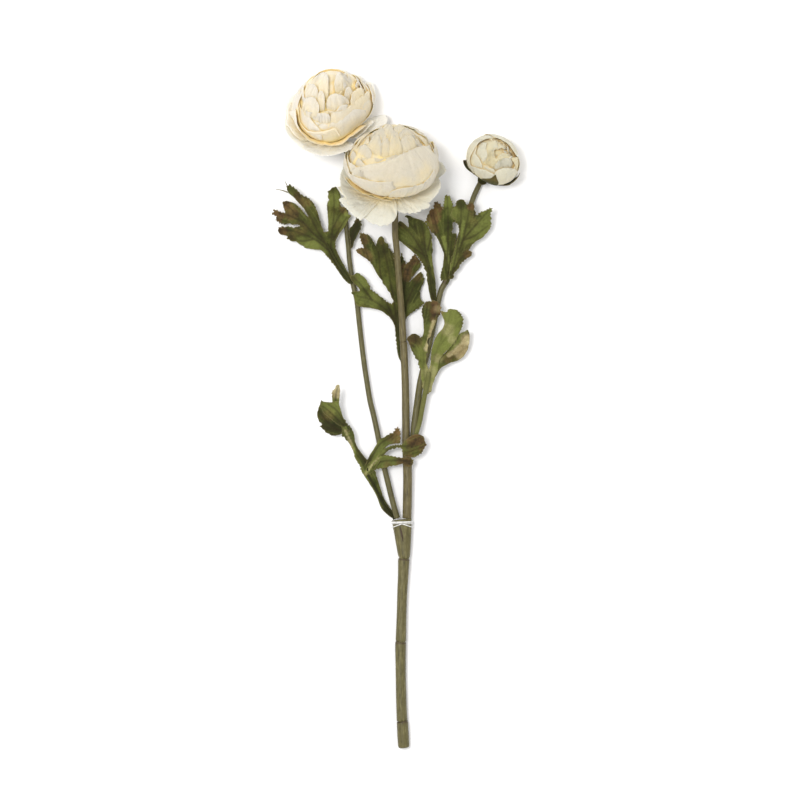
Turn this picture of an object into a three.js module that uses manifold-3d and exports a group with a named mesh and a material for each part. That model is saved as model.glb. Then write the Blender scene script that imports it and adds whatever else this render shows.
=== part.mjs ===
// Artificial ranunculus spray lying flat: one jointed stem that forks into three, two open
// many-petalled flowers, one bud, six cut leaves, a small bract and a white binding tie.
// Millimetres, +Z up. The spray lies on z = 0 with its stem along Y, the flowers at +Y.
import * as THREE from "three";
import { mergeVertices } from "three/addons/utils/BufferGeometryUtils.js";
import Module from "manifold-3d";

// ---------------------------------------------------------------- driving dimensions (mm)
const CLEAR = 0.3; // gap between neighbouring pieces
const LEAF_T = 0.9; // leaf blade with its backing
const PETAL_T = 0.8; // doubled fabric petal
const HOLE_R = 1.75; // hole at the middle of each petal round
const PEG_R = 1.15; // peg at the end of each stem, on which the rounds are threaded
const STEM_SIDES = 10;
const REFINE = 11; // longest inner edge of a leaf blade

// Main stem with the wedge where the three stems part: x, y, z, half width, half depth.
const MAIN = [[7.01, -274.56, 4.14, 3.3], [6.93, -273.75, 4.14, 4.0], [6.76, -271.62, 4.14, 4.3], [6.19, -262.61, 4.19, 4.3], [5.78, -254.08, 4.29, 4.25], [5.7, -253.26, 4.29, 3.55], [5.62, -252.28, 4.29, 3.55], [5.45, -251.46, 4.34, 4.0], [4.96, -239.64, 4.59, 3.9], [4.55, -223.26, 4.74, 3.8], [4.31, -206.88, 4.89, 3.85], [4.23, -194.6, 4.99, 4.05], [4.31, -188.86, 5.09, 4.05], [4.39, -188.04, 5.09, 3.5], [4.47, -186.89, 5.09, 3.5], [4.55, -186.07, 5.14, 4.0], [4.8, -176.58, 5.19, 3.8], [5.21, -161.84, 5.34, 3.65], [5.78, -145.46, 5.59, 3.75], [6.43, -132.35, 5.79, 4.0], [6.84, -122.53, 5.94, 4.3], [7.01, -120.4, 5.99, 4.3], [7.09, -119.58, 5.99, 3.7], [7.09, -118.43, 6.04, 3.7], [7.17, -118.43, 6.04, 3.69, 3.7], [7.21, -117.61, 6.09, 4.3, 4.2], [6.92, -112.7, 6.29, 5.33, 4.4], [6.39, -104.51, 6.49, 6.35, 4.4], [5.86, -96.32, 6.74, 7.22, 4.3], [5.37, -89.36, 6.94, 7.87, 4.2], [5.21, -87.72, 6.99, 8.04, 4.1]];
// The three thinner stems: x, y, z, radius.
const CENTRE = [[9.46, -86.74, 6.99, 3.35], [9.78, -71.77, 7.29, 3.4], [10.03, -55.4, 7.69, 3.4], [9.78, -43.95, 7.99, 3.35], [9.05, -30.87, 8.29, 3.0], [8.64, -14.52, 8.59, 2.85], [8.39, 9.99, 8.99, 2.8], [8.06, 26.33, 9.29, 2.75], [7.41, 42.66, 9.69, 2.7], [6.75, 54.91, 9.99, 2.75], [6.59, 56.87, 10.04, 2.75], [6.51, 57.52, 10.09, 2.35], [6.43, 58.5, 10.09, 2.35], [6.35, 59.15, 10.14, 2.65], [5.61, 73.68, 10.69, 2.5], [4.63, 87.53, 11.39, 2.4], [3.65, 99.75, 12.19, 2.35], [2.35, 116.02, 13.39, 2.3], [1.2, 132.26, 14.79, 2.3], [-0.1, 144.39, 16.59, 2.3], [-0.18, 154.05, 18.39, 2.35], [-0.26, 162.88, 20.39, 2.4], [-0.58, 170.06, 22.59, 2.4]];
const LEFT = [[1.61, -86.66, 6.89, 1.95], [-0.11, -80.77, 6.89, 2.05], [-2.56, -71.78, 6.79, 2.05], [-6.57, -55.43, 6.69, 2.05], [-10.41, -39.08, 6.59, 2.0], [-14.01, -20.27, 6.49, 2.0], [-17.45, -3.92, 6.29, 1.95], [-20.8, 9.99, 6.09, 1.95], [-23.51, 26.35, 5.89, 1.9], [-26.45, 46.8, 5.59, 1.9], [-29.57, 73.81, 5.19, 1.85], [-31.54, 91.83, 4.79, 1.85], [-33.5, 100.02, 4.59, 1.8], [-35.22, 108.21, 4.49, 1.8], [-36.45, 116.39, 4.39, 1.75], [-37.6, 124.58, 4.29, 1.75], [-38.26, 132.77, 4.19, 1.7], [-39.08, 140.97, 4.09, 1.7], [-39.9, 149.16, 3.99, 1.65], [-40.47, 158.99, 3.89, 1.65], [-39.91, 173.74, 3.59, 1.65], [-38.52, 185.22, 3.39, 1.65], [-36.96, 196.69, 3.29, 1.65], [-36.8, 206.51, 3.39, 1.65]];
const RIGHT = [[13.05, -36.58, 8.59, 2.1], [14.11, -28.41, 8.69, 2.35], [15.34, -15.34, 8.49, 2.25], [16.73, -2.27, 8.29, 2.1], [18.36, 9.99, 8.09, 2.05], [20.08, 22.25, 7.89, 2.0], [22.29, 33.7, 7.69, 1.95], [25.07, 44.33, 7.39, 1.9], [27.69, 54.96, 7.19, 1.9], [30.39, 67.23, 6.89, 1.9], [32.93, 79.5, 6.59, 1.9], [35.22, 90.96, 6.29, 1.9], [37.52, 99.96, 6.09, 1.9], [39.81, 104.38, 5.99, 2.0], [41.12, 107.33, 5.99, 2.0], [42.1, 110.61, 5.89, 1.75], [44.89, 119.62, 5.59, 1.7], [48.99, 131.91, 5.19, 1.7], [53.08, 144.2, 4.89, 1.65], [57.35, 156.49, 4.59, 1.65], [61.85, 170.01, 4.29, 1.65], [64.56, 177.39, 4.09, 1.65], [67.34, 183.53, 4.09, 1.65]];

// Heads: base point, heading in degrees from +X, rise in degrees. Each round of petals is a
// lobed cup: half width a, half height b, start height h0, angle where its rim ends, number of
// lobes, turn of the lobes; `dents` narrow the whole head where it presses on its neighbour.
const HEADS = {
  b: {"base": [-1.47, 180.54, 23.74], "az": 90.0, "el": 32.0, "stem_r": 2.3, "peg": 11.4, "dents": [[144, 0.1, 34]], "rounds": [{"name": "flower_b_round_1", "lobes": 6, "notch": 0.3, "turn": 20, "np": 24, "wave": 0.8, "front": [[1.75, 1.3], [12, -0.4], [22, -2.4], [30, -5.4], [38, -10.5]], "side": [[1.75, 1.3], [14, 0.9], [25, 2.9], [36, 7.0], [44.2, 12.0]], "back": [[1.75, 1.3], [12, 1.7], [22, 4.9], [33, 11.4], [41.5, 18.5]]}, {"name": "flower_b_round_2", "a": 40.5, "b": 24.5, "h0": 3.35, "psi": 106, "lobes": 5, "notch": 0.18, "turn": 8, "np": 20}, {"name": "flower_b_round_3", "a": 36.0, "b": 23.5, "h0": 4.6, "psi": 113, "lobes": 5, "notch": 0.18, "turn": 40, "np": 20}, {"name": "flower_b_round_4", "a": 31.3, "b": 22.5, "h0": 6.0, "psi": 119, "lobes": 5, "notch": 0.18, "turn": 65, "np": 20}, {"name": "flower_b_round_5", "a": 26.3, "b": 21.6, "h0": 7.4, "psi": 125, "lobes": 5, "notch": 0.16, "turn": 22, "np": 20}, {"name": "flower_b_round_6", "a": 20.8, "b": 20.6, "h0": 8.8, "psi": 130, "lobes": 4, "notch": 0.16, "turn": 50, "np": 16}, {"name": "flower_b_round_7", "a": 15.2, "b": 19.4, "h0": 10.2, "psi": 134, "lobes": 3, "notch": 0.16, "turn": 10, "np": 15}], "heart": {"name": "flower_b_heart", "a": 9.6, "b": 15.6, "h0": 11.8, "pit": 4.0}, "calyx": {"name": "flower_b_calyx", "lobes": 5, "notch": 0.55, "turn": 15, "np": 15, "nt": 3, "sharp": 1.0, "wave": 0.0, "front": [[2.9, -0.3], [8.5, -1.6], [14.5, -4.2]], "side": [[2.9, -0.3], [9, -0.8], [16, -0.9]], "back": [[2.9, -0.3], [9, -0.2], [16, 1.0]]}},
  a: {"base": [-50.91, 231.76, 9.49], "az": 93.0, "el": 52.0, "stem_r": 1.75, "peg": 9.9, "dents": [[-43, 0.18, 36]], "rounds": [{"name": "flower_a_round_1", "lobes": 6, "notch": 0.26, "turn": 45, "np": 24, "wave": 0.7, "front": [[1.75, 1.1], [11, 0.4], [20, 1.4], [29, 4.2], [36.6, 8.6]], "side": [[1.75, 1.1], [11, 1.2], [20, 3.2], [29, 7.4], [36.8, 13.5]], "back": [[1.75, 1.1], [10, 1.3], [19, 4.2], [27, 9.4], [35.5, 17.5]]}, {"name": "flower_a_round_2", "a": 32.3, "b": 21.5, "h0": 3.0, "psi": 107, "lobes": 5, "notch": 0.18, "turn": 5, "np": 20}, {"name": "flower_a_round_3", "a": 28.0, "b": 20.6, "h0": 4.4, "psi": 114, "lobes": 5, "notch": 0.18, "turn": 35, "np": 20}, {"name": "flower_a_round_4", "a": 23.2, "b": 19.8, "h0": 5.8, "psi": 121, "lobes": 5, "notch": 0.18, "turn": 62, "np": 20}, {"name": "flower_a_round_5", "a": 17.8, "b": 18.8, "h0": 7.2, "psi": 128, "lobes": 4, "notch": 0.16, "turn": 20, "np": 16}, {"name": "flower_a_round_6", "a": 12.9, "b": 17.6, "h0": 8.6, "psi": 132, "lobes": 3, "notch": 0.16, "turn": 60, "np": 15}], "heart": {"name": "flower_a_heart", "a": 7.9, "b": 13.6, "h0": 10.2, "pit": 4.0}, "calyx": {"name": "flower_a_calyx", "lobes": 5, "notch": 0.55, "turn": 30, "np": 15, "nt": 3, "sharp": 1.0, "wave": 0.0, "front": [[2.3, -0.3], [7, -1.0], [12.5, -1.2]], "side": [[2.3, -0.3], [7, -0.8], [13, -0.2]], "back": [[2.3, -0.3], [7, -0.6], [13, 0.5]]}},
  bud: {"base": [74.21, 197.01, 4.49], "az": 58.0, "el": 62.0, "stem_r": 1.75, "peg": 5.9, "dents": [], "rounds": [{"name": "bud_round_1", "a": 22.3, "b": 17.2, "h0": 2.6, "psi": 98, "lobes": 5, "notch": 0.2, "turn": 10, "np": 20}, {"name": "bud_round_2", "a": 17.2, "b": 16.2, "h0": 4.2, "psi": 118, "lobes": 4, "notch": 0.18, "turn": 50, "np": 16}], "heart": {"name": "bud_heart", "a": 12.0, "b": 12.6, "h0": 6.2, "pit": 2.0}, "calyx": {"name": "bud_calyx", "lobes": 5, "notch": 0.62, "turn": 24, "np": 20, "nt": 4, "sharp": 1.0, "wave": 0.0, "front": [[2.3, 0.4], [10, 0.2], [18, 2.6], [24, 8.0]], "side": [[2.3, 0.4], [10, 0.6], [18, 4.0], [24, 10.5]], "back": [[2.3, 0.4], [10, 1.2], [18, 5.0], [24, 12.0]]}},
};

// Leaves: blade sheets as outlines with height marks (x, y, z), and a stalk x, y, z, radius.
const LEAVES = {
  leaf_upper_left: {"sheets": [{"name": "blade", "outline": [[-36.65, 104.83], [-41.56, 108.09], [-59.09, 131.07], [-61.55, 132.56], [-74.28, 134.45], [-80.03, 138.75], [-89.19, 141.85], [-87.95, 143.72], [-93.57, 145.43], [-95.38, 147.24], [-96.2, 149.12], [-94.8, 151.16], [-77.83, 152.15], [-81.1, 153.37], [-92.71, 154.13], [-97.98, 157.0], [-96.9, 159.18], [-101.39, 161.8], [-99.6, 163.51], [-99.18, 165.96], [-90.31, 162.78], [-92.32, 171.72], [-88.89, 172.62], [-81.11, 169.81], [-70.85, 159.16], [-75.37, 167.13], [-87.91, 180.39], [-88.47, 183.63], [-86.83, 185.26], [-82.6, 183.47], [-76.96, 177.92], [-71.68, 175.68], [-66.21, 170.13], [-59.88, 151.67], [-58.26, 147.77], [-56.62, 146.96], [-55.15, 148.41], [-54.81, 153.7], [-55.85, 169.16], [-54.28, 172.95], [-55.31, 180.29], [-50.01, 183.7], [-47.97, 183.53], [-46.75, 181.66], [-44.48, 177.21], [-45.01, 170.83], [-43.96, 168.19], [-40.7, 166.57], [-38.01, 161.68], [-35.8, 160.7], [-47.24, 143.15], [-48.8, 135.81], [-45.78, 127.25], [-33.79, 106.87]], "marks": [[-35.43, 106.47, 7.19], [-43.6, 115.44, 7.59], [-50.93, 126.84, 8.59], [-56.63, 135.79, 9.39], [-69.62, 158.51, 11.99], [-85.85, 183.63, 14.49], [-77.82, 155.31, 10.79], [-100.01, 162.86, 7.49], [-77.91, 144.84, 8.19], [-95.22, 148.31, 4.59], [-82.09, 139.25, 5.59], [-69.78, 134.29, 6.59], [-50.07, 152.88, 10.49], [-50.01, 182.07, 13.49], [-39.48, 162.74, 9.49], [-42.76, 150.54, 8.59], [-88.49, 170.91, 9.49], [-65.56, 166.7, 11.49]]}], "petiole": [[-35.43, 105.16, 6.99, 1.1], [-40.74, 112.59, 7.29, 1.15], [-47.26, 121.96, 8.09, 1.1], [-52.96, 132.53, 9.19, 0.9], [-56.21, 138.22, 9.79, 0.6]], "dark": false},
  leaf_centre: {"sheets": [{"name": "blade", "outline": [[4.23, 41.9], [1.36, 50.9], [-0.68, 70.54], [-3.55, 76.25], [-7.63, 80.32], [-13.35, 83.57], [-31.32, 87.21], [-34.18, 95.37], [-36.22, 97.99], [-29.03, 99.46], [-37.02, 110.05], [-36.62, 111.68], [-31.31, 114.06], [-23.96, 108.85], [-19.88, 100.69], [-6.0, 90.13], [-2.32, 89.09], [-3.14, 93.82], [-6.82, 101.59], [-19.08, 120.4], [-23.17, 124.88], [-31.35, 130.77], [-32.16, 132.81], [-25.62, 134.51], [-27.65, 137.5], [-29.28, 144.0], [-28.05, 146.86], [-23.15, 145.64], [-20.29, 143.21], [-15.97, 136.54], [-14.58, 140.78], [-12.12, 143.81], [-10.08, 143.24], [-8.45, 139.15], [-5.99, 137.52], [-1.09, 127.78], [2.59, 101.63], [4.64, 131.08], [9.14, 121.69], [15.69, 129.08], [18.55, 126.23], [21.01, 121.35], [19.79, 117.66], [11.18, 106.56], [20.44, 114.81], [23.64, 107.44], [20.84, 100.85], [20.6, 94.29], [21.42, 91.43], [23.71, 89.39], [11.18, 79.54], [8.73, 75.44], [5.45, 41.9]], "marks": [[4.64, 44.35, 5.19], [2.18, 67.27, 5.19], [2.18, 81.99, 5.39], [-12.54, 88.48, 7.19], [-31.32, 91.7, 8.69], [-34.57, 110.46, 9.59], [-35.4, 97.41, 8.89], [-23.96, 103.95, 8.99], [-16.62, 86.84, 7.19], [-8.45, 98.32, 6.39], [-16.63, 122.85, 6.39], [-27.23, 142.37, 8.59], [-30.53, 132.65, 6.79], [-10.9, 140.78, 7.59], [-1.91, 122.87, 5.99], [6.27, 104.09, 4.99], [10.36, 118.01, 4.99], [15.28, 127.85, 4.39], [21.01, 121.35, 3.39], [21.02, 111.54, 2.99], [23.46, 89.39, 4.19], [13.64, 91.83, 4.79]]}], "petiole": [[5.94, 37.79, 7.19, 0.9], [4.8, 43.94, 5.79, 1.0], [3.16, 55.0, 4.79, 1.05], [2.18, 71.37, 4.69, 1.0], [1.77, 83.64, 4.89, 0.7]], "dark": true},
  leaf_right_inner: {"sheets": [{"name": "blade", "outline": [[29.55, 91.29], [23.58, 119.04], [15.66, 129.29], [1.36, 142.33], [0.55, 147.24], [1.36, 153.77], [3.41, 156.18], [10.76, 151.03], [9.86, 158.32], [7.73, 159.63], [9.53, 161.02], [22.59, 156.41], [28.31, 147.98], [30.2, 140.67], [31.26, 117.82], [33.47, 99.86], [33.39, 92.51]], "marks": [[31.6, 92.51, 8.79], [29.14, 108.03, 8.99], [26.69, 122.72, 9.39], [23.41, 140.66, 9.99], [11.98, 148.82, 9.99], [2.18, 150.51, 8.99], [23.4, 155.27, 11.49], [8.71, 159.38, 10.99], [15.26, 130.11, 8.59], [29.95, 136.59, 9.59]]}], "petiole": [[34.22, 86.41, 7.99, 0.9], [32.91, 92.52, 8.49, 1.0], [30.78, 99.88, 8.49, 1.05], [28.33, 116.21, 8.69, 0.9], [25.87, 128.45, 9.19, 0.6]], "dark": true},
  leaf_right_tall: {"sheets": [{"name": "left", "outline": [[42.7, 108.44], [37.8, 107.62], [36.66, 110.07], [39.67, 129.23], [35.09, 140.38], [24.21, 155.41], [28.69, 165.56], [30.73, 166.11], [32.76, 172.28], [35.62, 170.4], [39.13, 165.62], [40.32, 175.04], [41.71, 177.89], [44.4, 177.07], [46.62, 169.83], [51.13, 161.73], [49.51, 156.05], [46.73, 154.02], [46.1, 146.72], [49.86, 145.68], [50.19, 143.09], [47.92, 130.86], [47.85, 110.15]], "marks": [[44.66, 111.3, 8.99], [43.02, 125.97, 9.79], [38.92, 136.55, 10.49], [34.01, 152.82, 11.49], [33.17, 170.65, 13.49], [27.48, 158.51, 11.99], [42.52, 175.44, 14.99], [42.98, 156.87, 11.99], [48.68, 163.36, 12.59], [45.47, 136.58, 9.89]]}, {"name": "right", "outline": [[43.58, 109.38], [45.69, 124.92], [51.93, 148.63], [51.09, 152.24], [46.18, 158.7], [44.96, 162.36], [48.61, 167.78], [49.09, 170.44], [50.64, 172.63], [53.49, 173.44], [56.18, 172.64], [57.99, 169.67], [59.22, 169.45], [61.09, 171.33], [63.54, 170.11], [66.09, 160.4], [76.72, 166.25], [78.76, 166.09], [77.8, 159.12], [78.46, 153.58], [77.25, 149.53], [73.99, 145.44], [62.19, 135.72], [60.16, 132.08], [62.78, 130.37], [61.8, 127.59], [54.02, 121.03], [47.91, 113.05], [47.59, 109.62]], "marks": [[45.46, 111.25, 10.09], [46.26, 121.02, 10.89], [49.51, 127.5, 11.89], [54.38, 140.5, 12.99], [53.48, 171.24, 16.99], [61.66, 169.7, 15.49], [67.42, 152.71, 13.49], [77.13, 164.78, 15.99], [75.62, 148.71, 11.99], [60.98, 130.04, 9.99], [51.17, 122.66, 10.59], [48.63, 160.74, 15.59]]}], "petiole": [[41.9, 104.46, 8.39, 1.1], [43.53, 108.45, 8.69, 1.1], [45.15, 114.55, 9.29, 1.0], [46.77, 122.69, 9.99, 0.7]], "dark": false},
  leaf_lower_right: {"sheets": [{"name": "left", "outline": [[24.15, 15.71], [21.45, 23.06], [20.79, 34.48], [17.69, 43.05], [9.36, 59.35], [13.6, 63.84], [16.46, 64.0], [21.11, 61.23], [23.07, 67.11], [21.43, 81.79], [22.58, 86.69], [25.02, 90.26], [32.34, 91.03], [35.61, 89.09], [37.25, 85.43], [36.76, 80.95], [26.91, 58.55], [25.44, 39.38], [28.3, 32.85], [28.96, 22.24], [26.6, 15.71]], "marks": [[25.45, 17.34, 10.19], [24.22, 30.4, 10.99], [22.99, 42.64, 11.39], [16.06, 53.27, 10.59], [11.16, 60.58, 12.59], [18.5, 62.21, 12.59], [23.4, 54.88, 11.79], [24.21, 67.11, 12.19], [28.28, 78.51, 12.99], [23.39, 86.69, 12.39], [31.53, 89.07, 14.59], [36.43, 85.03, 13.39], [31.56, 71.2, 11.79], [26.67, 46.73, 10.79]]}, {"name": "middle", "outline": [[24.96, 15.71], [24.63, 23.06], [31.37, 57.29], [39.98, 71.92], [37.45, 82.48], [41.92, 81.66], [42.89, 83.61], [50.22, 83.28], [53.08, 80.85], [55.11, 76.78], [54.15, 68.65], [49.04, 58.08], [36.44, 43.44], [35.06, 35.29], [27.82, 15.71]], "marks": [[26.27, 17.34, 10.19], [28.3, 27.95, 11.19], [31.55, 41.0, 12.59], [33.17, 52.4, 13.59], [40.49, 54.82, 14.99], [40.48, 68.67, 15.59], [38.83, 80.04, 16.79], [46.14, 82.46, 17.59], [53.48, 76.78, 16.99], [48.63, 65.41, 15.59], [46.15, 73.51, 17.19]]}, {"name": "right", "outline": [[29.53, 26.32], [36.47, 44.69], [46.24, 54.87], [52.33, 63.82], [58.91, 67.38], [60.22, 64.62], [60.61, 58.14], [59.02, 50.83], [55.27, 45.11], [50.39, 41.86], [39.74, 37.75], [36.47, 35.3], [30.75, 25.5]], "marks": [[31.16, 27.14, 10.99], [35.66, 37.75, 10.59], [44.64, 45.92, 10.59], [52.76, 54.05, 12.59], [59.3, 58.96, 11.99], [57.6, 66.23, 14.99], [51.11, 60.56, 13.39], [50.39, 43.49, 8.59], [57.72, 50.83, 9.79]]}], "petiole": [[16.8, -18.17, 10.59, 1.15], [19.66, -8.79, 10.29, 1.15], [21.7, 1.83, 10.09, 1.2], [23.82, 13.26, 10.09, 1.25], [26.18, 24.69, 10.79, 1.2], [27.16, 32.85, 11.39, 0.8]], "dark": false},
  leaf_lower_left: {"sheets": [{"name": "stalk", "outline": [[-3.06, -86.26], [-9.28, -81.32], [-12.56, -76.4], [-15.0, -69.37], [-27.62, -48.38], [-28.52, -45.11], [-25.99, -41.85], [-20.27, -42.67], [-17.01, -47.58], [-8.05, -72.71], [-0.93, -83.56]], "marks": [[-3.14, -84.22, 2.59], [-10.1, -75.17, 3.59], [-14.99, -63.61, 6.59], [-20.69, -53.71, 9.79], [-23.94, -47.15, 10.79]]}, {"name": "upper", "outline": [[-27.53, -48.38], [-13.16, -21.82], [-3.53, -17.16], [2.18, -12.01], [4.3, -15.76], [3.73, -25.07], [-5.57, -26.72], [-17.41, -41.42], [-23.53, -52.05]], "marks": [[-23.94, -47.97, 10.79], [-19.04, -37.34, 11.59], [-12.5, -26.72, 12.39], [-2.71, -20.18, 13.19], [3.0, -14.45, 14.79], [2.18, -24.26, 13.19], [-8.42, -28.35, 12.19]]}, {"name": "front", "outline": [[-21.49, -43.88], [-10.55, -31.21], [-5.97, -28.34], [-1.9, -26.7], [5.85, -26.03], [7.48, -23.42], [14.4, -18.35], [18.48, -17.7], [23.38, -20.16], [25.5, -26.28], [21.75, -32.4], [17.67, -35.65], [13.59, -36.71], [7.89, -36.06], [5.61, -29.87], [-3.53, -30.21], [-7.2, -32.67], [-17.41, -46.74]], "marks": [[-21.49, -44.7, 10.89], [-15.77, -38.97, 11.59], [-9.24, -32.02, 12.29], [-1.08, -28.33, 13.19], [5.44, -28.32, 14.19], [11.15, -28.3, 14.99], [15.22, -19.33, 15.59], [23.38, -22.61, 14.39], [24.2, -28.32, 13.79], [13.59, -34.84, 14.39]]}, {"name": "cross", "outline": [[-25.09, -50.42], [-22.72, -43.07], [-18.22, -38.16], [-14.14, -35.71], [-4.35, -35.37], [12.38, -37.23], [14.58, -38.78], [14.42, -42.21], [11.48, -44.81], [6.26, -42.69], [-0.27, -43.43], [-17.41, -47.14], [-21.49, -51.23]], "marks": [[-23.13, -47.15, 10.79], [-15.77, -41.42, 11.39], [-5.98, -39.77, 12.19], [3.81, -39.76, 12.99], [9.52, -39.75, 13.19], [13.6, -39.76, 12.79]]}, {"name": "back", "outline": [[-17.0, -47.97], [-31.29, -27.97], [-36.17, -12.44], [-39.02, -9.99], [-41.38, -10.89], [-44.35, -18.17], [-37.0, -26.33], [-32.93, -37.36], [-24.35, -51.23]], "marks": [[-22.31, -47.97, 10.79], [-26.39, -41.44, 10.59], [-32.11, -30.83, 10.39], [-36.18, -21.02, 11.19], [-40.24, -12.85, 12.59], [-43.54, -16.95, 10.59]]}, {"name": "curl", "outline": [[-60.15, 10.0], [-58.52, 8.7], [-53.21, 8.05], [-46.41, 8.54], [-41.83, -5.49], [-36.98, -15.3], [-39.84, -16.93], [-43.09, -12.84], [-58.17, -1.01], [-61.38, 6.33]], "marks": [[-38.61, -13.67, 12.19], [-43.46, -6.3, 14.79], [-46.66, 6.75, 17.99], [-53.2, 1.86, 16.39], [-59.75, 8.37, 15.39], [-59.0, 1.02, 12.59], [-49.19, -7.13, 13.59]]}, {"name": "under", "outline": [[-61.44, 6.33], [-63.95, -2.25], [-62.36, -7.16], [-59.69, -10.44], [-62.15, -11.1], [-54.24, -17.98], [-50.13, -19.11], [-42.73, -17.28], [-39.45, -20.21], [-36.59, -18.57], [-37.4, -14.49], [-41.08, -10.82], [-53.32, -4.04], [-57.39, -0.2]], "marks": [[-38.62, -15.3, 11.79], [-42.73, -16.13, 10.39], [-49.28, -14.52, 9.19], [-57.45, -7.98, 9.39], [-62.32, 0.2, 10.39], [-60.76, -11.26, 7.59], [-53.43, -17.82, 6.59], [-50.85, -6.32, 12.19], [-58.2, 0.61, 11.99], [-60.62, 5.51, 13.19]]}, {"name": "tip", "outline": [[-50.9, 6.75], [-51.67, 16.92], [-46.23, 22.7], [-45.01, 19.77], [-46.5, 6.34]], "marks": [[-48.7, 6.75, 17.39], [-48.69, 10.0, 18.19], [-48.66, 15.7, 19.59], [-46.64, 21.4, 18.99]]}], "petiole": [[-0.77, -87.72, 3.09, 0.9], [-3.14, -84.21, 2.69, 1.0], [-10.1, -75.17, 3.49, 1.05], [-15.81, -63.62, 6.39, 1.1], [-21.91, -52.08, 9.89, 1.05], [-22.72, -45.52, 10.79, 0.8]], "dark": false},
  bract_left: {"sheets": [{"name": "blade", "outline": [[-36.58, 134.28], [-37.87, 148.12], [-34.18, 153.8], [-31.31, 161.51], [-29.27, 160.28], [-27.8, 157.02], [-27.64, 152.98], [-35.19, 134.28]], "marks": [[-36.25, 135.1, 6.79], [-35.42, 142.43, 7.39], [-32.14, 150.55, 8.39], [-30.49, 158.65, 9.59]]}], "petiole": null, "dark": true},
};

// ---------------------------------------------------------------- solids
const wasm = await Module();
wasm.setup();

function toSolid(positions, index) {
  const g = new THREE.BufferGeometry();
  g.setAttribute("position", new THREE.BufferAttribute(new Float32Array(positions), 3));
  g.setIndex(index);
  const m = mergeVertices(g, 1e-3);
  const tri = [];
  const id = m.index.array;
  for (let i = 0; i < id.length; i += 3)
    if (id[i] !== id[i + 1] && id[i + 1] !== id[i + 2] && id[i] !== id[i + 2]) tri.push(id[i], id[i + 1], id[i + 2]);
  let s = new wasm.Manifold(new wasm.Mesh({ numProp: 3, vertProperties: new Float32Array(m.attributes.position.array), triVerts: new Uint32Array(tri) }));
  if (s.volume() < 0) {
    for (let i = 0; i < tri.length; i += 3) [tri[i + 1], tri[i + 2]] = [tri[i + 2], tri[i + 1]];
    s = new wasm.Manifold(new wasm.Mesh({ numProp: 3, vertProperties: new Float32Array(m.attributes.position.array), triVerts: new Uint32Array(tri) }));
  }
  return s;
}

function biggest(s) {
  const parts = s.decompose();
  parts.sort((p, q) => q.volume() - p.volume());
  return parts[0];
}

// Whether every edge still belongs to two faces once corners are rounded to 1e-4 mm.
function sound(s) {
  const m = s.getMesh(), key = [], uses = new Map();
  for (let i = 0; i < m.numVert; i++) key.push([0, 1, 2].map((k) => Math.round(m.vertProperties[i * m.numProp + k] * 1e4)).join());
  for (let i = 0; i < m.triVerts.length; i += 3) {
    const t = [0, 1, 2].map((k) => key[m.triVerts[i + k]]);
    if (t[0] === t[1] || t[1] === t[2] || t[0] === t[2]) continue;
    for (let k = 0; k < 3; k++) {
      const e = [t[k], t[(k + 1) % 3]].sort().join("|");
      uses.set(e, (uses.get(e) ?? 0) + 1);
    }
  }
  return [...uses.values()].every((n) => n === 2);
}

// Joins the near-equal corners that cutting leaves behind.
function tidy(s) {
  for (const tol of [0.03, 0.012, 0.05, 0.005, 0.08]) {
    const m = s.getMesh();
    const v = new Float32Array(m.numVert * 3);
    for (let i = 0; i < m.numVert; i++) for (let k = 0; k < 3; k++) v[3 * i + k] = m.vertProperties[i * m.numProp + k];
    const g = new THREE.BufferGeometry();
    g.setAttribute("position", new THREE.BufferAttribute(v, 3));
    g.setIndex(new THREE.BufferAttribute(new Uint32Array(m.triVerts), 1));
    const w = mergeVertices(g, tol), id = w.index.array, tri = [];
    for (let i = 0; i < id.length; i += 3)
      if (id[i] !== id[i + 1] && id[i + 1] !== id[i + 2] && id[i] !== id[i + 2]) tri.push(id[i], id[i + 1], id[i + 2]);
    try {
      const t = new wasm.Manifold(new wasm.Mesh({ numProp: 3, vertProperties: new Float32Array(w.attributes.position.array), triVerts: new Uint32Array(tri) }));
      if (t.volume() > 0.9 * s.volume() && t.decompose().length === 1 && sound(t)) return t;
    } catch (e) {
      continue;
    }
  }
  return s;
}

function toGeometry(s) {
  const m = s.getMesh();
  const v = new Float32Array(m.numVert * 3);
  for (let i = 0; i < m.numVert; i++) for (let k = 0; k < 3; k++) v[3 * i + k] = m.vertProperties[i * m.numProp + k];
  const g = new THREE.BufferGeometry();
  g.setAttribute("position", new THREE.BufferAttribute(v, 3));
  g.setIndex(new THREE.BufferAttribute(new Uint32Array(m.triVerts), 1));
  g.computeVertexNormals();
  return g;
}

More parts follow.
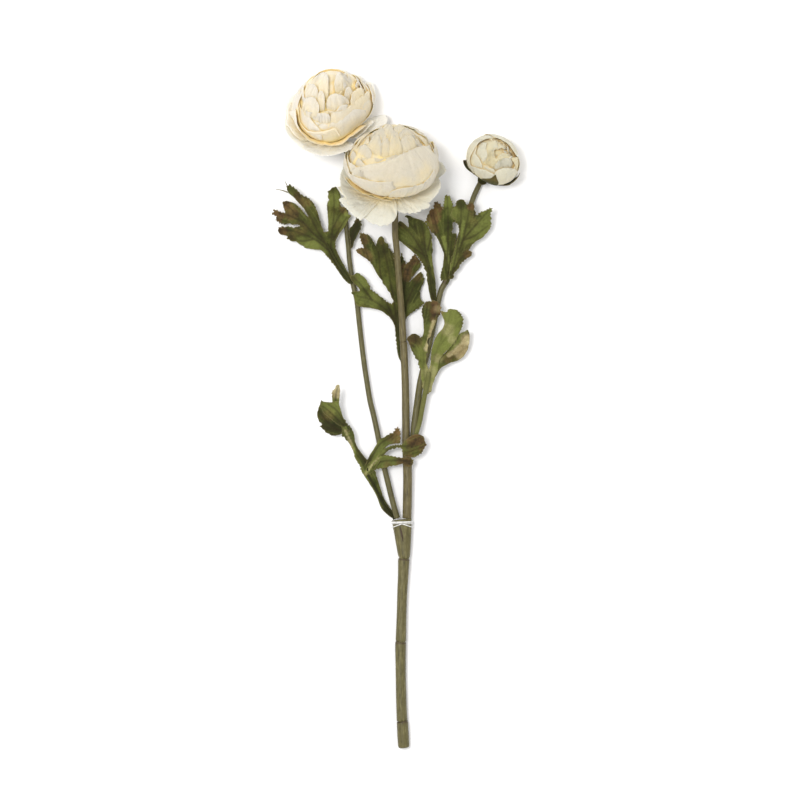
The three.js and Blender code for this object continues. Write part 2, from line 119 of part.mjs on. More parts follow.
// A closed tube through rows of x, y, z, half width, half depth (the half depth is optional).
function tube(rows, grow = 0, sides = STEM_SIDES) {
  const pts = rows.map((r) => new THREE.Vector3(r[0], r[1], r[2]));
  const pos = [], idx = [];
  const up = new THREE.Vector3(0, 0, 1);
  rows.forEach((r, i) => {
    const t = new THREE.Vector3().subVectors(pts[Math.min(i + 1, pts.length - 1)], pts[Math.max(i - 1, 0)]).normalize();
    const side = new THREE.Vector3().crossVectors(t, up).normalize();
    const top = new THREE.Vector3().crossVectors(side, t).normalize();
    const a = r[3] + grow, b = (r[4] ?? r[3]) + grow;
    for (let k = 0; k < sides; k++) {
      const w = (2 * Math.PI * k) / sides;
      const p = pts[i].clone().addScaledVector(side, a * Math.cos(w)).addScaledVector(top, b * Math.sin(w));
      pos.push(p.x, p.y, p.z);
    }
  });
  const n = rows.length;
  for (let i = 0; i < n - 1; i++)
    for (let k = 0; k < sides; k++) {
      const p = i * sides + k, q = i * sides + ((k + 1) % sides), r = p + sides, s = q + sides;
      idx.push(p, q, r, q, s, r);
    }
  for (const [ring, flip] of [[0, true], [n - 1, false]]) {
    const c = pos.length / 3;
    pos.push(pts[ring].x, pts[ring].y, pts[ring].z);
    for (let k = 0; k < sides; k++) {
      const p = ring * sides + k, q = ring * sides + ((k + 1) % sides);
      flip ? idx.push(c, q, p) : idx.push(c, p, q);
    }
  }
  return toSolid(pos, idx);
}

// ---------------------------------------------------------------- leaves
function heightAt(marks, x, y) {
  let sw = 0, sz = 0;
  for (const [mx, my, mz] of marks) {
    const w = 1 / Math.pow((x - mx) ** 2 + (y - my) ** 2 + 4, 1.6);
    sw += w;
    sz += w * mz;
  }
  return sz / sw;
}

// A blade: the outline triangulated, its inner edges split down to REFINE, then given its
// heights and a thickness.
function blade(outline, marks) {
  const shape = outline.map(([x, y]) => new THREE.Vector2(x, y));
  const loop = THREE.ShapeUtils.area(shape) < 0 ? shape.slice().reverse() : shape;
  const pts = loop.map((p) => [p.x, p.y]);
  let tris = THREE.ShapeUtils.triangulateShape(loop, []).map((t) => [...t]);
  for (let pass = 0; pass < 400; pass++) {
    const count = new Map();
    tris.forEach((t, ti) => {
      for (let k = 0; k < 3; k++) {
        const a = t[k], b = t[(k + 1) % 3], key = Math.min(a, b) + "_" + Math.max(a, b);
        if (!count.has(key)) count.set(key, []);
        count.get(key).push([ti, k]);
      }
    });
    let best = null, bestL = REFINE;
    for (const [key, uses] of count) {
      if (uses.length !== 2) continue;
      const [a, b] = key.split("_").map(Number);
      const l = Math.hypot(pts[a][0] - pts[b][0], pts[a][1] - pts[b][1]);
      if (l > bestL) { bestL = l; best = [a, b, uses]; }
    }
    if (!best) break;
    const [a, b, uses] = best;
    const m = pts.length;
    pts.push([(pts[a][0] + pts[b][0]) / 2, (pts[a][1] + pts[b][1]) / 2]);
    const add = [], drop = new Set();
    for (const [ti, k] of uses) {
      const t = tris[ti], p = t[k], q = t[(k + 1) % 3], r = t[(k + 2) % 3];
      add.push([p, m, r], [m, q, r]);
      drop.add(ti);
    }
    tris = tris.filter((_, i) => !drop.has(i)).concat(add);
  }
  const n = pts.length, pos = [], idx = [];
  for (const s of [1, -1]) for (const [x, y] of pts) pos.push(x, y, heightAt(marks, x, y) + (s * LEAF_T) / 2);
  for (const [a, b, c] of tris) idx.push(a, b, c, n + a, n + c, n + b);
  const L = loop.length;
  for (let i = 0; i < L; i++) {
    const j = (i + 1) % L;
    idx.push(i, n + i, j, j, n + i, n + j);
  }
  return toSolid(pos, idx);
}

function leaf(spec) {
  let s = null;
  for (const sh of spec.sheets) {
    const b = blade(sh.outline, sh.marks);
    s = s ? s.add(b) : b;
  }
  if (spec.petiole) s = s.add(tube(spec.petiole, 0, 7));
  return s;
}

// ---------------------------------------------------------------- heads
function headFrame(h) {
  const az = (h.az * Math.PI) / 180, el = (h.el * Math.PI) / 180;
  const w = new THREE.Vector3(Math.cos(az) * Math.cos(el), Math.sin(az) * Math.cos(el), Math.sin(el));
  const u = new THREE.Vector3(Math.sin(az), -Math.cos(az), 0);
  const v = new THREE.Vector3().crossVectors(w, u);
  return { o: new THREE.Vector3(...h.base), u, v, w };
}

const lerp = (a, b, t) => a + (b - a) * t;
function along(list, t) {
  const s = t * (list.length - 1), i = Math.min(Math.floor(s), list.length - 2);
  return [lerp(list[i][0], list[i + 1][0], s - i), lerp(list[i][1], list[i + 1][1], s - i)];
}

// Radius and height of a round at share t of its length and angle phi.
function roundAt(L, t, phi) {
  const lobe = Math.pow(Math.abs(Math.sin((L.lobes * (phi - (L.turn * Math.PI) / 180)) / 2)), L.sharp ?? 0.6);
  const reach = t * (1 - L.notch * (1 - lobe));
  if (L.front) {
    const back = Math.max(0, Math.sin(phi)), front = Math.max(0, -Math.sin(phi));
    const side = 1 - back * back - front * front;
    const f = along(L.front, reach), s = along(L.side, reach), b = along(L.back, reach);
    return [f[0] * front * front + s[0] * side + b[0] * back * back, f[1] * front * front + s[1] * side + b[1] * back * back];
  }
  const psi = (reach * L.psi * Math.PI) / 180;
  return [HOLE_R + (L.a - HOLE_R) * Math.sin(psi), L.h0 + L.b * (1 - Math.cos(psi))];
}

function whorl(head, L) {
  const F = headFrame(head), NP = L.np ?? 4 * L.lobes, NT = L.nt ?? 5;
  const at = (t, phi) => {
    let [r, h] = roundAt(L, t, phi);
    r += (L.wave ?? 0.7) * t * t * Math.sin(L.lobes * phi + (L.turn * Math.PI) / 180);
    let k = 1;
    for (const d of head.dents ?? []) {
      let g = phi - (d[0] * Math.PI) / 180;
      g = Math.atan2(Math.sin(g), Math.cos(g));
      k *= 1 - d[1] * Math.exp(-((g / ((d[2] * Math.PI) / 180)) ** 2)) * Math.min(1, r / 12);
    }
    r = Math.max(r, HOLE_R) * (r > HOLE_R ? k : 1);
    return new THREE.Vector3(F.o.x, F.o.y, F.o.z).addScaledVector(F.u, r * Math.cos(phi)).addScaledVector(F.v, r * Math.sin(phi)).addScaledVector(F.w, h);
  };
  const pos = [], idx = [];
  const normal = (t, phi) => {
    const e = 1e-3, t0 = Math.max(0.01, t - e), t1 = Math.max(t0 + e, Math.min(1, t + e));
    const a = new THREE.Vector3().subVectors(at(t1, phi), at(t0, phi));
    const b = new THREE.Vector3().subVectors(at(Math.max(t, 0.01), phi + e), at(Math.max(t, 0.01), phi - e));
    return a.cross(b).normalize();
  };
  for (const s of [0.5, -0.5])
    for (let i = 0; i <= NT; i++)
      for (let k = 0; k < NP; k++) {
        const t = i / NT, phi = (2 * Math.PI * (k + 0.5)) / NP + (L.turn * Math.PI) / 180;
        const p = at(t, phi).addScaledVector(normal(t, phi), s * PETAL_T);
        pos.push(p.x, p.y, p.z);
      }
  const ring = (NT + 1) * NP;
  const id = (side, i, k) => side * ring + i * NP + (k % NP);
  for (let i = 0; i < NT; i++)
    for (let k = 0; k < NP; k++) {
      idx.push(id(0, i, k), id(0, i + 1, k), id(0, i, k + 1), id(0, i, k + 1), id(0, i + 1, k), id(0, i + 1, k + 1));
      idx.push(id(1, i, k), id(1, i, k + 1), id(1, i + 1, k), id(1, i, k + 1), id(1, i + 1, k + 1), id(1, i + 1, k));
    }
  for (let k = 0; k < NP; k++) {
    idx.push(id(0, 0, k), id(0, 0, k + 1), id(1, 0, k), id(0, 0, k + 1), id(1, 0, k + 1), id(1, 0, k));
    idx.push(id(0, NT, k), id(1, NT, k), id(0, NT, k + 1), id(0, NT, k + 1), id(1, NT, k), id(1, NT, k + 1));
  }
  return toSolid(pos, idx);
}

// The closed heart of a head: an egg with shallow flutes.
function heart(head, c) {
  const F = headFrame(head), NP = 15, NT = 8, pos = [], idx = [];
  for (let i = 0; i <= NT; i++)
    for (let k = 0; k < NP; k++) {
      const t = i / NT, phi = (2 * Math.PI * k) / NP, psi = t * Math.PI;
      const r = c.a * Math.sin(psi) * (1 + 0.05 * Math.sin(5 * phi));
      const h = c.h0 + c.b * (1 - Math.cos(psi)) - (c.pit ?? 0) * Math.exp(-(((1 - t) / 0.16) ** 2));
      const p = F.o.clone().addScaledVector(F.u, r * Math.cos(phi)).addScaledVector(F.v, r * Math.sin(phi)).addScaledVector(F.w, h);
      pos.push(p.x, p.y, p.z);
    }
  for (let i = 0; i < NT; i++)
    for (let k = 0; k < NP; k++) {
      const p = i * NP + k, q = i * NP + ((k + 1) % NP), r = p + NP, s = q + NP;
      idx.push(p, q, r, q, s, r);
    }
  return toSolid(pos, idx);
}

// The green cup under a head: a thin round with pointed lobes, closed on the stem by its hole.
function stemInto(head, rows) {
  const F = headFrame(head), out = rows.map((r) => [...r]);
  const put = (h, r) => out.push([F.o.x + F.w.x * h, F.o.y + F.w.y * h, F.o.z + F.w.z * h, r]);
  put(-3.2, head.stem_r);
  put(-1.2, head.stem_r);
  put(-1.1, PEG_R);
  put(head.peg, PEG_R);
  return out;
}

// ---------------------------------------------------------------- materials
const material = (hex, roughness) => new THREE.MeshStandardMaterial({ color: hex, roughness, metalness: 0, side: THREE.DoubleSide });
const M = {
  petal: material(0xe6e0cb, 0.92),
  bud: material(0xdcc7a6, 0.92),
  heart: material(0xcaa75f, 0.92),
  leaf: material(0x5c6336, 0.85),
  leafDark: material(0x45472a, 0.85),
  stem: material(0x787048, 0.6),
  stemBrown: material(0x756a4c, 0.6),
  tie: material(0xf0efea, 0.7),
};

// ---------------------------------------------------------------- assembly
const parts = new Map();
const put = (name, solid, mat) => parts.set(name, { solid: tidy(biggest(solid)), mat });

const rowsC = stemInto(HEADS.b, CENTRE), rowsL = stemInto(HEADS.a, LEFT), rowsR = stemInto(HEADS.bud, RIGHT);
const main = tube(MAIN), centre = tube(rowsC);
put("main_stem", main, M.stem);
put("centre_stem", centre.subtract(tube(MAIN, CLEAR)), M.stemBrown);
put("left_branch", tube(rowsL).subtract(tube(MAIN, CLEAR)).subtract(tube(rowsC, CLEAR)), M.stem);
put("right_branch", tube(rowsR).subtract(tube(rowsC, CLEAR)), M.stem);
const stemsGrown = [tube(MAIN, CLEAR), tube(rowsC, CLEAR), tube(rowsL, CLEAR), tube(rowsR, CLEAR)];

// The tie: a flat band once round the top of the wedge, and its second, slanting strand.
const TIE = {
  outer: [[5.37, -91.08, 6.89, 9.15, 5.65], [5.37, -88.95, 6.89, 9.15, 5.65]],
  inner: [[5.37, -93.53, 6.89, 8.45, 4.95], [5.37, -86.5, 6.89, 8.45, 4.95]],
};
{
  const ring = (rows, grow) => tube(rows, grow, 16);
  let band = ring(TIE.outer, 0).subtract(ring(TIE.inner, 0));
  put("tie_band", band, M.tie);
}

for (const [name, spec] of Object.entries(LEAVES)) {
  let s = leaf(spec);
  for (const g of stemsGrown) s = s.subtract(g);
  if (name === "leaf_lower_left") s = s.subtract(tube(TIE.outer, CLEAR, 16));
  put(name, s, spec.dark ? M.leafDark : M.leaf);
}

for (const [key, head] of Object.entries(HEADS)) {
  for (const L of head.rounds) put(L.name, whorl(head, L), key === "bud" ? M.bud : M.petal);
  put(head.heart.name, heart(head, head.heart), M.heart);
  put(head.calyx.name, whorl(head, head.calyx), M.leaf);
}

const group = new THREE.Group();
group.name = "ranunculus_spray";
for (const [name, p] of parts) {
  const mesh = new THREE.Mesh(toGeometry(p.solid), p.mat);
  mesh.name = name;
  group.add(mesh);
}

export default group;
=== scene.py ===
import math
import bpy
import numpy as np
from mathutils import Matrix, Vector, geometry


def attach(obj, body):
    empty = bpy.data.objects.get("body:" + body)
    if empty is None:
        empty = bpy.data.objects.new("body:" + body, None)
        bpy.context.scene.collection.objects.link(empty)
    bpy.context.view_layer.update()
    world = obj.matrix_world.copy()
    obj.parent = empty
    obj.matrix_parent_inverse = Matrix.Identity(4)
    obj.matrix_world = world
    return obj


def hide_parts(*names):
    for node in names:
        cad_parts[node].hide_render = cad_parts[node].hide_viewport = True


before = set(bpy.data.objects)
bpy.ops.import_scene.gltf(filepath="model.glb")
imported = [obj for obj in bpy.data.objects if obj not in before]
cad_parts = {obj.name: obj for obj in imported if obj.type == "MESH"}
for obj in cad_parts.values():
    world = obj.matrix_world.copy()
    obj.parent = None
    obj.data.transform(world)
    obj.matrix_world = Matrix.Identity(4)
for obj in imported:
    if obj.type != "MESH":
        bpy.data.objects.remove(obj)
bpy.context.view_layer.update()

# Artificial ranunculus spray, lying flat. Tables are in millimetres, in the part's own frame.
MM = 0.001
MAIN = [[7.01, -274.56, 4.14, 3.3], [6.93, -273.75, 4.14, 4.0], [6.76, -271.62, 4.14, 4.3], [6.19, -262.61, 4.19, 4.3], [5.78, -254.08, 4.29, 4.25], [5.7, -253.26, 4.29, 3.55], [5.62, -252.28, 4.29, 3.55], [5.45, -251.46, 4.34, 4.0], [4.96, -239.64, 4.59, 3.9], [4.55, -223.26, 4.74, 3.8], [4.31, -206.88, 4.89, 3.85], [4.23, -194.6, 4.99, 4.05], [4.31, -188.86, 5.09, 4.05], [4.39, -188.04, 5.09, 3.5], [4.47, -186.89, 5.09, 3.5], [4.55, -186.07, 5.14, 4.0], [4.8, -176.58, 5.19, 3.8], [5.21, -161.84, 5.34, 3.65], [5.78, -145.46, 5.59, 3.75], [6.43, -132.35, 5.79, 4.0], [6.84, -122.53, 5.94, 4.3], [7.01, -120.4, 5.99, 4.3], [7.09, -119.58, 5.99, 3.7], [7.09, -118.43, 6.04, 3.7], [7.17, -118.43, 6.04, 3.69, 3.7], [7.21, -117.61, 6.09, 4.3, 4.2], [6.92, -112.7, 6.29, 5.33, 4.4], [6.39, -104.51, 6.49, 6.35, 4.4], [5.86, -96.32, 6.74, 7.22, 4.3], [5.37, -89.36, 6.94, 7.87, 4.2], [5.21, -87.72, 6.99, 8.04, 4.1]]
CENTRE = [[9.46, -86.74, 6.99, 3.35], [9.78, -71.77, 7.29, 3.4], [10.03, -55.4, 7.69, 3.4], [9.78, -43.95, 7.99, 3.35], [9.05, -30.87, 8.29, 3.0], [8.64, -14.52, 8.59, 2.85], [8.39, 9.99, 8.99, 2.8], [8.06, 26.33, 9.29, 2.75], [7.41, 42.66, 9.69, 2.7], [6.75, 54.91, 9.99, 2.75], [6.59, 56.87, 10.04, 2.75], [6.51, 57.52, 10.09, 2.35], [6.43, 58.5, 10.09, 2.35], [6.35, 59.15, 10.14, 2.65], [5.61, 73.68, 10.69, 2.5], [4.63, 87.53, 11.39, 2.4], [3.65, 99.75, 12.19, 2.35], [2.35, 116.02, 13.39, 2.3], [1.2, 132.26, 14.79, 2.3], [-0.1, 144.39, 16.59, 2.3], [-0.18, 154.05, 18.39, 2.35], [-0.26, 162.88, 20.39, 2.4], [-0.58, 170.06, 22.59, 2.4]]
LEFT = [[1.61, -86.66, 6.89, 1.95], [-0.11, -80.77, 6.89, 2.05], [-2.56, -71.78, 6.79, 2.05], [-6.57, -55.43, 6.69, 2.05], [-10.41, -39.08, 6.59, 2.0], [-14.01, -20.27, 6.49, 2.0], [-17.45, -3.92, 6.29, 1.95], [-20.8, 9.99, 6.09, 1.95], [-23.51, 26.35, 5.89, 1.9], [-26.45, 46.8, 5.59, 1.9], [-29.57, 73.81, 5.19, 1.85], [-31.54, 91.83, 4.79, 1.85], [-33.5, 100.02, 4.59, 1.8], [-35.22, 108.21, 4.49, 1.8], [-36.45, 116.39, 4.39, 1.75], [-37.6, 124.58, 4.29, 1.75], [-38.26, 132.77, 4.19, 1.7], [-39.08, 140.97, 4.09, 1.7], [-39.9, 149.16, 3.99, 1.65], [-40.47, 158.99, 3.89, 1.65], [-39.91, 173.74, 3.59, 1.65], [-38.52, 185.22, 3.39, 1.65], [-36.96, 196.69, 3.29, 1.65], [-36.8, 206.51, 3.39, 1.65]]
RIGHT = [[13.05, -36.58, 8.59, 2.1], [14.11, -28.41, 8.69, 2.35], [15.34, -15.34, 8.49, 2.25], [16.73, -2.27, 8.29, 2.1], [18.36, 9.99, 8.09, 2.05], [20.08, 22.25, 7.89, 2.0], [22.29, 33.7, 7.69, 1.95], [25.07, 44.33, 7.39, 1.9], [27.69, 54.96, 7.19, 1.9], [30.39, 67.23, 6.89, 1.9], [32.93, 79.5, 6.59, 1.9], [35.22, 90.96, 6.29, 1.9], [37.52, 99.96, 6.09, 1.9], [39.81, 104.38, 5.99, 2.0], [41.12, 107.33, 5.99, 2.0], [42.1, 110.61, 5.89, 1.75], [44.89, 119.62, 5.59, 1.7], [48.99, 131.91, 5.19, 1.7], [53.08, 144.2, 4.89, 1.65], [57.35, 156.49, 4.59, 1.65], [61.85, 170.01, 4.29, 1.65], [64.56, 177.39, 4.09, 1.65], [67.34, 183.53, 4.09, 1.65]]
HEADS = {
    'b': {
        'base': [-1.47, 180.54, 23.74],
        'az': 90.0,
        'el': 32.0,
        'stem_r': 2.3,
        'peg': 11.4,
        'dents': [[144, 0.1, 34]],
        'rounds': [{"name": "flower_b_round_1", "lobes": 6, "notch": 0.3, "turn": 20, "np": 24, "wave": 0.8, "front": [[1.75, 1.3], [12, -0.4], [22, -2.4], [30, -5.4], [38, -10.5]], "side": [[1.75, 1.3], [14, 0.9], [25, 2.9], [36, 7.0], [44.2, 12.0]], "back": [[1.75, 1.3], [12, 1.7], [22, 4.9], [33, 11.4], [41.5, 18.5]]}, {"name": "flower_b_round_2", "a": 40.5, "b": 24.5, "h0": 3.35, "psi": 106, "lobes": 5, "notch": 0.18, "turn": 8, "np": 20}, {"name": "flower_b_round_3", "a": 36.0, "b": 23.5, "h0": 4.6, "psi": 113, "lobes": 5, "notch": 0.18, "turn": 40, "np": 20}, {"name": "flower_b_round_4", "a": 31.3, "b": 22.5, "h0": 6.0, "psi": 119, "lobes": 5, "notch": 0.18, "turn": 65, "np": 20}, {"name": "flower_b_round_5", "a": 26.3, "b": 21.6, "h0": 7.4, "psi": 125, "lobes": 5, "notch": 0.16, "turn": 22, "np": 20}, {"name": "flower_b_round_6", "a": 20.8, "b": 20.6, "h0": 8.8, "psi": 130, "lobes": 4, "notch": 0.16, "turn": 50, "np": 16}, {"name": "flower_b_round_7", "a": 15.2, "b": 19.4, "h0": 10.2, "psi": 134, "lobes": 3, "notch": 0.16, "turn": 10, "np": 15}],
        'heart': {
            'name': "flower_b_heart",
            'a': 9.6,
            'b': 15.6,
            'h0': 11.8,
            'pit': 4.0,
        },
        'calyx': {
            'name': "flower_b_calyx",
            'lobes': 5,
            'notch': 0.55,
            'turn': 15,
            'np': 15,
            'nt': 3,
            'sharp': 1.0,
            'wave': 0.0,
            'front': [[2.9, -0.3], [8.5, -1.6], [14.5, -4.2]],
            'side': [[2.9, -0.3], [9, -0.8], [16, -0.9]],
            'back': [[2.9, -0.3], [9, -0.2], [16, 1.0]],
        },
    },
    'a': {
        'base': [-50.91, 231.76, 9.49],
        'az': 93.0,
        'el': 52.0,
        'stem_r': 1.75,
        'peg': 9.9,
        'dents': [[-43, 0.18, 36]],
        'rounds': [{"name": "flower_a_round_1", "lobes": 6, "notch": 0.26, "turn": 45, "np": 24, "wave": 0.7, "front": [[1.75, 1.1], [11, 0.4], [20, 1.4], [29, 4.2], [36.6, 8.6]], "side": [[1.75, 1.1], [11, 1.2], [20, 3.2], [29, 7.4], [36.8, 13.5]], "back": [[1.75, 1.1], [10, 1.3], [19, 4.2], [27, 9.4], [35.5, 17.5]]}, {"name": "flower_a_round_2", "a": 32.3, "b": 21.5, "h0": 3.0, "psi": 107, "lobes": 5, "notch": 0.18, "turn": 5, "np": 20}, {"name": "flower_a_round_3", "a": 28.0, "b": 20.6, "h0": 4.4, "psi": 114, "lobes": 5, "notch": 0.18, "turn": 35, "np": 20}, {"name": "flower_a_round_4", "a": 23.2, "b": 19.8, "h0": 5.8, "psi": 121, "lobes": 5, "notch": 0.18, "turn": 62, "np": 20}, {"name": "flower_a_round_5", "a": 17.8, "b": 18.8, "h0": 7.2, "psi": 128, "lobes": 4, "notch": 0.16, "turn": 20, "np": 16}, {"name": "flower_a_round_6", "a": 12.9, "b": 17.6, "h0": 8.6, "psi": 132, "lobes": 3, "notch": 0.16, "turn": 60, "np": 15}],
        'heart': {
            'name': "flower_a_heart",
            'a': 7.9,
            'b': 13.6,
            'h0': 10.2,
            'pit': 4.0,
        },
        'calyx': {
            'name': "flower_a_calyx",
            'lobes': 5,
            'notch': 0.55,
            'turn': 30,
            'np': 15,
            'nt': 3,
            'sharp': 1.0,
            'wave': 0.0,
            'front': [[2.3, -0.3], [7, -1.0], [12.5, -1.2]],
            'side': [[2.3, -0.3], [7, -0.8], [13, -0.2]],
            'back': [[2.3, -0.3], [7, -0.6], [13, 0.5]],
        },
    },
    'bud': {
        'base': [74.21, 197.01, 4.49],
        'az': 58.0,
        'el': 62.0,
        'stem_r': 1.75,
        'peg': 5.9,
        'dents': [],
        'rounds': [{"name": "bud_round_1", "a": 22.3, "b": 17.2, "h0": 2.6, "psi": 98, "lobes": 5, "notch": 0.2, "turn": 10, "np": 20}, {"name": "bud_round_2", "a": 17.2, "b": 16.2, "h0": 4.2, "psi": 118, "lobes": 4, "notch": 0.18, "turn": 50, "np": 16}],
        'heart': {
            'name': "bud_heart",
            'a': 12.0,
            'b': 12.6,
            'h0': 6.2,
            'pit': 2.0,
        },
        'calyx': {
            'name': "bud_calyx",
            'lobes': 5,
            'notch': 0.62,
            'turn': 24,
            'np': 20,
            'nt': 4,
            'sharp': 1.0,
            'wave': 0.0,
            'front': [[2.3, 0.4], [10, 0.2], [18, 2.6], [24, 8.0]],
            'side': [[2.3, 0.4], [10, 0.6], [18, 4.0], [24, 10.5]],
            'back': [[2.3, 0.4], [10, 1.2], [18, 5.0], [24, 12.0]],
        },
    },
}
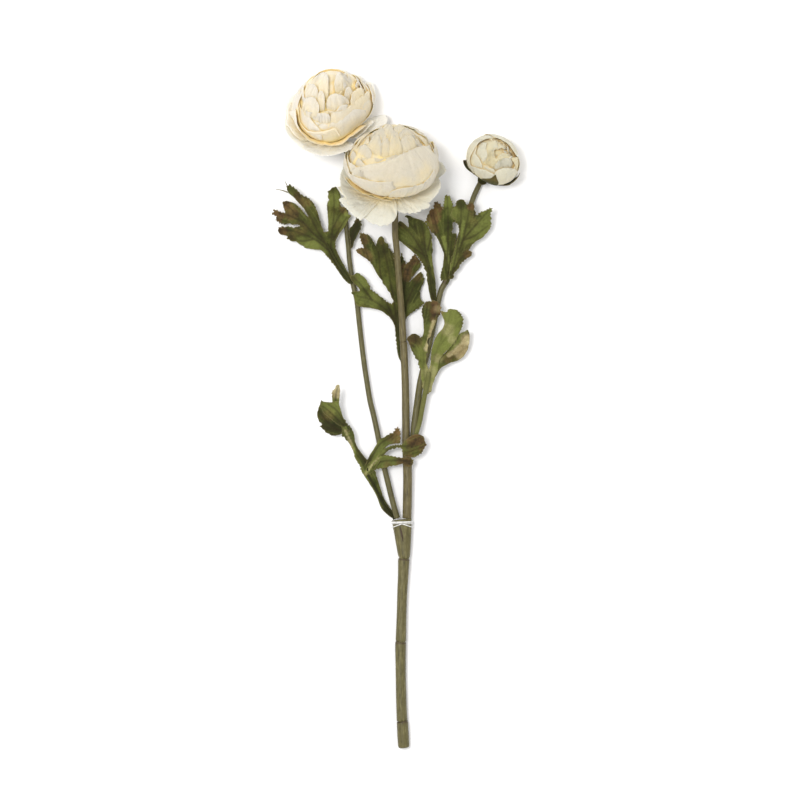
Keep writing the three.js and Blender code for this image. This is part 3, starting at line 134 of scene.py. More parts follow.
LEAVES = {
    'leaf_upper_left': {
        'sheets': [{"name": "blade", "outline": [[-36.65, 104.83], [-39.11, 106.06], [-41.56, 108.09], [-44.41, 111.93], [-47.44, 116.26], [-50.12, 120.32], [-53.38, 124.14], [-56.24, 127.65], [-59.09, 131.07], [-61.55, 132.56], [-65.69, 132.97], [-70.19, 133.64], [-74.28, 134.45], [-75.26, 135.92], [-78.14, 136.93], [-80.03, 138.75], [-82.49, 139.66], [-84.94, 139.65], [-86.57, 141.11], [-89.19, 141.85], [-87.95, 143.72], [-91.1, 144.75], [-93.57, 145.43], [-95.38, 147.24], [-96.2, 149.12], [-94.8, 151.16], [-91.92, 151.95], [-86.09, 151.55], [-81.13, 151.21], [-77.83, 152.15], [-81.1, 153.37], [-87.73, 153.77], [-92.71, 154.13], [-95.16, 154.94], [-97.98, 157.0], [-96.9, 159.18], [-98.78, 160.98], [-101.39, 161.8], [-99.6, 163.51], [-99.18, 165.96], [-95.91, 164.89], [-93.44, 163.64], [-90.31, 162.78], [-90.54, 165.21], [-91.59, 168.05], [-91.92, 170.5], [-92.32, 171.72], [-88.89, 172.62], [-85.21, 171.88], [-81.11, 169.81], [-77.83, 166.75], [-74.54, 163.04], [-70.85, 159.16], [-72.49, 162.61], [-75.37, 167.13], [-77.83, 169.85], [-81.1, 173.29], [-83.92, 176.25], [-86.32, 178.03], [-87.91, 180.39], [-88.47, 183.63], [-86.83, 185.26], [-85.04, 185.01], [-82.6, 183.47], [-79.77, 181.0], [-76.96, 177.92], [-74.53, 176.57], [-71.68, 175.68], [-69.23, 173.23], [-66.21, 170.13], [-64.74, 166.7], [-63.11, 162.21], [-61.49, 156.93], [-59.88, 151.67], [-58.26, 147.77], [-56.62, 146.96], [-55.15, 148.41], [-54.81, 153.7], [-55.14, 159.41], [-55.62, 165.1], [-55.85, 169.16], [-55.52, 171.58], [-54.28, 172.95], [-54.92, 175.6], [-54.58, 178.01], [-55.31, 180.29], [-53.27, 181.01], [-52.21, 182.72], [-50.01, 183.7], [-47.97, 183.53], [-46.75, 181.66], [-45.77, 180.04], [-44.48, 177.21], [-44.74, 174.02], [-45.01, 170.83], [-43.96, 168.19], [-42.33, 167.63], [-40.7, 166.57], [-39.48, 164.37], [-38.01, 161.68], [-35.8, 160.7], [-37.03, 158.9], [-38.25, 157.44], [-39.48, 155.01], [-40.96, 152.17], [-43.17, 149.31], [-45.2, 146.43], [-47.24, 143.15], [-48.47, 139.88], [-48.8, 135.81], [-47.82, 131.74], [-45.78, 127.25], [-43.59, 123.19], [-41.14, 118.71], [-38.28, 114.05], [-35.43, 110.14], [-33.79, 106.87]], "marks": [[-35.43, 106.47, 7.19], [-43.6, 115.44, 7.59], [-50.93, 126.84, 8.59], [-56.63, 135.79, 9.39], [-69.62, 158.51, 11.99], [-85.85, 183.63, 14.49], [-77.82, 155.31, 10.79], [-100.01, 162.86, 7.49], [-77.91, 144.84, 8.19], [-95.22, 148.31, 4.59], [-82.09, 139.25, 5.59], [-69.78, 134.29, 6.59], [-50.07, 152.88, 10.49], [-50.01, 182.07, 13.49], [-39.48, 162.74, 9.49], [-42.76, 150.54, 8.59], [-88.49, 170.91, 9.49], [-65.56, 166.7, 11.49]], "veins": [[[-35.43, 106.47], [-45.23, 117.89], [-52.57, 128.47], [-56.63, 137.42], [-63.16, 147.22], [-68.81, 158.51], [-75.37, 168.36], [-84.23, 180.39]], [[-56.63, 137.42], [-66.45, 145.62], [-77.82, 157.76], [-86.03, 166.82], [-90.94, 170.5]], [[-75.37, 155.31], [-86.04, 160.29], [-95.91, 162.85]], [[-55.0, 132.53], [-64.84, 140.76], [-77.91, 146.47], [-87.78, 149.02], [-94.4, 149.12]], [[-66.48, 141.59], [-75.49, 139.98], [-84.53, 141.69]], [[-48.48, 122.76], [-52.55, 134.16], [-51.72, 145.57], [-50.08, 161.07], [-50.04, 173.18], [-50.82, 182.07]], [[-51.71, 148.81], [-46.82, 158.63], [-41.93, 165.19]], [[-50.92, 140.69], [-45.21, 150.52], [-39.48, 159.47]]], "shift": 0.0}],
        'petiole': [[-35.43, 105.16, 6.99, 1.1], [-40.74, 112.59, 7.29, 1.15], [-47.26, 121.96, 8.09, 1.1], [-52.96, 132.53, 9.19, 0.9], [-56.21, 138.22, 9.79, 0.6]],
        'tint': {
            'brown': [[-91.76, 168.46, 7.38, 0.85], [-96.73, 162.04, 7.38, 0.95], [-85.21, 163.55, 7.38, 0.6], [-93.58, 148.3, 6.56, 0.8], [-86.14, 144.11, 4.92, 0.4], [-96.77, 156.36, 5.74, 0.9], [-77.81, 174.87, 6.56, 0.55], [-72.91, 171.61, 4.92, 0.5], [-42.74, 166.0, 4.1, 0.55], [-46.82, 152.91, 4.1, 0.3], [-77.86, 150.48, 6.56, 0.35]],
            'light': [[-50.85, 173.17, 7.38, 0.6], [-51.71, 156.97, 6.56, 0.45], [-43.57, 155.4, 7.38, 0.5], [-39.48, 161.92, 3.28, 0.8], [-68.15, 135.92, 8.2, 0.65], [-59.91, 131.72, 4.92, 0.4], [-76.32, 139.18, 4.92, 0.4], [-85.91, 178.03, 4.1, 0.3]],
            'dark': [[-85.85, 183.63, 4.92, 0.45], [-68.07, 147.24, 5.74, 0.3], [-49.3, 122.76, 8.2, 0.45], [-41.96, 112.17, 6.56, 0.6], [-63.12, 155.29, 4.92, 0.3]],
            'tan': [],
        },
    },
    'leaf_centre': {
        'sheets': [{"name": "blade", "outline": [[4.23, 41.9], [2.59, 45.17], [1.36, 50.9], [0.71, 57.44], [0.14, 62.35], [-0.27, 67.26], [-0.68, 70.54], [-1.91, 73.81], [-3.55, 76.25], [-7.63, 80.32], [-13.35, 83.57], [-20.71, 85.21], [-27.24, 85.99], [-31.32, 87.21], [-32.55, 89.25], [-33.77, 92.52], [-34.18, 95.37], [-36.22, 97.99], [-32.54, 98.8], [-29.03, 99.46], [-30.91, 102.72], [-33.36, 104.35], [-35.39, 107.19], [-37.02, 110.05], [-36.62, 111.68], [-33.76, 112.42], [-31.31, 114.06], [-28.05, 112.28], [-23.96, 108.85], [-21.92, 105.17], [-19.88, 100.69], [-15.81, 97.47], [-10.08, 93.4], [-6.0, 90.13], [-2.32, 89.09], [-3.14, 93.82], [-6.82, 101.59], [-10.9, 107.3], [-14.99, 113.01], [-19.08, 120.4], [-23.17, 124.88], [-28.07, 128.15], [-31.35, 130.77], [-32.16, 132.81], [-28.89, 134.12], [-25.62, 134.51], [-27.65, 137.5], [-28.46, 140.73], [-29.28, 144.0], [-28.05, 146.86], [-25.6, 145.96], [-23.15, 145.64], [-20.29, 143.21], [-18.25, 139.96], [-15.97, 136.54], [-14.58, 140.78], [-12.12, 143.81], [-10.08, 143.24], [-8.45, 139.15], [-5.99, 137.52], [-5.18, 134.28], [-2.32, 131.45], [-1.09, 127.78], [-0.27, 122.87], [0.95, 112.26], [2.59, 101.63], [3.24, 112.27], [3.82, 122.89], [4.64, 131.08], [6.68, 126.19], [9.14, 121.69], [12.0, 124.99], [15.69, 129.08], [18.55, 126.23], [21.01, 121.35], [19.79, 117.66], [15.28, 112.33], [11.18, 106.56], [15.69, 110.7], [20.44, 114.81], [22.66, 111.54], [23.64, 107.44], [20.84, 100.85], [20.6, 94.29], [21.42, 91.43], [23.71, 89.39], [20.19, 85.7], [16.09, 82.82], [11.18, 79.54], [8.73, 75.44], [7.5, 68.9], [6.68, 60.72], [6.11, 50.9], [5.45, 41.9]], "marks": [[4.64, 44.35, 5.19], [2.18, 67.27, 5.19], [2.18, 81.99, 5.39], [-12.54, 88.48, 7.19], [-31.32, 91.7, 8.69], [-34.57, 110.46, 9.59], [-35.4, 97.41, 8.89], [-23.96, 103.95, 8.99], [-16.62, 86.84, 7.19], [-8.45, 98.32, 6.39], [-16.63, 122.85, 6.39], [-27.23, 142.37, 8.59], [-30.53, 132.65, 6.79], [-10.9, 140.78, 7.59], [-1.91, 122.87, 5.99], [6.27, 104.09, 4.99], [10.36, 118.01, 4.99], [15.28, 127.85, 4.39], [21.01, 121.35, 3.39], [21.02, 111.54, 2.99], [23.46, 89.39, 4.19], [13.64, 91.83, 4.79]], "veins": [[[5.45, 42.72], [2.18, 67.27], [-4.36, 83.61], [-11.72, 99.95], [-19.08, 116.29], [-23.98, 132.63], [-27.24, 144.82]], [[-9.27, 95.04], [-12.54, 116.31], [-13.36, 128.57], [-15.8, 135.89]], [[1.36, 75.44], [-2.73, 99.96], [-6.82, 122.87], [-10.9, 140.78]], [[0.54, 73.81], [-8.45, 84.4], [-19.08, 91.75], [-31.32, 94.97]], [[-19.08, 91.75], [-28.05, 103.95], [-34.57, 110.46]], [[3.82, 77.08], [7.09, 100.0], [10.36, 116.37], [15.28, 127.04]], [[4.64, 73.81], [10.36, 91.82], [16.1, 104.12], [21.84, 112.36]], [[5.45, 67.26], [12.0, 79.54], [21.01, 88.57]]], "shift": 0.0}],
        'petiole': [[5.94, 37.79, 7.19, 0.9], [4.8, 43.94, 5.79, 1.0], [3.16, 55.0, 4.79, 1.05], [2.18, 71.37, 4.69, 1.0], [1.77, 83.64, 4.89, 0.7]],
        'tint': {
            'brown': [[-27.24, 142.37, 6.56, 0.65], [-30.53, 133.46, 6.56, 0.85], [-23.99, 126.92, 7.38, 0.6], [-33.77, 109.68, 4.1, 0.3], [-10.9, 140.78, 4.1, 0.3], [15.28, 125.4, 7.38, 0.85], [7.91, 114.73, 8.2, 0.75], [17.74, 110.71, 4.92, 0.5]],
            'light': [[-27.24, 108.87, 8.2, 0.5], [-6.0, 104.05, 7.38, 0.25], [-19.08, 91.76, 7.38, 0.4], [-28.88, 92.54, 6.56, 0.4], [20.19, 89.39, 5.74, 0.5], [13.64, 86.1, 4.92, 0.35]],
            'dark': [[7.09, 118.01, 10.66, 0.85], [10.36, 100.0, 16.4, 0.6], [16.91, 93.46, 7.38, 0.35], [-23.98, 135.88, 9.02, 0.55], [-12.54, 132.64, 8.2, 0.4], [0.54, 67.27, 11.48, 0.5]],
            'tan': [],
        },
    },
    'leaf_right_inner': {
        'sheets': [{"name": "blade", "outline": [[29.55, 91.29], [27.75, 97.42], [26.53, 103.95], [25.22, 112.11], [23.58, 119.04], [20.97, 123.13], [18.52, 126.01], [15.66, 129.29], [9.53, 134.83], [4.22, 139.46], [1.36, 142.33], [0.55, 147.24], [1.36, 153.77], [3.41, 156.18], [7.08, 154.29], [10.76, 151.03], [10.51, 155.32], [9.86, 158.32], [7.73, 159.63], [9.53, 161.02], [13.61, 159.39], [18.51, 157.74], [22.59, 156.41], [23.81, 155.11], [25.85, 152.83], [28.31, 147.98], [30.2, 140.67], [30.44, 132.51], [31.26, 117.82], [32.57, 107.21], [33.47, 99.86], [33.39, 92.51]], "marks": [[31.6, 92.51, 8.79], [29.14, 108.03, 8.99], [26.69, 122.72, 9.39], [23.41, 140.66, 9.99], [11.98, 148.82, 9.99], [2.18, 150.51, 8.99], [23.4, 155.27, 11.49], [8.71, 159.38, 10.99], [15.26, 130.11, 8.59], [29.95, 136.59, 9.59]], "veins": [[[31.6, 90.06], [28.32, 112.11], [23.42, 128.44], [15.25, 142.3], [7.9, 150.47], [3.0, 153.77]], [[25.87, 122.72], [24.23, 136.58], [22.6, 147.17], [20.95, 155.27]], [[23.42, 128.44], [13.62, 135.0], [3.82, 140.69]], [[26.69, 132.51], [29.13, 144.74], [29.12, 161.0]]], "shift": 0.0}],
        'petiole': [[34.22, 86.41, 7.99, 0.9], [32.91, 92.52, 8.49, 1.0], [30.78, 99.88, 8.49, 1.05], [28.33, 116.21, 8.69, 0.9], [25.87, 128.45, 9.19, 0.6]],
        'tint': {
            'brown': [[18.52, 122.73, 4.92, 0.35], [7.08, 153.72, 4.1, 0.3]],
            'light': [[9.53, 142.3, 9.84, 0.25], [28.32, 140.67, 5.74, 0.3], [26.68, 147.17, 2.46, 0.3], [26.68, 144.74, 2.46, 0.3], [26.68, 142.29, 2.46, 0.3], [26.68, 139.85, 2.46, 0.3], [26.68, 137.41, 2.46, 0.3], [26.68, 134.96, 2.46, 0.3], [26.69, 132.51, 2.46, 0.3], [26.93, 130.07, 2.46, 0.3], [27.26, 127.62, 2.46, 0.3], [27.5, 125.17, 2.46, 0.3], [27.75, 122.72, 2.46, 0.3], [28.08, 120.27, 2.46, 0.3]],
            'dark': [[15.25, 153.7, 13.12, 0.35], [30.78, 101.5, 11.48, 0.55], [21.79, 132.53, 6.56, 0.3]],
            'tan': [],
        },
    },
    'leaf_right_tall': {
        'sheets': [{"name": "left", "outline": [[42.7, 108.44], [37.8, 107.62], [36.66, 110.07], [37.64, 114.56], [38.61, 119.44], [39.26, 124.33], [39.67, 129.23], [37.54, 134.92], [35.09, 140.38], [32.55, 144.51], [29.11, 147.52], [26.26, 152.39], [24.21, 155.41], [25.27, 157.69], [27.23, 162.58], [28.69, 165.56], [30.73, 166.11], [31.54, 169.83], [32.76, 172.28], [35.62, 170.4], [38.07, 167.39], [39.13, 165.62], [39.6, 170.61], [40.32, 175.04], [41.71, 177.89], [42.52, 176.91], [44.4, 177.07], [45.38, 173.82], [46.62, 169.83], [48.68, 166.62], [51.13, 161.73], [49.51, 156.05], [46.73, 154.02], [47.07, 149.95], [46.1, 146.72], [47.57, 145.84], [49.86, 145.68], [50.19, 143.09], [49.06, 138.21], [47.92, 130.86], [47.68, 120.75], [47.85, 110.15]], "marks": [[44.66, 111.3, 8.99], [43.02, 125.97, 9.79], [38.92, 136.55, 10.49], [34.01, 152.82, 11.49], [33.17, 170.65, 13.49], [27.48, 158.51, 11.99], [42.52, 175.44, 14.99], [42.98, 156.87, 11.99], [48.68, 163.36, 12.59], [45.47, 136.58, 9.89]], "veins": [[[44.66, 109.66], [42.2, 122.7], [38.11, 136.55], [34.01, 150.37], [30.74, 163.38]], [[42.2, 122.7], [43.01, 140.65], [42.98, 160.94], [42.12, 175.44]], [[43.85, 116.19], [45.46, 132.49], [46.27, 144.71]]], "shift": 0.0}, {"name": "right", "outline": [[43.58, 109.38], [44.39, 117.51], [45.69, 124.92], [47.8, 131.51], [49.09, 137.26], [51.12, 143.77], [51.93, 148.63], [51.09, 152.24], [49.04, 155.45], [46.18, 158.7], [44.96, 162.36], [46.99, 166.02], [48.61, 167.78], [49.09, 170.44], [50.64, 172.63], [53.49, 173.44], [56.18, 172.64], [57.99, 169.67], [59.22, 169.45], [61.09, 171.33], [63.54, 170.11], [64.92, 165.63], [66.09, 160.4], [69.01, 162.73], [73.87, 164.79], [76.72, 166.25], [78.76, 166.09], [78.11, 163.16], [77.8, 159.12], [78.46, 153.58], [77.25, 149.53], [73.99, 145.44], [69.9, 141.76], [65.02, 138.93], [62.19, 135.72], [60.16, 132.08], [61.63, 131.67], [62.78, 130.37], [61.8, 127.59], [57.7, 124.7], [54.02, 121.03], [50.76, 116.54], [47.91, 113.05], [47.59, 109.62]], "marks": [[45.46, 111.25, 10.09], [46.26, 121.02, 10.89], [49.51, 127.5, 11.89], [54.38, 140.5, 12.99], [53.48, 171.24, 16.99], [61.66, 169.7, 15.49], [67.42, 152.71, 13.49], [77.13, 164.78, 15.99], [75.62, 148.71, 11.99], [60.98, 130.04, 9.99], [51.17, 122.66, 10.59], [48.63, 160.74, 15.59]], "veins": [[[46.28, 110.44], [49.51, 127.51], [55.2, 140.5], [58.43, 155.11], [60.85, 168.89]], [[49.51, 127.51], [51.94, 142.13], [53.52, 158.3], [53.49, 170.42]], [[55.2, 140.5], [63.34, 150.26], [69.86, 157.59], [76.32, 164.79]], [[55.2, 140.5], [64.18, 143.77], [75.61, 151.97]], [[47.9, 116.13], [53.61, 125.91], [60.98, 130.86]]], "shift": 0.0}],
        'petiole': [[41.9, 104.46, 8.39, 1.1], [43.53, 108.45, 8.69, 1.1], [45.15, 114.55, 9.29, 1.0], [46.77, 122.69, 9.99, 0.7]],
        'tint': {
            'brown': [[33.17, 166.58, 6.56, 1.0], [31.56, 158.51, 6.56, 0.9], [26.66, 159.32, 4.92, 0.6], [31.56, 149.56, 4.92, 0.6], [61.73, 167.44, 4.1, 0.9], [63.37, 161.74, 3.28, 0.5], [59.34, 129.22, 4.92, 0.6], [64.2, 155.24, 4.1, 0.35]],
            'light': [[42.93, 172.19, 5.74, 0.8], [46.23, 163.37, 6.56, 0.45], [56.03, 160.11, 8.2, 0.35], [70.73, 150.37, 10.66, 0.6], [74.8, 161.76, 6.56, 0.5], [60.96, 143.87, 8.2, 0.3], [39.33, 142.26, 2.13, 0.75], [39.9, 139.98, 2.13, 0.75], [40.56, 137.78, 2.13, 0.75], [41.21, 135.58, 2.13, 0.75], [41.79, 133.3, 2.13, 0.75], [42.36, 130.29, 2.13, 0.75], [42.85, 127.36, 2.13, 0.75], [43.43, 124.33, 2.13, 0.75], [43.75, 121.88, 2.13, 0.75], [44.0, 119.44, 2.13, 0.75], [44.33, 117.01, 2.13, 0.75], [55.62, 155.23, 2.13, 0.7], [55.06, 152.55, 2.13, 0.7], [54.58, 149.8, 2.13, 0.7], [54.01, 147.13, 2.13, 0.7], [53.45, 144.7, 2.13, 0.7], [52.81, 142.27, 2.13, 0.7], [52.16, 139.83, 2.13, 0.7], [51.59, 137.39, 2.13, 0.7], [51.02, 134.94, 2.13, 0.7], [50.36, 132.49, 2.13, 0.7], [49.71, 130.04, 2.13, 0.7], [49.14, 127.6, 2.13, 0.7], [48.65, 125.15, 2.13, 0.7], [48.08, 122.7, 2.13, 0.7], [47.59, 120.26, 2.13, 0.7]],
            'dark': [[53.57, 169.87, 5.74, 0.5], [42.17, 152.8, 5.74, 0.5], [50.36, 140.65, 4.92, 0.55], [57.72, 122.7, 6.56, 0.5], [36.49, 112.11, 4.92, 0.3], [45.47, 128.42, 3.28, 0.4]],
            'tan': [],
        },
    },
    'leaf_lower_right': {
        'sheets': [{"name": "left", "outline": [[24.15, 15.71], [21.45, 23.06], [20.88, 29.59], [20.79, 34.48], [19.16, 37.75], [17.69, 43.05], [14.02, 48.77], [12.14, 53.67], [10.83, 57.32], [9.36, 59.35], [11.16, 62.21], [13.6, 63.84], [16.46, 64.0], [19.31, 62.21], [21.11, 61.23], [23.07, 67.11], [22.74, 75.26], [21.43, 81.79], [22.58, 86.69], [25.02, 90.26], [28.27, 90.55], [32.34, 91.03], [35.61, 89.09], [37.25, 85.43], [36.76, 80.95], [34.81, 76.89], [33.19, 74.05], [31.72, 69.97], [29.52, 64.26], [26.91, 58.55], [26.02, 50.81], [25.37, 45.1], [25.44, 39.38], [28.3, 32.85], [28.96, 22.24], [26.6, 15.71]], "marks": [[25.45, 17.34, 10.19], [24.22, 30.4, 10.99], [22.99, 42.64, 11.39], [16.06, 53.27, 10.59], [11.16, 60.58, 12.59], [18.5, 62.21, 12.59], [23.4, 54.88, 11.79], [24.21, 67.11, 12.19], [28.28, 78.51, 12.99], [23.39, 86.69, 12.39], [31.53, 89.07, 14.59], [36.43, 85.03, 13.39], [31.56, 71.2, 11.79], [26.67, 46.73, 10.79]], "veins": [[[25.05, 17.34], [23.41, 34.48], [23.4, 50.8], [26.66, 67.11], [29.91, 79.33], [31.53, 89.07]], [[23.4, 50.8], [19.32, 57.33], [12.79, 60.58]]], "shift": 0.0}, {"name": "middle", "outline": [[24.96, 15.71], [24.63, 23.06], [26.99, 32.85], [28.69, 41.0], [29.34, 49.14], [31.37, 57.29], [34.61, 63.78], [38.03, 67.85], [39.98, 71.92], [38.99, 76.78], [37.2, 80.45], [37.45, 82.48], [39.64, 82.07], [41.92, 81.66], [42.89, 83.61], [46.15, 84.09], [50.22, 83.28], [53.08, 80.85], [55.11, 76.78], [55.36, 72.71], [54.15, 68.65], [51.88, 63.77], [49.04, 58.08], [44.56, 52.38], [39.68, 47.5], [36.44, 43.44], [35.3, 39.36], [35.06, 35.29], [32.79, 29.58], [30.67, 23.06], [27.82, 15.71]], "marks": [[26.27, 17.34, 10.19], [28.3, 27.95, 11.19], [31.55, 41.0, 12.59], [33.17, 52.4, 13.59], [40.49, 54.82, 14.99], [40.48, 68.67, 15.59], [38.83, 80.04, 16.79], [46.14, 82.46, 17.59], [53.48, 76.78, 16.99], [48.63, 65.41, 15.59], [46.15, 73.51, 17.19]], "veins": [[[26.68, 17.34], [29.12, 32.85], [33.98, 50.77], [40.48, 67.03], [45.33, 81.65]], [[36.42, 54.84], [45.36, 65.4], [52.67, 75.15]], [[37.23, 58.9], [39.66, 71.11], [40.46, 79.22]]], "shift": 0.0}, {"name": "right", "outline": [[29.53, 26.32], [34.43, 41.02], [36.47, 44.69], [41.37, 49.18], [46.24, 54.87], [49.48, 59.75], [52.33, 63.82], [54.76, 65.43], [56.79, 66.07], [58.91, 67.38], [60.22, 64.62], [60.61, 58.14], [59.02, 50.83], [55.27, 45.11], [50.39, 41.86], [43.83, 39.96], [39.74, 37.75], [36.47, 35.3], [34.02, 31.22], [30.75, 25.5]], "marks": [[31.16, 27.14, 10.99], [35.66, 37.75, 10.59], [44.64, 45.92, 10.59], [52.76, 54.05, 12.59], [59.3, 58.96, 11.99], [57.6, 66.23, 14.99], [51.11, 60.56, 13.39], [50.39, 43.49, 8.59], [57.72, 50.83, 9.79]], "veins": [[[30.75, 26.32], [40.56, 42.65], [50.32, 54.05], [57.61, 64.61]], [[40.56, 42.65], [51.19, 47.56], [58.5, 54.89]]], "shift": 0.0}],
        'petiole': [[16.8, -18.17, 10.59, 1.15], [19.66, -8.79, 10.29, 1.15], [21.7, 1.83, 10.09, 1.2], [23.82, 13.26, 10.09, 1.25], [26.18, 24.69, 10.79, 1.2], [27.16, 32.85, 11.39, 0.8]],
        'tint': {
            'brown': [[34.02, 88.36, 5.74, 1.0], [33.2, 81.83, 5.74, 0.95], [31.57, 76.12, 4.1, 0.8], [27.49, 89.18, 4.92, 0.35], [13.61, 61.42, 7.38, 0.4], [18.51, 57.34, 4.92, 0.3], [12.79, 55.71, 3.28, 0.5], [29.94, 66.32, 2.46, 0.6], [43.0, 45.1, 5.74, 0.5], [51.98, 46.73, 6.56, 0.45]],
            'light': [[40.55, 63.06, 18.04, 0.75], [28.3, 27.95, 18.04, 0.8], [26.67, 50.81, 11.48, 0.55], [44.63, 76.93, 10.66, 0.75], [36.47, 50.81, 9.84, 0.7], [24.22, 67.14, 6.56, 0.3]],
            'dark': [[24.22, 84.28, 7.38, 0.55], [25.86, 76.93, 5.74, 0.4], [14.43, 62.24, 6.56, 1.0], [18.51, 58.97, 4.1, 0.7], [39.73, 38.57, 4.1, 0.4]],
            'tan': [[31.57, 73.67, 2.3, 0.75], [30.75, 70.98, 2.3, 0.75], [29.94, 68.2, 2.3, 0.75], [29.12, 65.51, 2.3, 0.75], [28.47, 62.81, 2.3, 0.75], [27.73, 60.04, 2.3, 0.75], [27.08, 57.34, 2.3, 0.75], [26.1, 54.65, 2.3, 0.75], [25.2, 51.87, 2.3, 0.75], [43.81, 46.73, 2.13, 0.9], [45.69, 48.12, 2.13, 0.9], [47.65, 49.42, 2.13, 0.9], [49.53, 50.81, 2.13, 0.9], [51.41, 52.69, 2.13, 0.9], [53.37, 54.65, 2.13, 0.9], [55.24, 56.53, 2.13, 0.9], [56.31, 58.98, 2.13, 0.9], [57.45, 61.42, 2.13, 0.9], [58.51, 58.98, 6.56, 0.95], [54.43, 49.18, 7.38, 0.9], [34.84, 84.28, 4.1, 0.22], [46.26, 58.97, 4.1, 0.3], [42.18, 67.14, 6.56, 0.28], [27.49, 32.85, 7.38, 0.3], [26.68, 21.43, 6.56, 0.35], [34.83, 44.28, 4.92, 0.3]],
        },
    },
    'leaf_lower_left': {
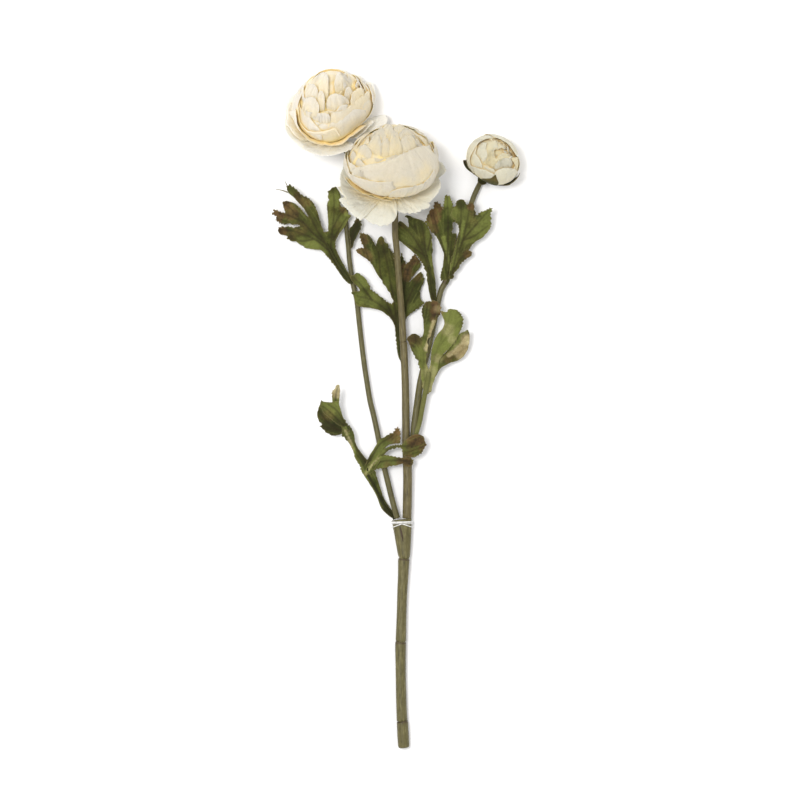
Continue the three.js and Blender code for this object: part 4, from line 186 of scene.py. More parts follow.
        'sheets': [{"name": "stalk", "outline": [[-3.06, -86.26], [-9.28, -81.32], [-12.56, -76.4], [-15.0, -69.37], [-19.89, -60.3], [-24.36, -53.71], [-27.62, -48.38], [-28.52, -45.11], [-25.99, -41.85], [-20.27, -42.67], [-17.01, -47.58], [-14.16, -55.38], [-11.31, -65.25], [-8.05, -72.71], [-4.45, -78.05], [-0.93, -83.56]], "marks": [[-3.14, -84.22, 2.59], [-10.1, -75.17, 3.59], [-14.99, -63.61, 6.59], [-20.69, -53.71, 9.79], [-23.94, -47.15, 10.79]], "veins": [[[-3.55, -84.22], [-10.1, -74.35], [-14.99, -63.61], [-21.5, -52.08], [-23.94, -45.52]]], "shift": 0.0}, {"name": "upper", "outline": [[-27.53, -48.38], [-25.57, -44.29], [-23.94, -41.02], [-21.49, -35.95], [-18.22, -30.8], [-14.95, -25.09], [-13.16, -21.82], [-10.05, -21.0], [-6.79, -18.79], [-3.53, -17.16], [-1.08, -15.44], [-0.1, -13.31], [2.18, -12.01], [3.49, -14.04], [4.3, -15.76], [4.14, -20.17], [3.73, -25.07], [-0.26, -25.56], [-5.57, -26.72], [-9.24, -30.39], [-13.32, -35.7], [-17.41, -41.42], [-19.86, -46.33], [-23.53, -52.05]], "marks": [[-23.94, -47.97, 10.79], [-19.04, -37.34, 11.59], [-12.5, -26.72, 12.39], [-2.71, -20.18, 13.19], [3.0, -14.45, 14.79], [2.18, -24.26, 13.19], [-8.42, -28.35, 12.19]], "veins": [[[-26.39, -49.6], [-19.85, -37.34], [-12.5, -25.9], [-3.53, -20.18], [3.0, -13.64]]], "shift": 0.0}, {"name": "front", "outline": [[-21.49, -43.88], [-14.96, -36.36], [-10.55, -31.21], [-5.97, -28.34], [-1.9, -26.7], [2.18, -26.29], [5.85, -26.03], [7.48, -23.42], [11.15, -20.31], [14.4, -18.35], [18.48, -17.7], [20.93, -18.53], [23.38, -20.16], [23.87, -23.42], [25.5, -26.28], [23.87, -29.14], [21.75, -32.4], [17.67, -35.65], [13.59, -36.71], [7.89, -36.06], [5.69, -31.99], [5.61, -29.87], [1.37, -29.31], [-3.53, -30.21], [-7.2, -32.67], [-11.69, -38.15], [-17.41, -46.74]], "marks": [[-21.49, -44.7, 10.89], [-15.77, -38.97, 11.59], [-9.24, -32.02, 12.29], [-1.08, -28.33, 13.19], [5.44, -28.32, 14.19], [11.15, -28.3, 14.99], [15.22, -19.33, 15.59], [23.38, -22.61, 14.39], [24.2, -28.32, 13.79], [13.59, -34.84, 14.39]], "veins": [[[-21.49, -44.7], [-10.87, -34.88], [-0.26, -27.93], [10.33, -27.49], [20.12, -23.42]]], "shift": 0.0}, {"name": "cross", "outline": [[-25.09, -50.42], [-22.72, -43.07], [-18.22, -38.16], [-14.14, -35.71], [-9.24, -34.88], [-4.35, -35.37], [1.37, -36.66], [7.89, -37.15], [12.38, -37.23], [14.58, -38.78], [14.42, -42.21], [11.48, -44.81], [6.26, -42.69], [-0.27, -43.43], [-5.98, -44.83], [-12.51, -46.16], [-17.41, -47.14], [-21.49, -51.23]], "marks": [[-23.13, -47.15, 10.79], [-15.77, -41.42, 11.39], [-5.98, -39.77, 12.19], [3.81, -39.76, 12.99], [9.52, -39.75, 13.19], [13.6, -39.76, 12.79]], "veins": [[[-23.13, -47.15], [-12.51, -40.61], [-0.27, -39.35], [12.79, -39.76]]], "shift": 0.0}, {"name": "back", "outline": [[-17.0, -47.97], [-20.68, -43.07], [-23.54, -38.18], [-27.62, -33.28], [-31.29, -27.97], [-32.92, -23.47], [-33.32, -19.39], [-34.54, -15.71], [-36.17, -12.44], [-39.02, -9.99], [-41.38, -10.89], [-42.7, -13.67], [-44.35, -18.17], [-41.08, -21.43], [-37.0, -26.33], [-34.56, -31.65], [-32.93, -37.36], [-29.66, -42.67], [-27.21, -45.93], [-24.35, -51.23]], "marks": [[-22.31, -47.97, 10.79], [-26.39, -41.44, 10.59], [-32.11, -30.83, 10.39], [-36.18, -21.02, 11.19], [-40.24, -12.85, 12.59], [-43.54, -16.95, 10.59]], "veins": [[[-20.68, -45.52], [-29.66, -32.46], [-35.37, -22.66], [-41.06, -12.85]]], "shift": 0.0}, {"name": "curl", "outline": [[-60.15, 10.0], [-58.52, 8.7], [-53.21, 8.05], [-49.11, 9.03], [-46.41, 8.54], [-44.24, 1.86], [-41.83, -5.49], [-38.45, -10.81], [-36.98, -15.3], [-39.84, -16.93], [-43.09, -12.84], [-48.37, -9.0], [-53.25, -5.08], [-58.17, -1.01], [-60.21, 2.66], [-61.38, 6.33]], "marks": [[-38.61, -13.67, 12.19], [-43.46, -6.3, 14.79], [-46.66, 6.75, 17.99], [-53.2, 1.86, 16.39], [-59.75, 8.37, 15.39], [-59.0, 1.02, 12.59], [-49.19, -7.13, 13.59]], "veins": [[[-38.61, -15.3], [-46.7, 0.22], [-54.85, 6.74]], [[-41.86, -11.21], [-51.59, -1.41], [-58.95, 5.11]]], "shift": 0.0}, {"name": "under", "outline": [[-61.44, 6.33], [-63.12, 2.24], [-63.95, -2.25], [-62.36, -7.16], [-59.69, -10.44], [-62.15, -11.1], [-59.12, -13.96], [-54.24, -17.98], [-50.13, -19.11], [-46.0, -18.43], [-42.73, -17.28], [-39.45, -20.21], [-36.59, -18.57], [-37.4, -14.49], [-41.08, -10.82], [-47.6, -7.8], [-53.32, -4.04], [-57.39, -0.2], [-59.81, 4.29]], "marks": [[-38.62, -15.3, 11.79], [-42.73, -16.13, 10.39], [-49.28, -14.52, 9.19], [-57.45, -7.98, 9.39], [-62.32, 0.2, 10.39], [-60.76, -11.26, 7.59], [-53.43, -17.82, 6.59], [-50.85, -6.32, 12.19], [-58.2, 0.61, 11.99], [-60.62, 5.51, 13.19]], "veins": [[[-39.44, -16.12], [-49.28, -12.88], [-58.25, -4.71], [-62.31, 1.83]], [[-45.18, -14.51], [-55.02, -12.89], [-60.76, -10.44]]], "shift": 0.0}, {"name": "tip", "outline": [[-50.9, 6.75], [-51.52, 13.26], [-51.67, 16.92], [-49.23, 19.36], [-48.42, 21.4], [-46.23, 22.7], [-45.01, 19.77], [-45.17, 14.07], [-46.5, 6.34]], "marks": [[-48.7, 6.75, 17.39], [-48.69, 10.0, 18.19], [-48.66, 15.7, 19.59], [-46.64, 21.4, 18.99]], "veins": [[[-48.7, 7.56], [-48.25, 14.89], [-46.64, 21.4]]], "shift": 0.0}],
        'petiole': [[-0.77, -87.72, 3.09, 0.9], [-3.14, -84.21, 2.69, 1.0], [-10.1, -75.17, 3.49, 1.05], [-15.81, -63.62, 6.39, 1.1], [-21.91, -52.08, 9.89, 1.05], [-22.72, -45.52, 10.79, 0.8]],
        'tint': {
            'brown': [[3.0, -14.5, 5.74, 1.0], [0.55, -20.21, 7.38, 0.7], [-4.35, -21.03, 4.1, 0.4], [16.88, -21.03, 9.02, 0.85], [23.41, -27.56, 6.56, 0.7], [12.79, -28.37, 4.92, 0.4], [7.9, -40.62, 9.02, 0.75], [-5.98, -44.7, 4.92, 0.5], [-54.96, -2.25, 5.74, 0.35]],
            'light': [[-50.88, 3.46, 11.48, 0.55], [-0.27, -29.19, 11.48, 0.3], [-14.15, -30.82, 9.02, 0.45], [-5.98, -39.8, 10.66, 0.4], [-41.49, -12.86, 2.62, 0.8], [-40.27, -15.56, 2.62, 0.8], [-39.04, -18.33, 2.62, 0.8], [-37.82, -21.03, 2.62, 0.8], [-36.84, -23.72, 2.62, 0.8], [-35.94, -26.5, 2.62, 0.8], [-34.96, -29.19, 2.62, 0.8], [-34.8, -31.89, 2.62, 0.8], [-34.72, -34.66, 2.62, 0.8], [-34.55, -37.35, 2.62, 0.8], [-33.17, -39.8, 2.62, 0.8], [-31.86, -42.25, 2.62, 0.8], [-25.58, -51.23, 1.97, 0.85], [-24.11, -49.44, 1.97, 0.85], [-22.72, -47.56, 1.97, 0.85], [-21.33, -45.68, 1.97, 0.85], [-19.86, -43.88, 1.97, 0.85], [-18.23, -42.09, 1.97, 0.85], [-16.59, -40.21, 1.97, 0.85], [-14.96, -38.33, 1.97, 0.85], [-13.33, -36.54, 1.97, 0.85], [-11.45, -34.66, 1.97, 0.85], [-9.49, -32.7, 1.97, 0.85], [-31.29, -41.44, 2.62, 0.55], [-29.82, -43.89, 2.62, 0.55], [-28.35, -46.34, 2.62, 0.55], [-26.88, -48.79, 2.62, 0.55], [-25.41, -51.23, 2.62, 0.55], [-23.94, -53.68, 2.62, 0.55], [-22.64, -55.97, 2.62, 0.55], [-21.33, -58.25, 2.62, 0.55], [-20.02, -60.54, 2.62, 0.55], [-18.72, -62.83, 2.62, 0.55], [-17.41, -65.11, 2.62, 0.55], [-16.27, -67.23, 2.62, 0.55], [-15.13, -69.36, 2.62, 0.55], [-13.98, -71.48, 2.62, 0.55], [-12.84, -73.6, 2.62, 0.55]],
            'dark': [[-5.17, -79.81, 9.02, 0.9], [-10.06, -70.01, 7.38, 0.55], [-18.23, -56.95, 5.74, 0.4], [-53.33, -13.68, 13.12, 0.8], [-39.45, -22.66, 4.92, 0.6], [-27.21, -34.91, 6.56, 0.35], [-59.86, -3.07, 7.38, 0.6], [-37.0, -12.05, 3.28, 0.7]],
            'tan': [[-47.62, 18.16, 7.38, 0.8], [-40.68, -15.31, 1.64, 0.5], [-39.45, -18.01, 1.64, 0.5], [-38.23, -20.78, 1.64, 0.5], [-37.0, -23.48, 1.64, 0.5], [-36.35, -25.76, 1.64, 0.5], [-35.78, -27.97, 1.64, 0.5], [-35.21, -30.17, 1.64, 0.5], [-24.76, -50.42, 1.31, 0.5], [-23.29, -48.62, 1.31, 0.5], [-21.9, -46.74, 1.31, 0.5], [-20.51, -44.86, 1.31, 0.5], [-19.04, -43.07, 1.31, 0.5], [-17.41, -41.27, 1.31, 0.5], [-15.78, -39.4, 1.31, 0.5], [-14.15, -37.52, 1.31, 0.5]],
        },
    },
    'bract_left': {
        'sheets': [{"name": "blade", "outline": [[-36.58, 134.28], [-37.06, 139.98], [-37.63, 144.06], [-37.87, 148.12], [-36.64, 150.96], [-34.18, 153.8], [-32.53, 157.84], [-31.31, 161.51], [-29.27, 160.28], [-27.8, 157.02], [-27.64, 152.98], [-29.04, 148.51], [-31.09, 144.05], [-33.55, 139.57], [-35.19, 134.28]], "marks": [[-36.25, 135.1, 6.79], [-35.42, 142.43, 7.39], [-32.14, 150.55, 8.39], [-30.49, 158.65, 9.59]], "veins": [[[-36.25, 134.28], [-35.42, 144.06], [-32.14, 152.18], [-30.49, 158.65]]], "shift": 0.0}],
        'petiole': None,
        'tint': {
            'brown': [[-31.31, 157.83, 3.28, 0.25]],
            'light': [],
            'dark': [[-33.78, 147.29, 14.76, 0.95], [-36.25, 137.55, 6.56, 0.8]],
            'tan': [],
        },
    },
}
TIE = {
    'outer': [[5.37, -91.08, 6.89, 9.15, 5.65], [5.37, -88.95, 6.89, 9.15, 5.65]],
    'inner': [[5.37, -93.53, 6.89, 8.45, 4.95], [5.37, -86.5, 6.89, 8.45, 4.95]],
}
CAM = [2.59, 13.26, 2450.79]
HOLE_R = 1.75


# ------------------------------------------------------------------ noise
def _hash(ix, iy, iz, seed):
    h = (ix * 374761393 + iy * 668265263 + iz * 2147483647 + seed * 144665) & 0xFFFFFFFF
    h = ((h ^ (h >> 13)) * 1274126177) & 0xFFFFFFFF
    h = (h ^ (h >> 16)) & 0xFFFFFFFF
    return h.astype(np.float64) / 4294967295.0


def vnoise(x, y, z=0.0, seed=0):
    x, y, z = np.broadcast_arrays(np.asarray(x, float), np.asarray(y, float), np.asarray(z, float))
    ix, iy, iz = np.floor(x).astype(np.int64), np.floor(y).astype(np.int64), np.floor(z).astype(np.int64)
    fx, fy, fz = x - ix, y - iy, z - iz
    fx, fy, fz = (f * f * (3 - 2 * f) for f in (fx, fy, fz))
    out = 0
    for dx in (0, 1):
        for dy in (0, 1):
            for dz in (0, 1):
                w = (fx if dx else 1 - fx) * (fy if dy else 1 - fy) * (fz if dz else 1 - fz)
                out = out + w * _hash(ix + dx, iy + dy, iz + dz, seed)
    return out * 2 - 1


def fbm(x, y, z=0.0, seed=0, octaves=3):
    s, a, t = 0, 1.0, 0
    for o in range(octaves):
        s = s + a * vnoise(x * 2 ** o, y * 2 ** o, np.asarray(z) * 2 ** o, seed + 17 * o)
        t += a
        a *= 0.5
    return s / t


def smooth(e0, e1, x):
    t = np.clip((x - e0) / (e1 - e0), 0, 1)
    return t * t * (3 - 2 * t)


# ------------------------------------------------------------------ meshes
def make_object(name, verts, faces, mat, attrs=None, replaces=(), shade=True):
    me = bpy.data.meshes.new(name)
    me.from_pydata([tuple(v) for v in np.asarray(verts, float) * MM], [], [tuple(int(i) for i in f) for f in faces])
    for key, vals in (attrs or {}).items():
        a = me.attributes.new(key, "FLOAT", "POINT")
        a.data.foreach_set("value", np.asarray(vals, np.float32))
    me.validate(clean_customdata=False)
    me.update()
    if shade:
        me.polygons.foreach_set("use_smooth", [True] * len(me.polygons))
    ob = bpy.data.objects.new(name, me)
    bpy.context.scene.collection.objects.link(ob)
    me.materials.append(mat)
    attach(ob, "root")
    if replaces:
        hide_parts(*replaces)
    return ob


class Bag:
    """Collects several surfaces into one mesh."""

    def __init__(self):
        self.v, self.f, self.a, self.n = [], [], {}, 0

    def add(self, verts, faces, attrs):
        verts = np.asarray(verts, float)
        for k in set(self.a) | set(attrs):
            if k not in self.a:
                self.a[k] = [np.zeros(self.n)]
            self.a[k].append(np.asarray(attrs.get(k, np.zeros(len(verts))), float))
        self.v.append(verts)
        self.f += [tuple(i + self.n for i in f) for f in faces]
        self.n += len(verts)

    def make(self, name, mat, replaces=(), slot=None):
        return make_object(name, np.vstack(self.v), self.f, mat, {k: np.concatenate(v) for k, v in self.a.items()}, replaces)


def grid_normals(P):
    du = np.gradient(P, axis=1)
    dv = np.gradient(P, axis=0)
    n = np.cross(dv, du)
    l = np.linalg.norm(n, axis=2, keepdims=True)
    bad = l[..., 0] < 1e-9
    n = n / np.maximum(l, 1e-9)
    if bad.any():
        for j in range(P.shape[1]):
            for i in range(P.shape[0]):
                if bad[i, j]:
                    n[i, j] = n[min(i + 1, P.shape[0] - 1), j]
    return n


def thick_grid(P, attrs, thickness):
    """A closed sheet: the grid P (rows by columns by 3) given a thickness, its rim closed."""
    R, C = P.shape[:2]
    n = grid_normals(P)
    th = np.broadcast_to(np.asarray(thickness, float), (R, C))[..., None]
    A, B = P + n * th / 2, P - n * th / 2
    verts = np.vstack([A.reshape(-1, 3), B.reshape(-1, 3)])
    N = R * C
    faces = []
    for i in range(R - 1):
        for j in range(C - 1):
            p, q, r, s = i * C + j, i * C + j + 1, (i + 1) * C + j + 1, (i + 1) * C + j
            faces.append((p, s, r, q))
            faces.append((N + p, N + q, N + r, N + s))
    rim = [(0, j) for j in range(C)] + [(i, C - 1) for i in range(1, R)] + [(R - 1, j) for j in range(C - 2, -1, -1)] + [(i, 0) for i in range(R - 2, 0, -1)]
    ids = [i * C + j for i, j in rim]
    for k in range(len(ids)):
        p, q = ids[k], ids[(k + 1) % len(ids)]
        faces.append((p, q, N + q, N + p))
    at = {k: np.concatenate([v.reshape(-1), v.reshape(-1)]) for k, v in attrs.items()}
    at["side"] = np.concatenate([np.zeros(N), np.ones(N)])
    return verts, faces, at


def catmull(P, n, closed=False):
    P = np.asarray(P, float)
    out = []
    m = len(P)
    for i in range(m if closed else m - 1):
        p0 = P[(i - 1) % m] if closed or i > 0 else 2 * P[0] - P[1]
        p1, p2 = P[i], P[(i + 1) % m]
        p3 = P[(i + 2) % m] if closed or i + 2 < m else 2 * P[-1] - P[-2]
        for k in range(n):
            t = k / n
            out.append(0.5 * ((2 * p1) + (-p0 + p2) * t + (2 * p0 - 5 * p1 + 4 * p2 - p3) * t * t + (-p0 + 3 * p1 - 3 * p2 + p3) * t ** 3))
    if not closed:
        out.append(P[-1])
    return np.array(out)


def tube(rows, sides=28, dense=1, grow=0.0, cap=True, shape=None):
    """A closed tube through rows of x, y, z, half width, half depth, resampled along its length."""
    R = np.array([list(r[:4]) + [r[4] if len(r) > 4 else r[3]] for r in rows], float)
    if dense > 1:
        pos = catmull(R[:, :3], dense)
        seg = np.linspace(0, len(R) - 1, (len(R) - 1) * dense + 1)
        rad = np.stack([np.interp(seg, np.arange(len(R)), R[:, k]) for k in (3, 4)], 1)
        R = np.hstack([pos, rad])
    pts = R[:, :3]
    T = np.gradient(pts, axis=0)
    T /= np.linalg.norm(T, axis=1, keepdims=True)
    side = np.cross(T, [0, 0, 1.0])
    side /= np.linalg.norm(side, axis=1, keepdims=True)
    top = np.cross(side, T)
    dist = np.concatenate([[0], np.cumsum(np.linalg.norm(np.diff(pts, axis=0), axis=1))])
    th = np.linspace(0, 2 * np.pi, sides, endpoint=False)
    a, b = (R[:, 3] + grow)[:, None], (R[:, 4] + grow)[:, None]
    k = np.ones((len(R), sides))
    if shape is not None:
        k = shape(dist[:, None], th[None, :])
    P = pts[:, None, :] + side[:, None, :] * (a * np.cos(th) * k)[..., None] + top[:, None, :] * (b * np.sin(th) * k)[..., None]
    n = len(R)
    verts = P.reshape(-1, 3)
    faces = []
    for i in range(n - 1):
        for j in range(sides):
            p, q = i * sides + j, i * sides + (j + 1) % sides
            faces.append((p, q, q + sides, p + sides))
    along = np.repeat(dist, sides)
    around = np.tile(th, n)
    if cap:
        verts = np.vstack([verts, pts[0], pts[-1]])
        c0, c1 = n * sides, n * sides + 1
        for j in range(sides):
            faces.append((c0, (j + 1) % sides, j))
            faces.append((c1, (n - 1) * sides + j, (n - 1) * sides + (j + 1) % sides))
        along = np.concatenate([along, [dist[0], dist[-1]]])
        around = np.concatenate([around, [0, 0]])
    return verts, faces, {"along": along, "around": around}


# ------------------------------------------------------------------ materials
def new_mat(name):
    m = bpy.data.materials.new(name)
    m.use_nodes = True
    nt = m.node_tree
    nt.nodes.clear()
    out = nt.nodes.new("ShaderNodeOutputMaterial")
    b = nt.nodes.new("ShaderNodeBsdfPrincipled")
    nt.links.new(b.outputs["BSDF"], out.inputs["Surface"])
    return m, nt, b


def node(nt, kind, **inputs):
    n = nt.nodes.new(kind)
    for k, v in inputs.items():
        if hasattr(n, k):
            setattr(n, k, v)
        else:
            n.inputs[k].default_value = v
    return n


def attr(nt, name):
    n = nt.nodes.new("ShaderNodeAttribute")
    n.attribute_name = name
    return n.outputs["Fac"]


def math_(nt, op, a, b=None, c=None, clamp=False):
    n = nt.nodes.new("ShaderNodeMath")
    n.operation = op
    n.use_clamp = clamp
    for i, v in enumerate((a, b, c)):
        if v is None:
            continue
        if isinstance(v, (int, float)):
            n.inputs[i].default_value = v
        else:
            nt.links.new(v, n.inputs[i])
    return n.outputs[0]


def mix(nt, fac, a, b, blend="MIX"):
    n = nt.nodes.new("ShaderNodeMix")
    n.data_type = "RGBA"
    n.blend_type = blend
    for sock, v in ((n.inputs[0], fac), (n.inputs[6], a), (n.inputs[7], b)):
        if isinstance(v, (int, float)):
            sock.default_value = v
        elif isinstance(v, tuple):
            sock.default_value = (*v, 1.0) if len(v) == 3 else v
        else:
            nt.links.new(v, sock)
    return n.outputs[2]


def ramp(nt, fac, stops, interp="EASE"):
    n = nt.nodes.new("ShaderNodeValToRGB")
    n.color_ramp.interpolation = interp
    e = n.color_ramp.elements
    while len(e) < len(stops):
        e.new(0.5)
    for i, (p, c) in enumerate(stops):
        e[i].position = p
        e[i].color = (*c, 1) if len(c) == 3 else c
    nt.links.new(fac, n.inputs[0])
    return n.outputs[0]


def texture(nt, kind, scale, coord, **kw):
    n = nt.nodes.new(kind)
    n.inputs["Scale"].default_value = scale
    for k, v in kw.items():
        if k in n.inputs:
            n.inputs[k].default_value = v
        else:
            setattr(n, k, v)
    nt.links.new(coord, n.inputs["Vector"])
    return n


def srgb(r, g, b):
    def f(c):
        c /= 255.0
        return c / 12.92 if c <= 0.04045 else ((c + 0.055) / 1.055) ** 2.4
    return (f(r), f(g), f(b))


def bump(nt, b, height, strength, distance):
    n = nt.nodes.new("ShaderNodeBump")
    n.inputs["Strength"].default_value = strength
    n.inputs["Distance"].default_value = distance
    nt.links.new(height, n.inputs["Height"])
    nt.links.new(n.outputs["Normal"], b.inputs["Normal"])
    return n


def petal_material(name, cream, mid, deep, tip=None):
    """Fine polyester: cream, yellower towards the base and on the inner face, partly its dye and partly painted shade,
    a close weave, and a golden painted crevice shade where the petals crowd together.
    """
    m, nt, b = new_mat(name)
    obj = nt.nodes.new("ShaderNodeTexCoord").outputs["Object"]
    v, u, side = attr(nt, "v"), attr(nt, "u"), attr(nt, "side")
    rnd = attr(nt, "rnd")
    big = texture(nt, "ShaderNodeTexNoise", 55.0, obj, Detail=3.0, Roughness=0.6).outputs["Fac"]
    fine = texture(nt, "ShaderNodeTexNoise", 700.0, obj, Detail=2.0).outputs["Fac"]
    # share of the petal's length, pushed about by soft blotches and by the side; the shift by side turns the inner face
    # towards the golden base colour as painted shade
    t = math_(nt, "ADD", v, math_(nt, "MULTIPLY", math_(nt, "SUBTRACT", big, 0.5), 0.62))
    t = math_(nt, "SUBTRACT", t, math_(nt, "MULTIPLY", side, 0.10))
    t = math_(nt, "ADD", t, math_(nt, "MULTIPLY", math_(nt, "SUBTRACT", rnd, 0.5), 0.10), clamp=True)
    col = ramp(nt, t, [(0.0, deep), (0.42, mid), (0.80, cream), (1.0, cream)])
    # faint streaks that run from base to rim
    comb = nt.nodes.new("ShaderNodeCombineXYZ")
    nt.links.new(math_(nt, "MULTIPLY", u, 9.0), comb.inputs[0])
    nt.links.new(math_(nt, "MULTIPLY", v, 0.7), comb.inputs[1])
    nt.links.new(math_(nt, "MULTIPLY", rnd, 40.0), comb.inputs[2])
    streak = texture(nt, "ShaderNodeTexNoise", 1.0, comb.outputs[0], Detail=4.0, Roughness=0.7).outputs["Fac"]
    dark = math_(nt, "MULTIPLY", math_(nt, "SUBTRACT", streak, 0.5), 0.22)
    shade = math_(nt, "ADD", math_(nt, "ADD", 0.985, dark), math_(nt, "MULTIPLY", math_(nt, "SUBTRACT", fine, 0.5), 0.10))
    g = nt.nodes.new("ShaderNodeCombineColor")
    for i in range(3):
        nt.links.new(shade, g.inputs[i])
    col = mix(nt, 1.0, col, g.outputs[0], "MULTIPLY")
    # painted crevice shade: a golden tint mixed in where the ray test finds the petal hemmed in by others, standing for
    # the shade and warm bounce light between them
    warm = attr(nt, "warm")
    col = mix(nt, math_(nt, "MULTIPLY", warm, 0.95, clamp=True), col, deep)
    if tip is not None:
        e = attr(nt, "edge")
        col = mix(nt, math_(nt, "MULTIPLY", e, 0.55), col, tip)
    nt.links.new(col, b.inputs["Base Color"])
    b.inputs["Roughness"].default_value = 0.88
    b.inputs["Sheen Weight"].default_value = 0.25
    b.inputs["Sheen Roughness"].default_value = 0.6
    b.inputs["Subsurface Weight"].default_value = 0.4
    b.inputs["Subsurface Radius"].default_value = (0.8, 0.9, 1.0)
    b.inputs["Subsurface Scale"].default_value = 0.0028
    b.inputs["Specular IOR Level"].default_value = 0.2
    weave = texture(nt, "ShaderNodeTexVoronoi", 1500.0, obj).outputs["Distance"]
    crease = texture(nt, "ShaderNodeTexNoise", 190.0, obj, Detail=4.0, Roughness=0.65).outputs["Fac"]
    wrinkle = texture(nt, "ShaderNodeTexNoise", 75.0, obj, Detail=3.0, Roughness=0.6, Distortion=0.8).outputs["Fac"]
    h = math_(nt, "ADD", math_(nt, "MULTIPLY", weave, 0.25), math_(nt, "ADD", math_(nt, "MULTIPLY", crease, 1.3), math_(nt, "ADD", math_(nt, "MULTIPLY", streak, 1.9), math_(nt, "MULTIPLY", wrinkle, 2.6))))
    bump(nt, b, h, 0.6, 0.0008)
    return m


def leaf_material():
    """Printed polyester leaf: mottled green with darker veins, brown and tan tips, pale cut edge."""
    m, nt, b = new_mat("leaf_print")
    obj = nt.nodes.new("ShaderNodeTexCoord").outputs["Object"]
    vein, edge, brown, light, dark, tan, side = (attr(nt, k) for k in ("vein", "edge", "brown", "light", "dark", "tan", "side"))
    n1 = texture(nt, "ShaderNodeTexNoise", 110.0, obj, Detail=5.0, Roughness=0.65).outputs["Fac"]
    n2 = texture(nt, "ShaderNodeTexNoise", 420.0, obj, Detail=3.0, Roughness=0.7).outputs["Fac"]
    n3 = texture(nt, "ShaderNodeTexNoise", 38.0, obj, Detail=2.0).outputs["Fac"]
    base = ramp(nt, n1, [(0.30, srgb(45, 50, 20)), (0.50, srgb(66, 72, 28)), (0.72, srgb(90, 93, 40))])
    base = mix(nt, math_(nt, "MULTIPLY", math_(nt, "SUBTRACT", n3, 0.35, clamp=True), 1.1, clamp=True), base, srgb(78, 68, 34))
    # light: lighter green, partly the print's own lighter patches and partly painted highlight along the edges and
    # folds that face the light
    base = mix(nt, math_(nt, "MULTIPLY", light, 0.85), base, srgb(124, 132, 66))
    # dark: darker green, partly the cloth's own darker tone and partly painted shade where leaves lie under the stems
    # and heads
    base = mix(nt, math_(nt, "MULTIPLY", dark, 0.8), base, srgb(34, 36, 16))
    wob = math_(nt, "MULTIPLY", math_(nt, "SUBTRACT", n2, 0.5), 0.9)
    bf = math_(nt, "MULTIPLY", math_(nt, "ADD", brown, math_(nt, "MULTIPLY", brown, wob)), 1.0, clamp=True)
    brn = ramp(nt, n1, [(0.35, srgb(58, 42, 28)), (0.52, srgb(92, 70, 42)), (0.70, srgb(120, 96, 58))])
    base = mix(nt, bf, base, brn)
    tf = math_(nt, "ADD", tan, math_(nt, "MULTIPLY", tan, wob), clamp=True)
    base = mix(nt, tf, base, ramp(nt, n1, [(0.35, srgb(148, 132, 92)), (0.65, srgb(192, 180, 138))]))
    # streak: painted highlight on the crests of the pressed folds
    base = mix(nt, math_(nt, "MULTIPLY", attr(nt, "streak"), 0.30), base, srgb(116, 122, 62))
    base = mix(nt, math_(nt, "MULTIPLY", vein, 0.85, clamp=True), base, srgb(44, 36, 18))
    base = mix(nt, math_(nt, "MULTIPLY", math_(nt, "POWER", edge, 2.0), 0.35), base, srgb(150, 142, 98))
    spk = texture(nt, "ShaderNodeTexNoise", 1300.0, obj, Detail=1.0).outputs["Fac"]
    g = nt.nodes.new("ShaderNodeCombineColor")
    s = math_(nt, "ADD", 0.72, math_(nt, "MULTIPLY", spk, 0.52))
    for i in range(3):
        nt.links.new(s, g.inputs[i])
    base = mix(nt, 1.0, base, g.outputs[0], "MULTIPLY")
    nt.links.new(base, b.inputs["Base Color"])
    b.inputs["Roughness"].default_value = 0.8
    b.inputs["Sheen Weight"].default_value = 0.04
    b.inputs["Specular IOR Level"].default_value = 0.16
    h = math_(nt, "ADD", math_(nt, "MULTIPLY", n2, 0.8), math_(nt, "ADD", math_(nt, "MULTIPLY", n1, 0.8), math_(nt, "MULTIPLY", spk, 0.3)))
    bump(nt, b, h, 0.6, 0.0006)
    return m


def stem_material(name, c0, c1, c2, scale=1.0):
    """Soft moulded plastic, olive with drawn-out streaks and small pits."""
    m, nt, b = new_mat(name)
    along, around = attr(nt, "along"), attr(nt, "around")
    obj = nt.nodes.new("ShaderNodeTexCoord").outputs["Object"]
    comb = nt.nodes.new("ShaderNodeCombineXYZ")
    nt.links.new(math_(nt, "MULTIPLY", along, 0.05), comb.inputs[0])
    nt.links.new(math_(nt, "MULTIPLY", math_(nt, "SINE", around), 1.6), comb.inputs[1])
    nt.links.new(math_(nt, "MULTIPLY", math_(nt, "COSINE", around), 1.6), comb.inputs[2])
    streak = texture(nt, "ShaderNodeTexNoise", 2.2, comb.outputs[0], Detail=5.0, Roughness=0.6).outputs["Fac"]
    spots = texture(nt, "ShaderNodeTexNoise", 260.0, obj, Detail=3.0, Roughness=0.65).outputs["Fac"]
    t = math_(nt, "ADD", math_(nt, "MULTIPLY", streak, 0.78), math_(nt, "MULTIPLY", spots, 0.22))
    col = ramp(nt, t, [(0.32, c0), (0.5, c1), (0.68, c2)])
    pit = texture(nt, "ShaderNodeTexNoise", 900.0, obj, Detail=2.0).outputs["Fac"]
    # darker brown in the joint grooves, and on the slit strip the painted shade of the gap between the parting stems
    groove_and_slit_darkening = attr(nt, "groove")
    col = mix(nt, math_(nt, "MULTIPLY", groove_and_slit_darkening, 0.75), col, srgb(62, 46, 28))
    nt.links.new(col, b.inputs["Base Color"])
    b.inputs["Roughness"].default_value = 0.5
    b.inputs["Specular IOR Level"].default_value = 0.35
    h = math_(nt, "ADD", math_(nt, "MULTIPLY", streak, 1.2), math_(nt, "ADD", math_(nt, "MULTIPLY", spots, 0.5), math_(nt, "MULTIPLY", pit, 0.2)))
    bump(nt, b, h, 0.45, 0.0005)
    return m
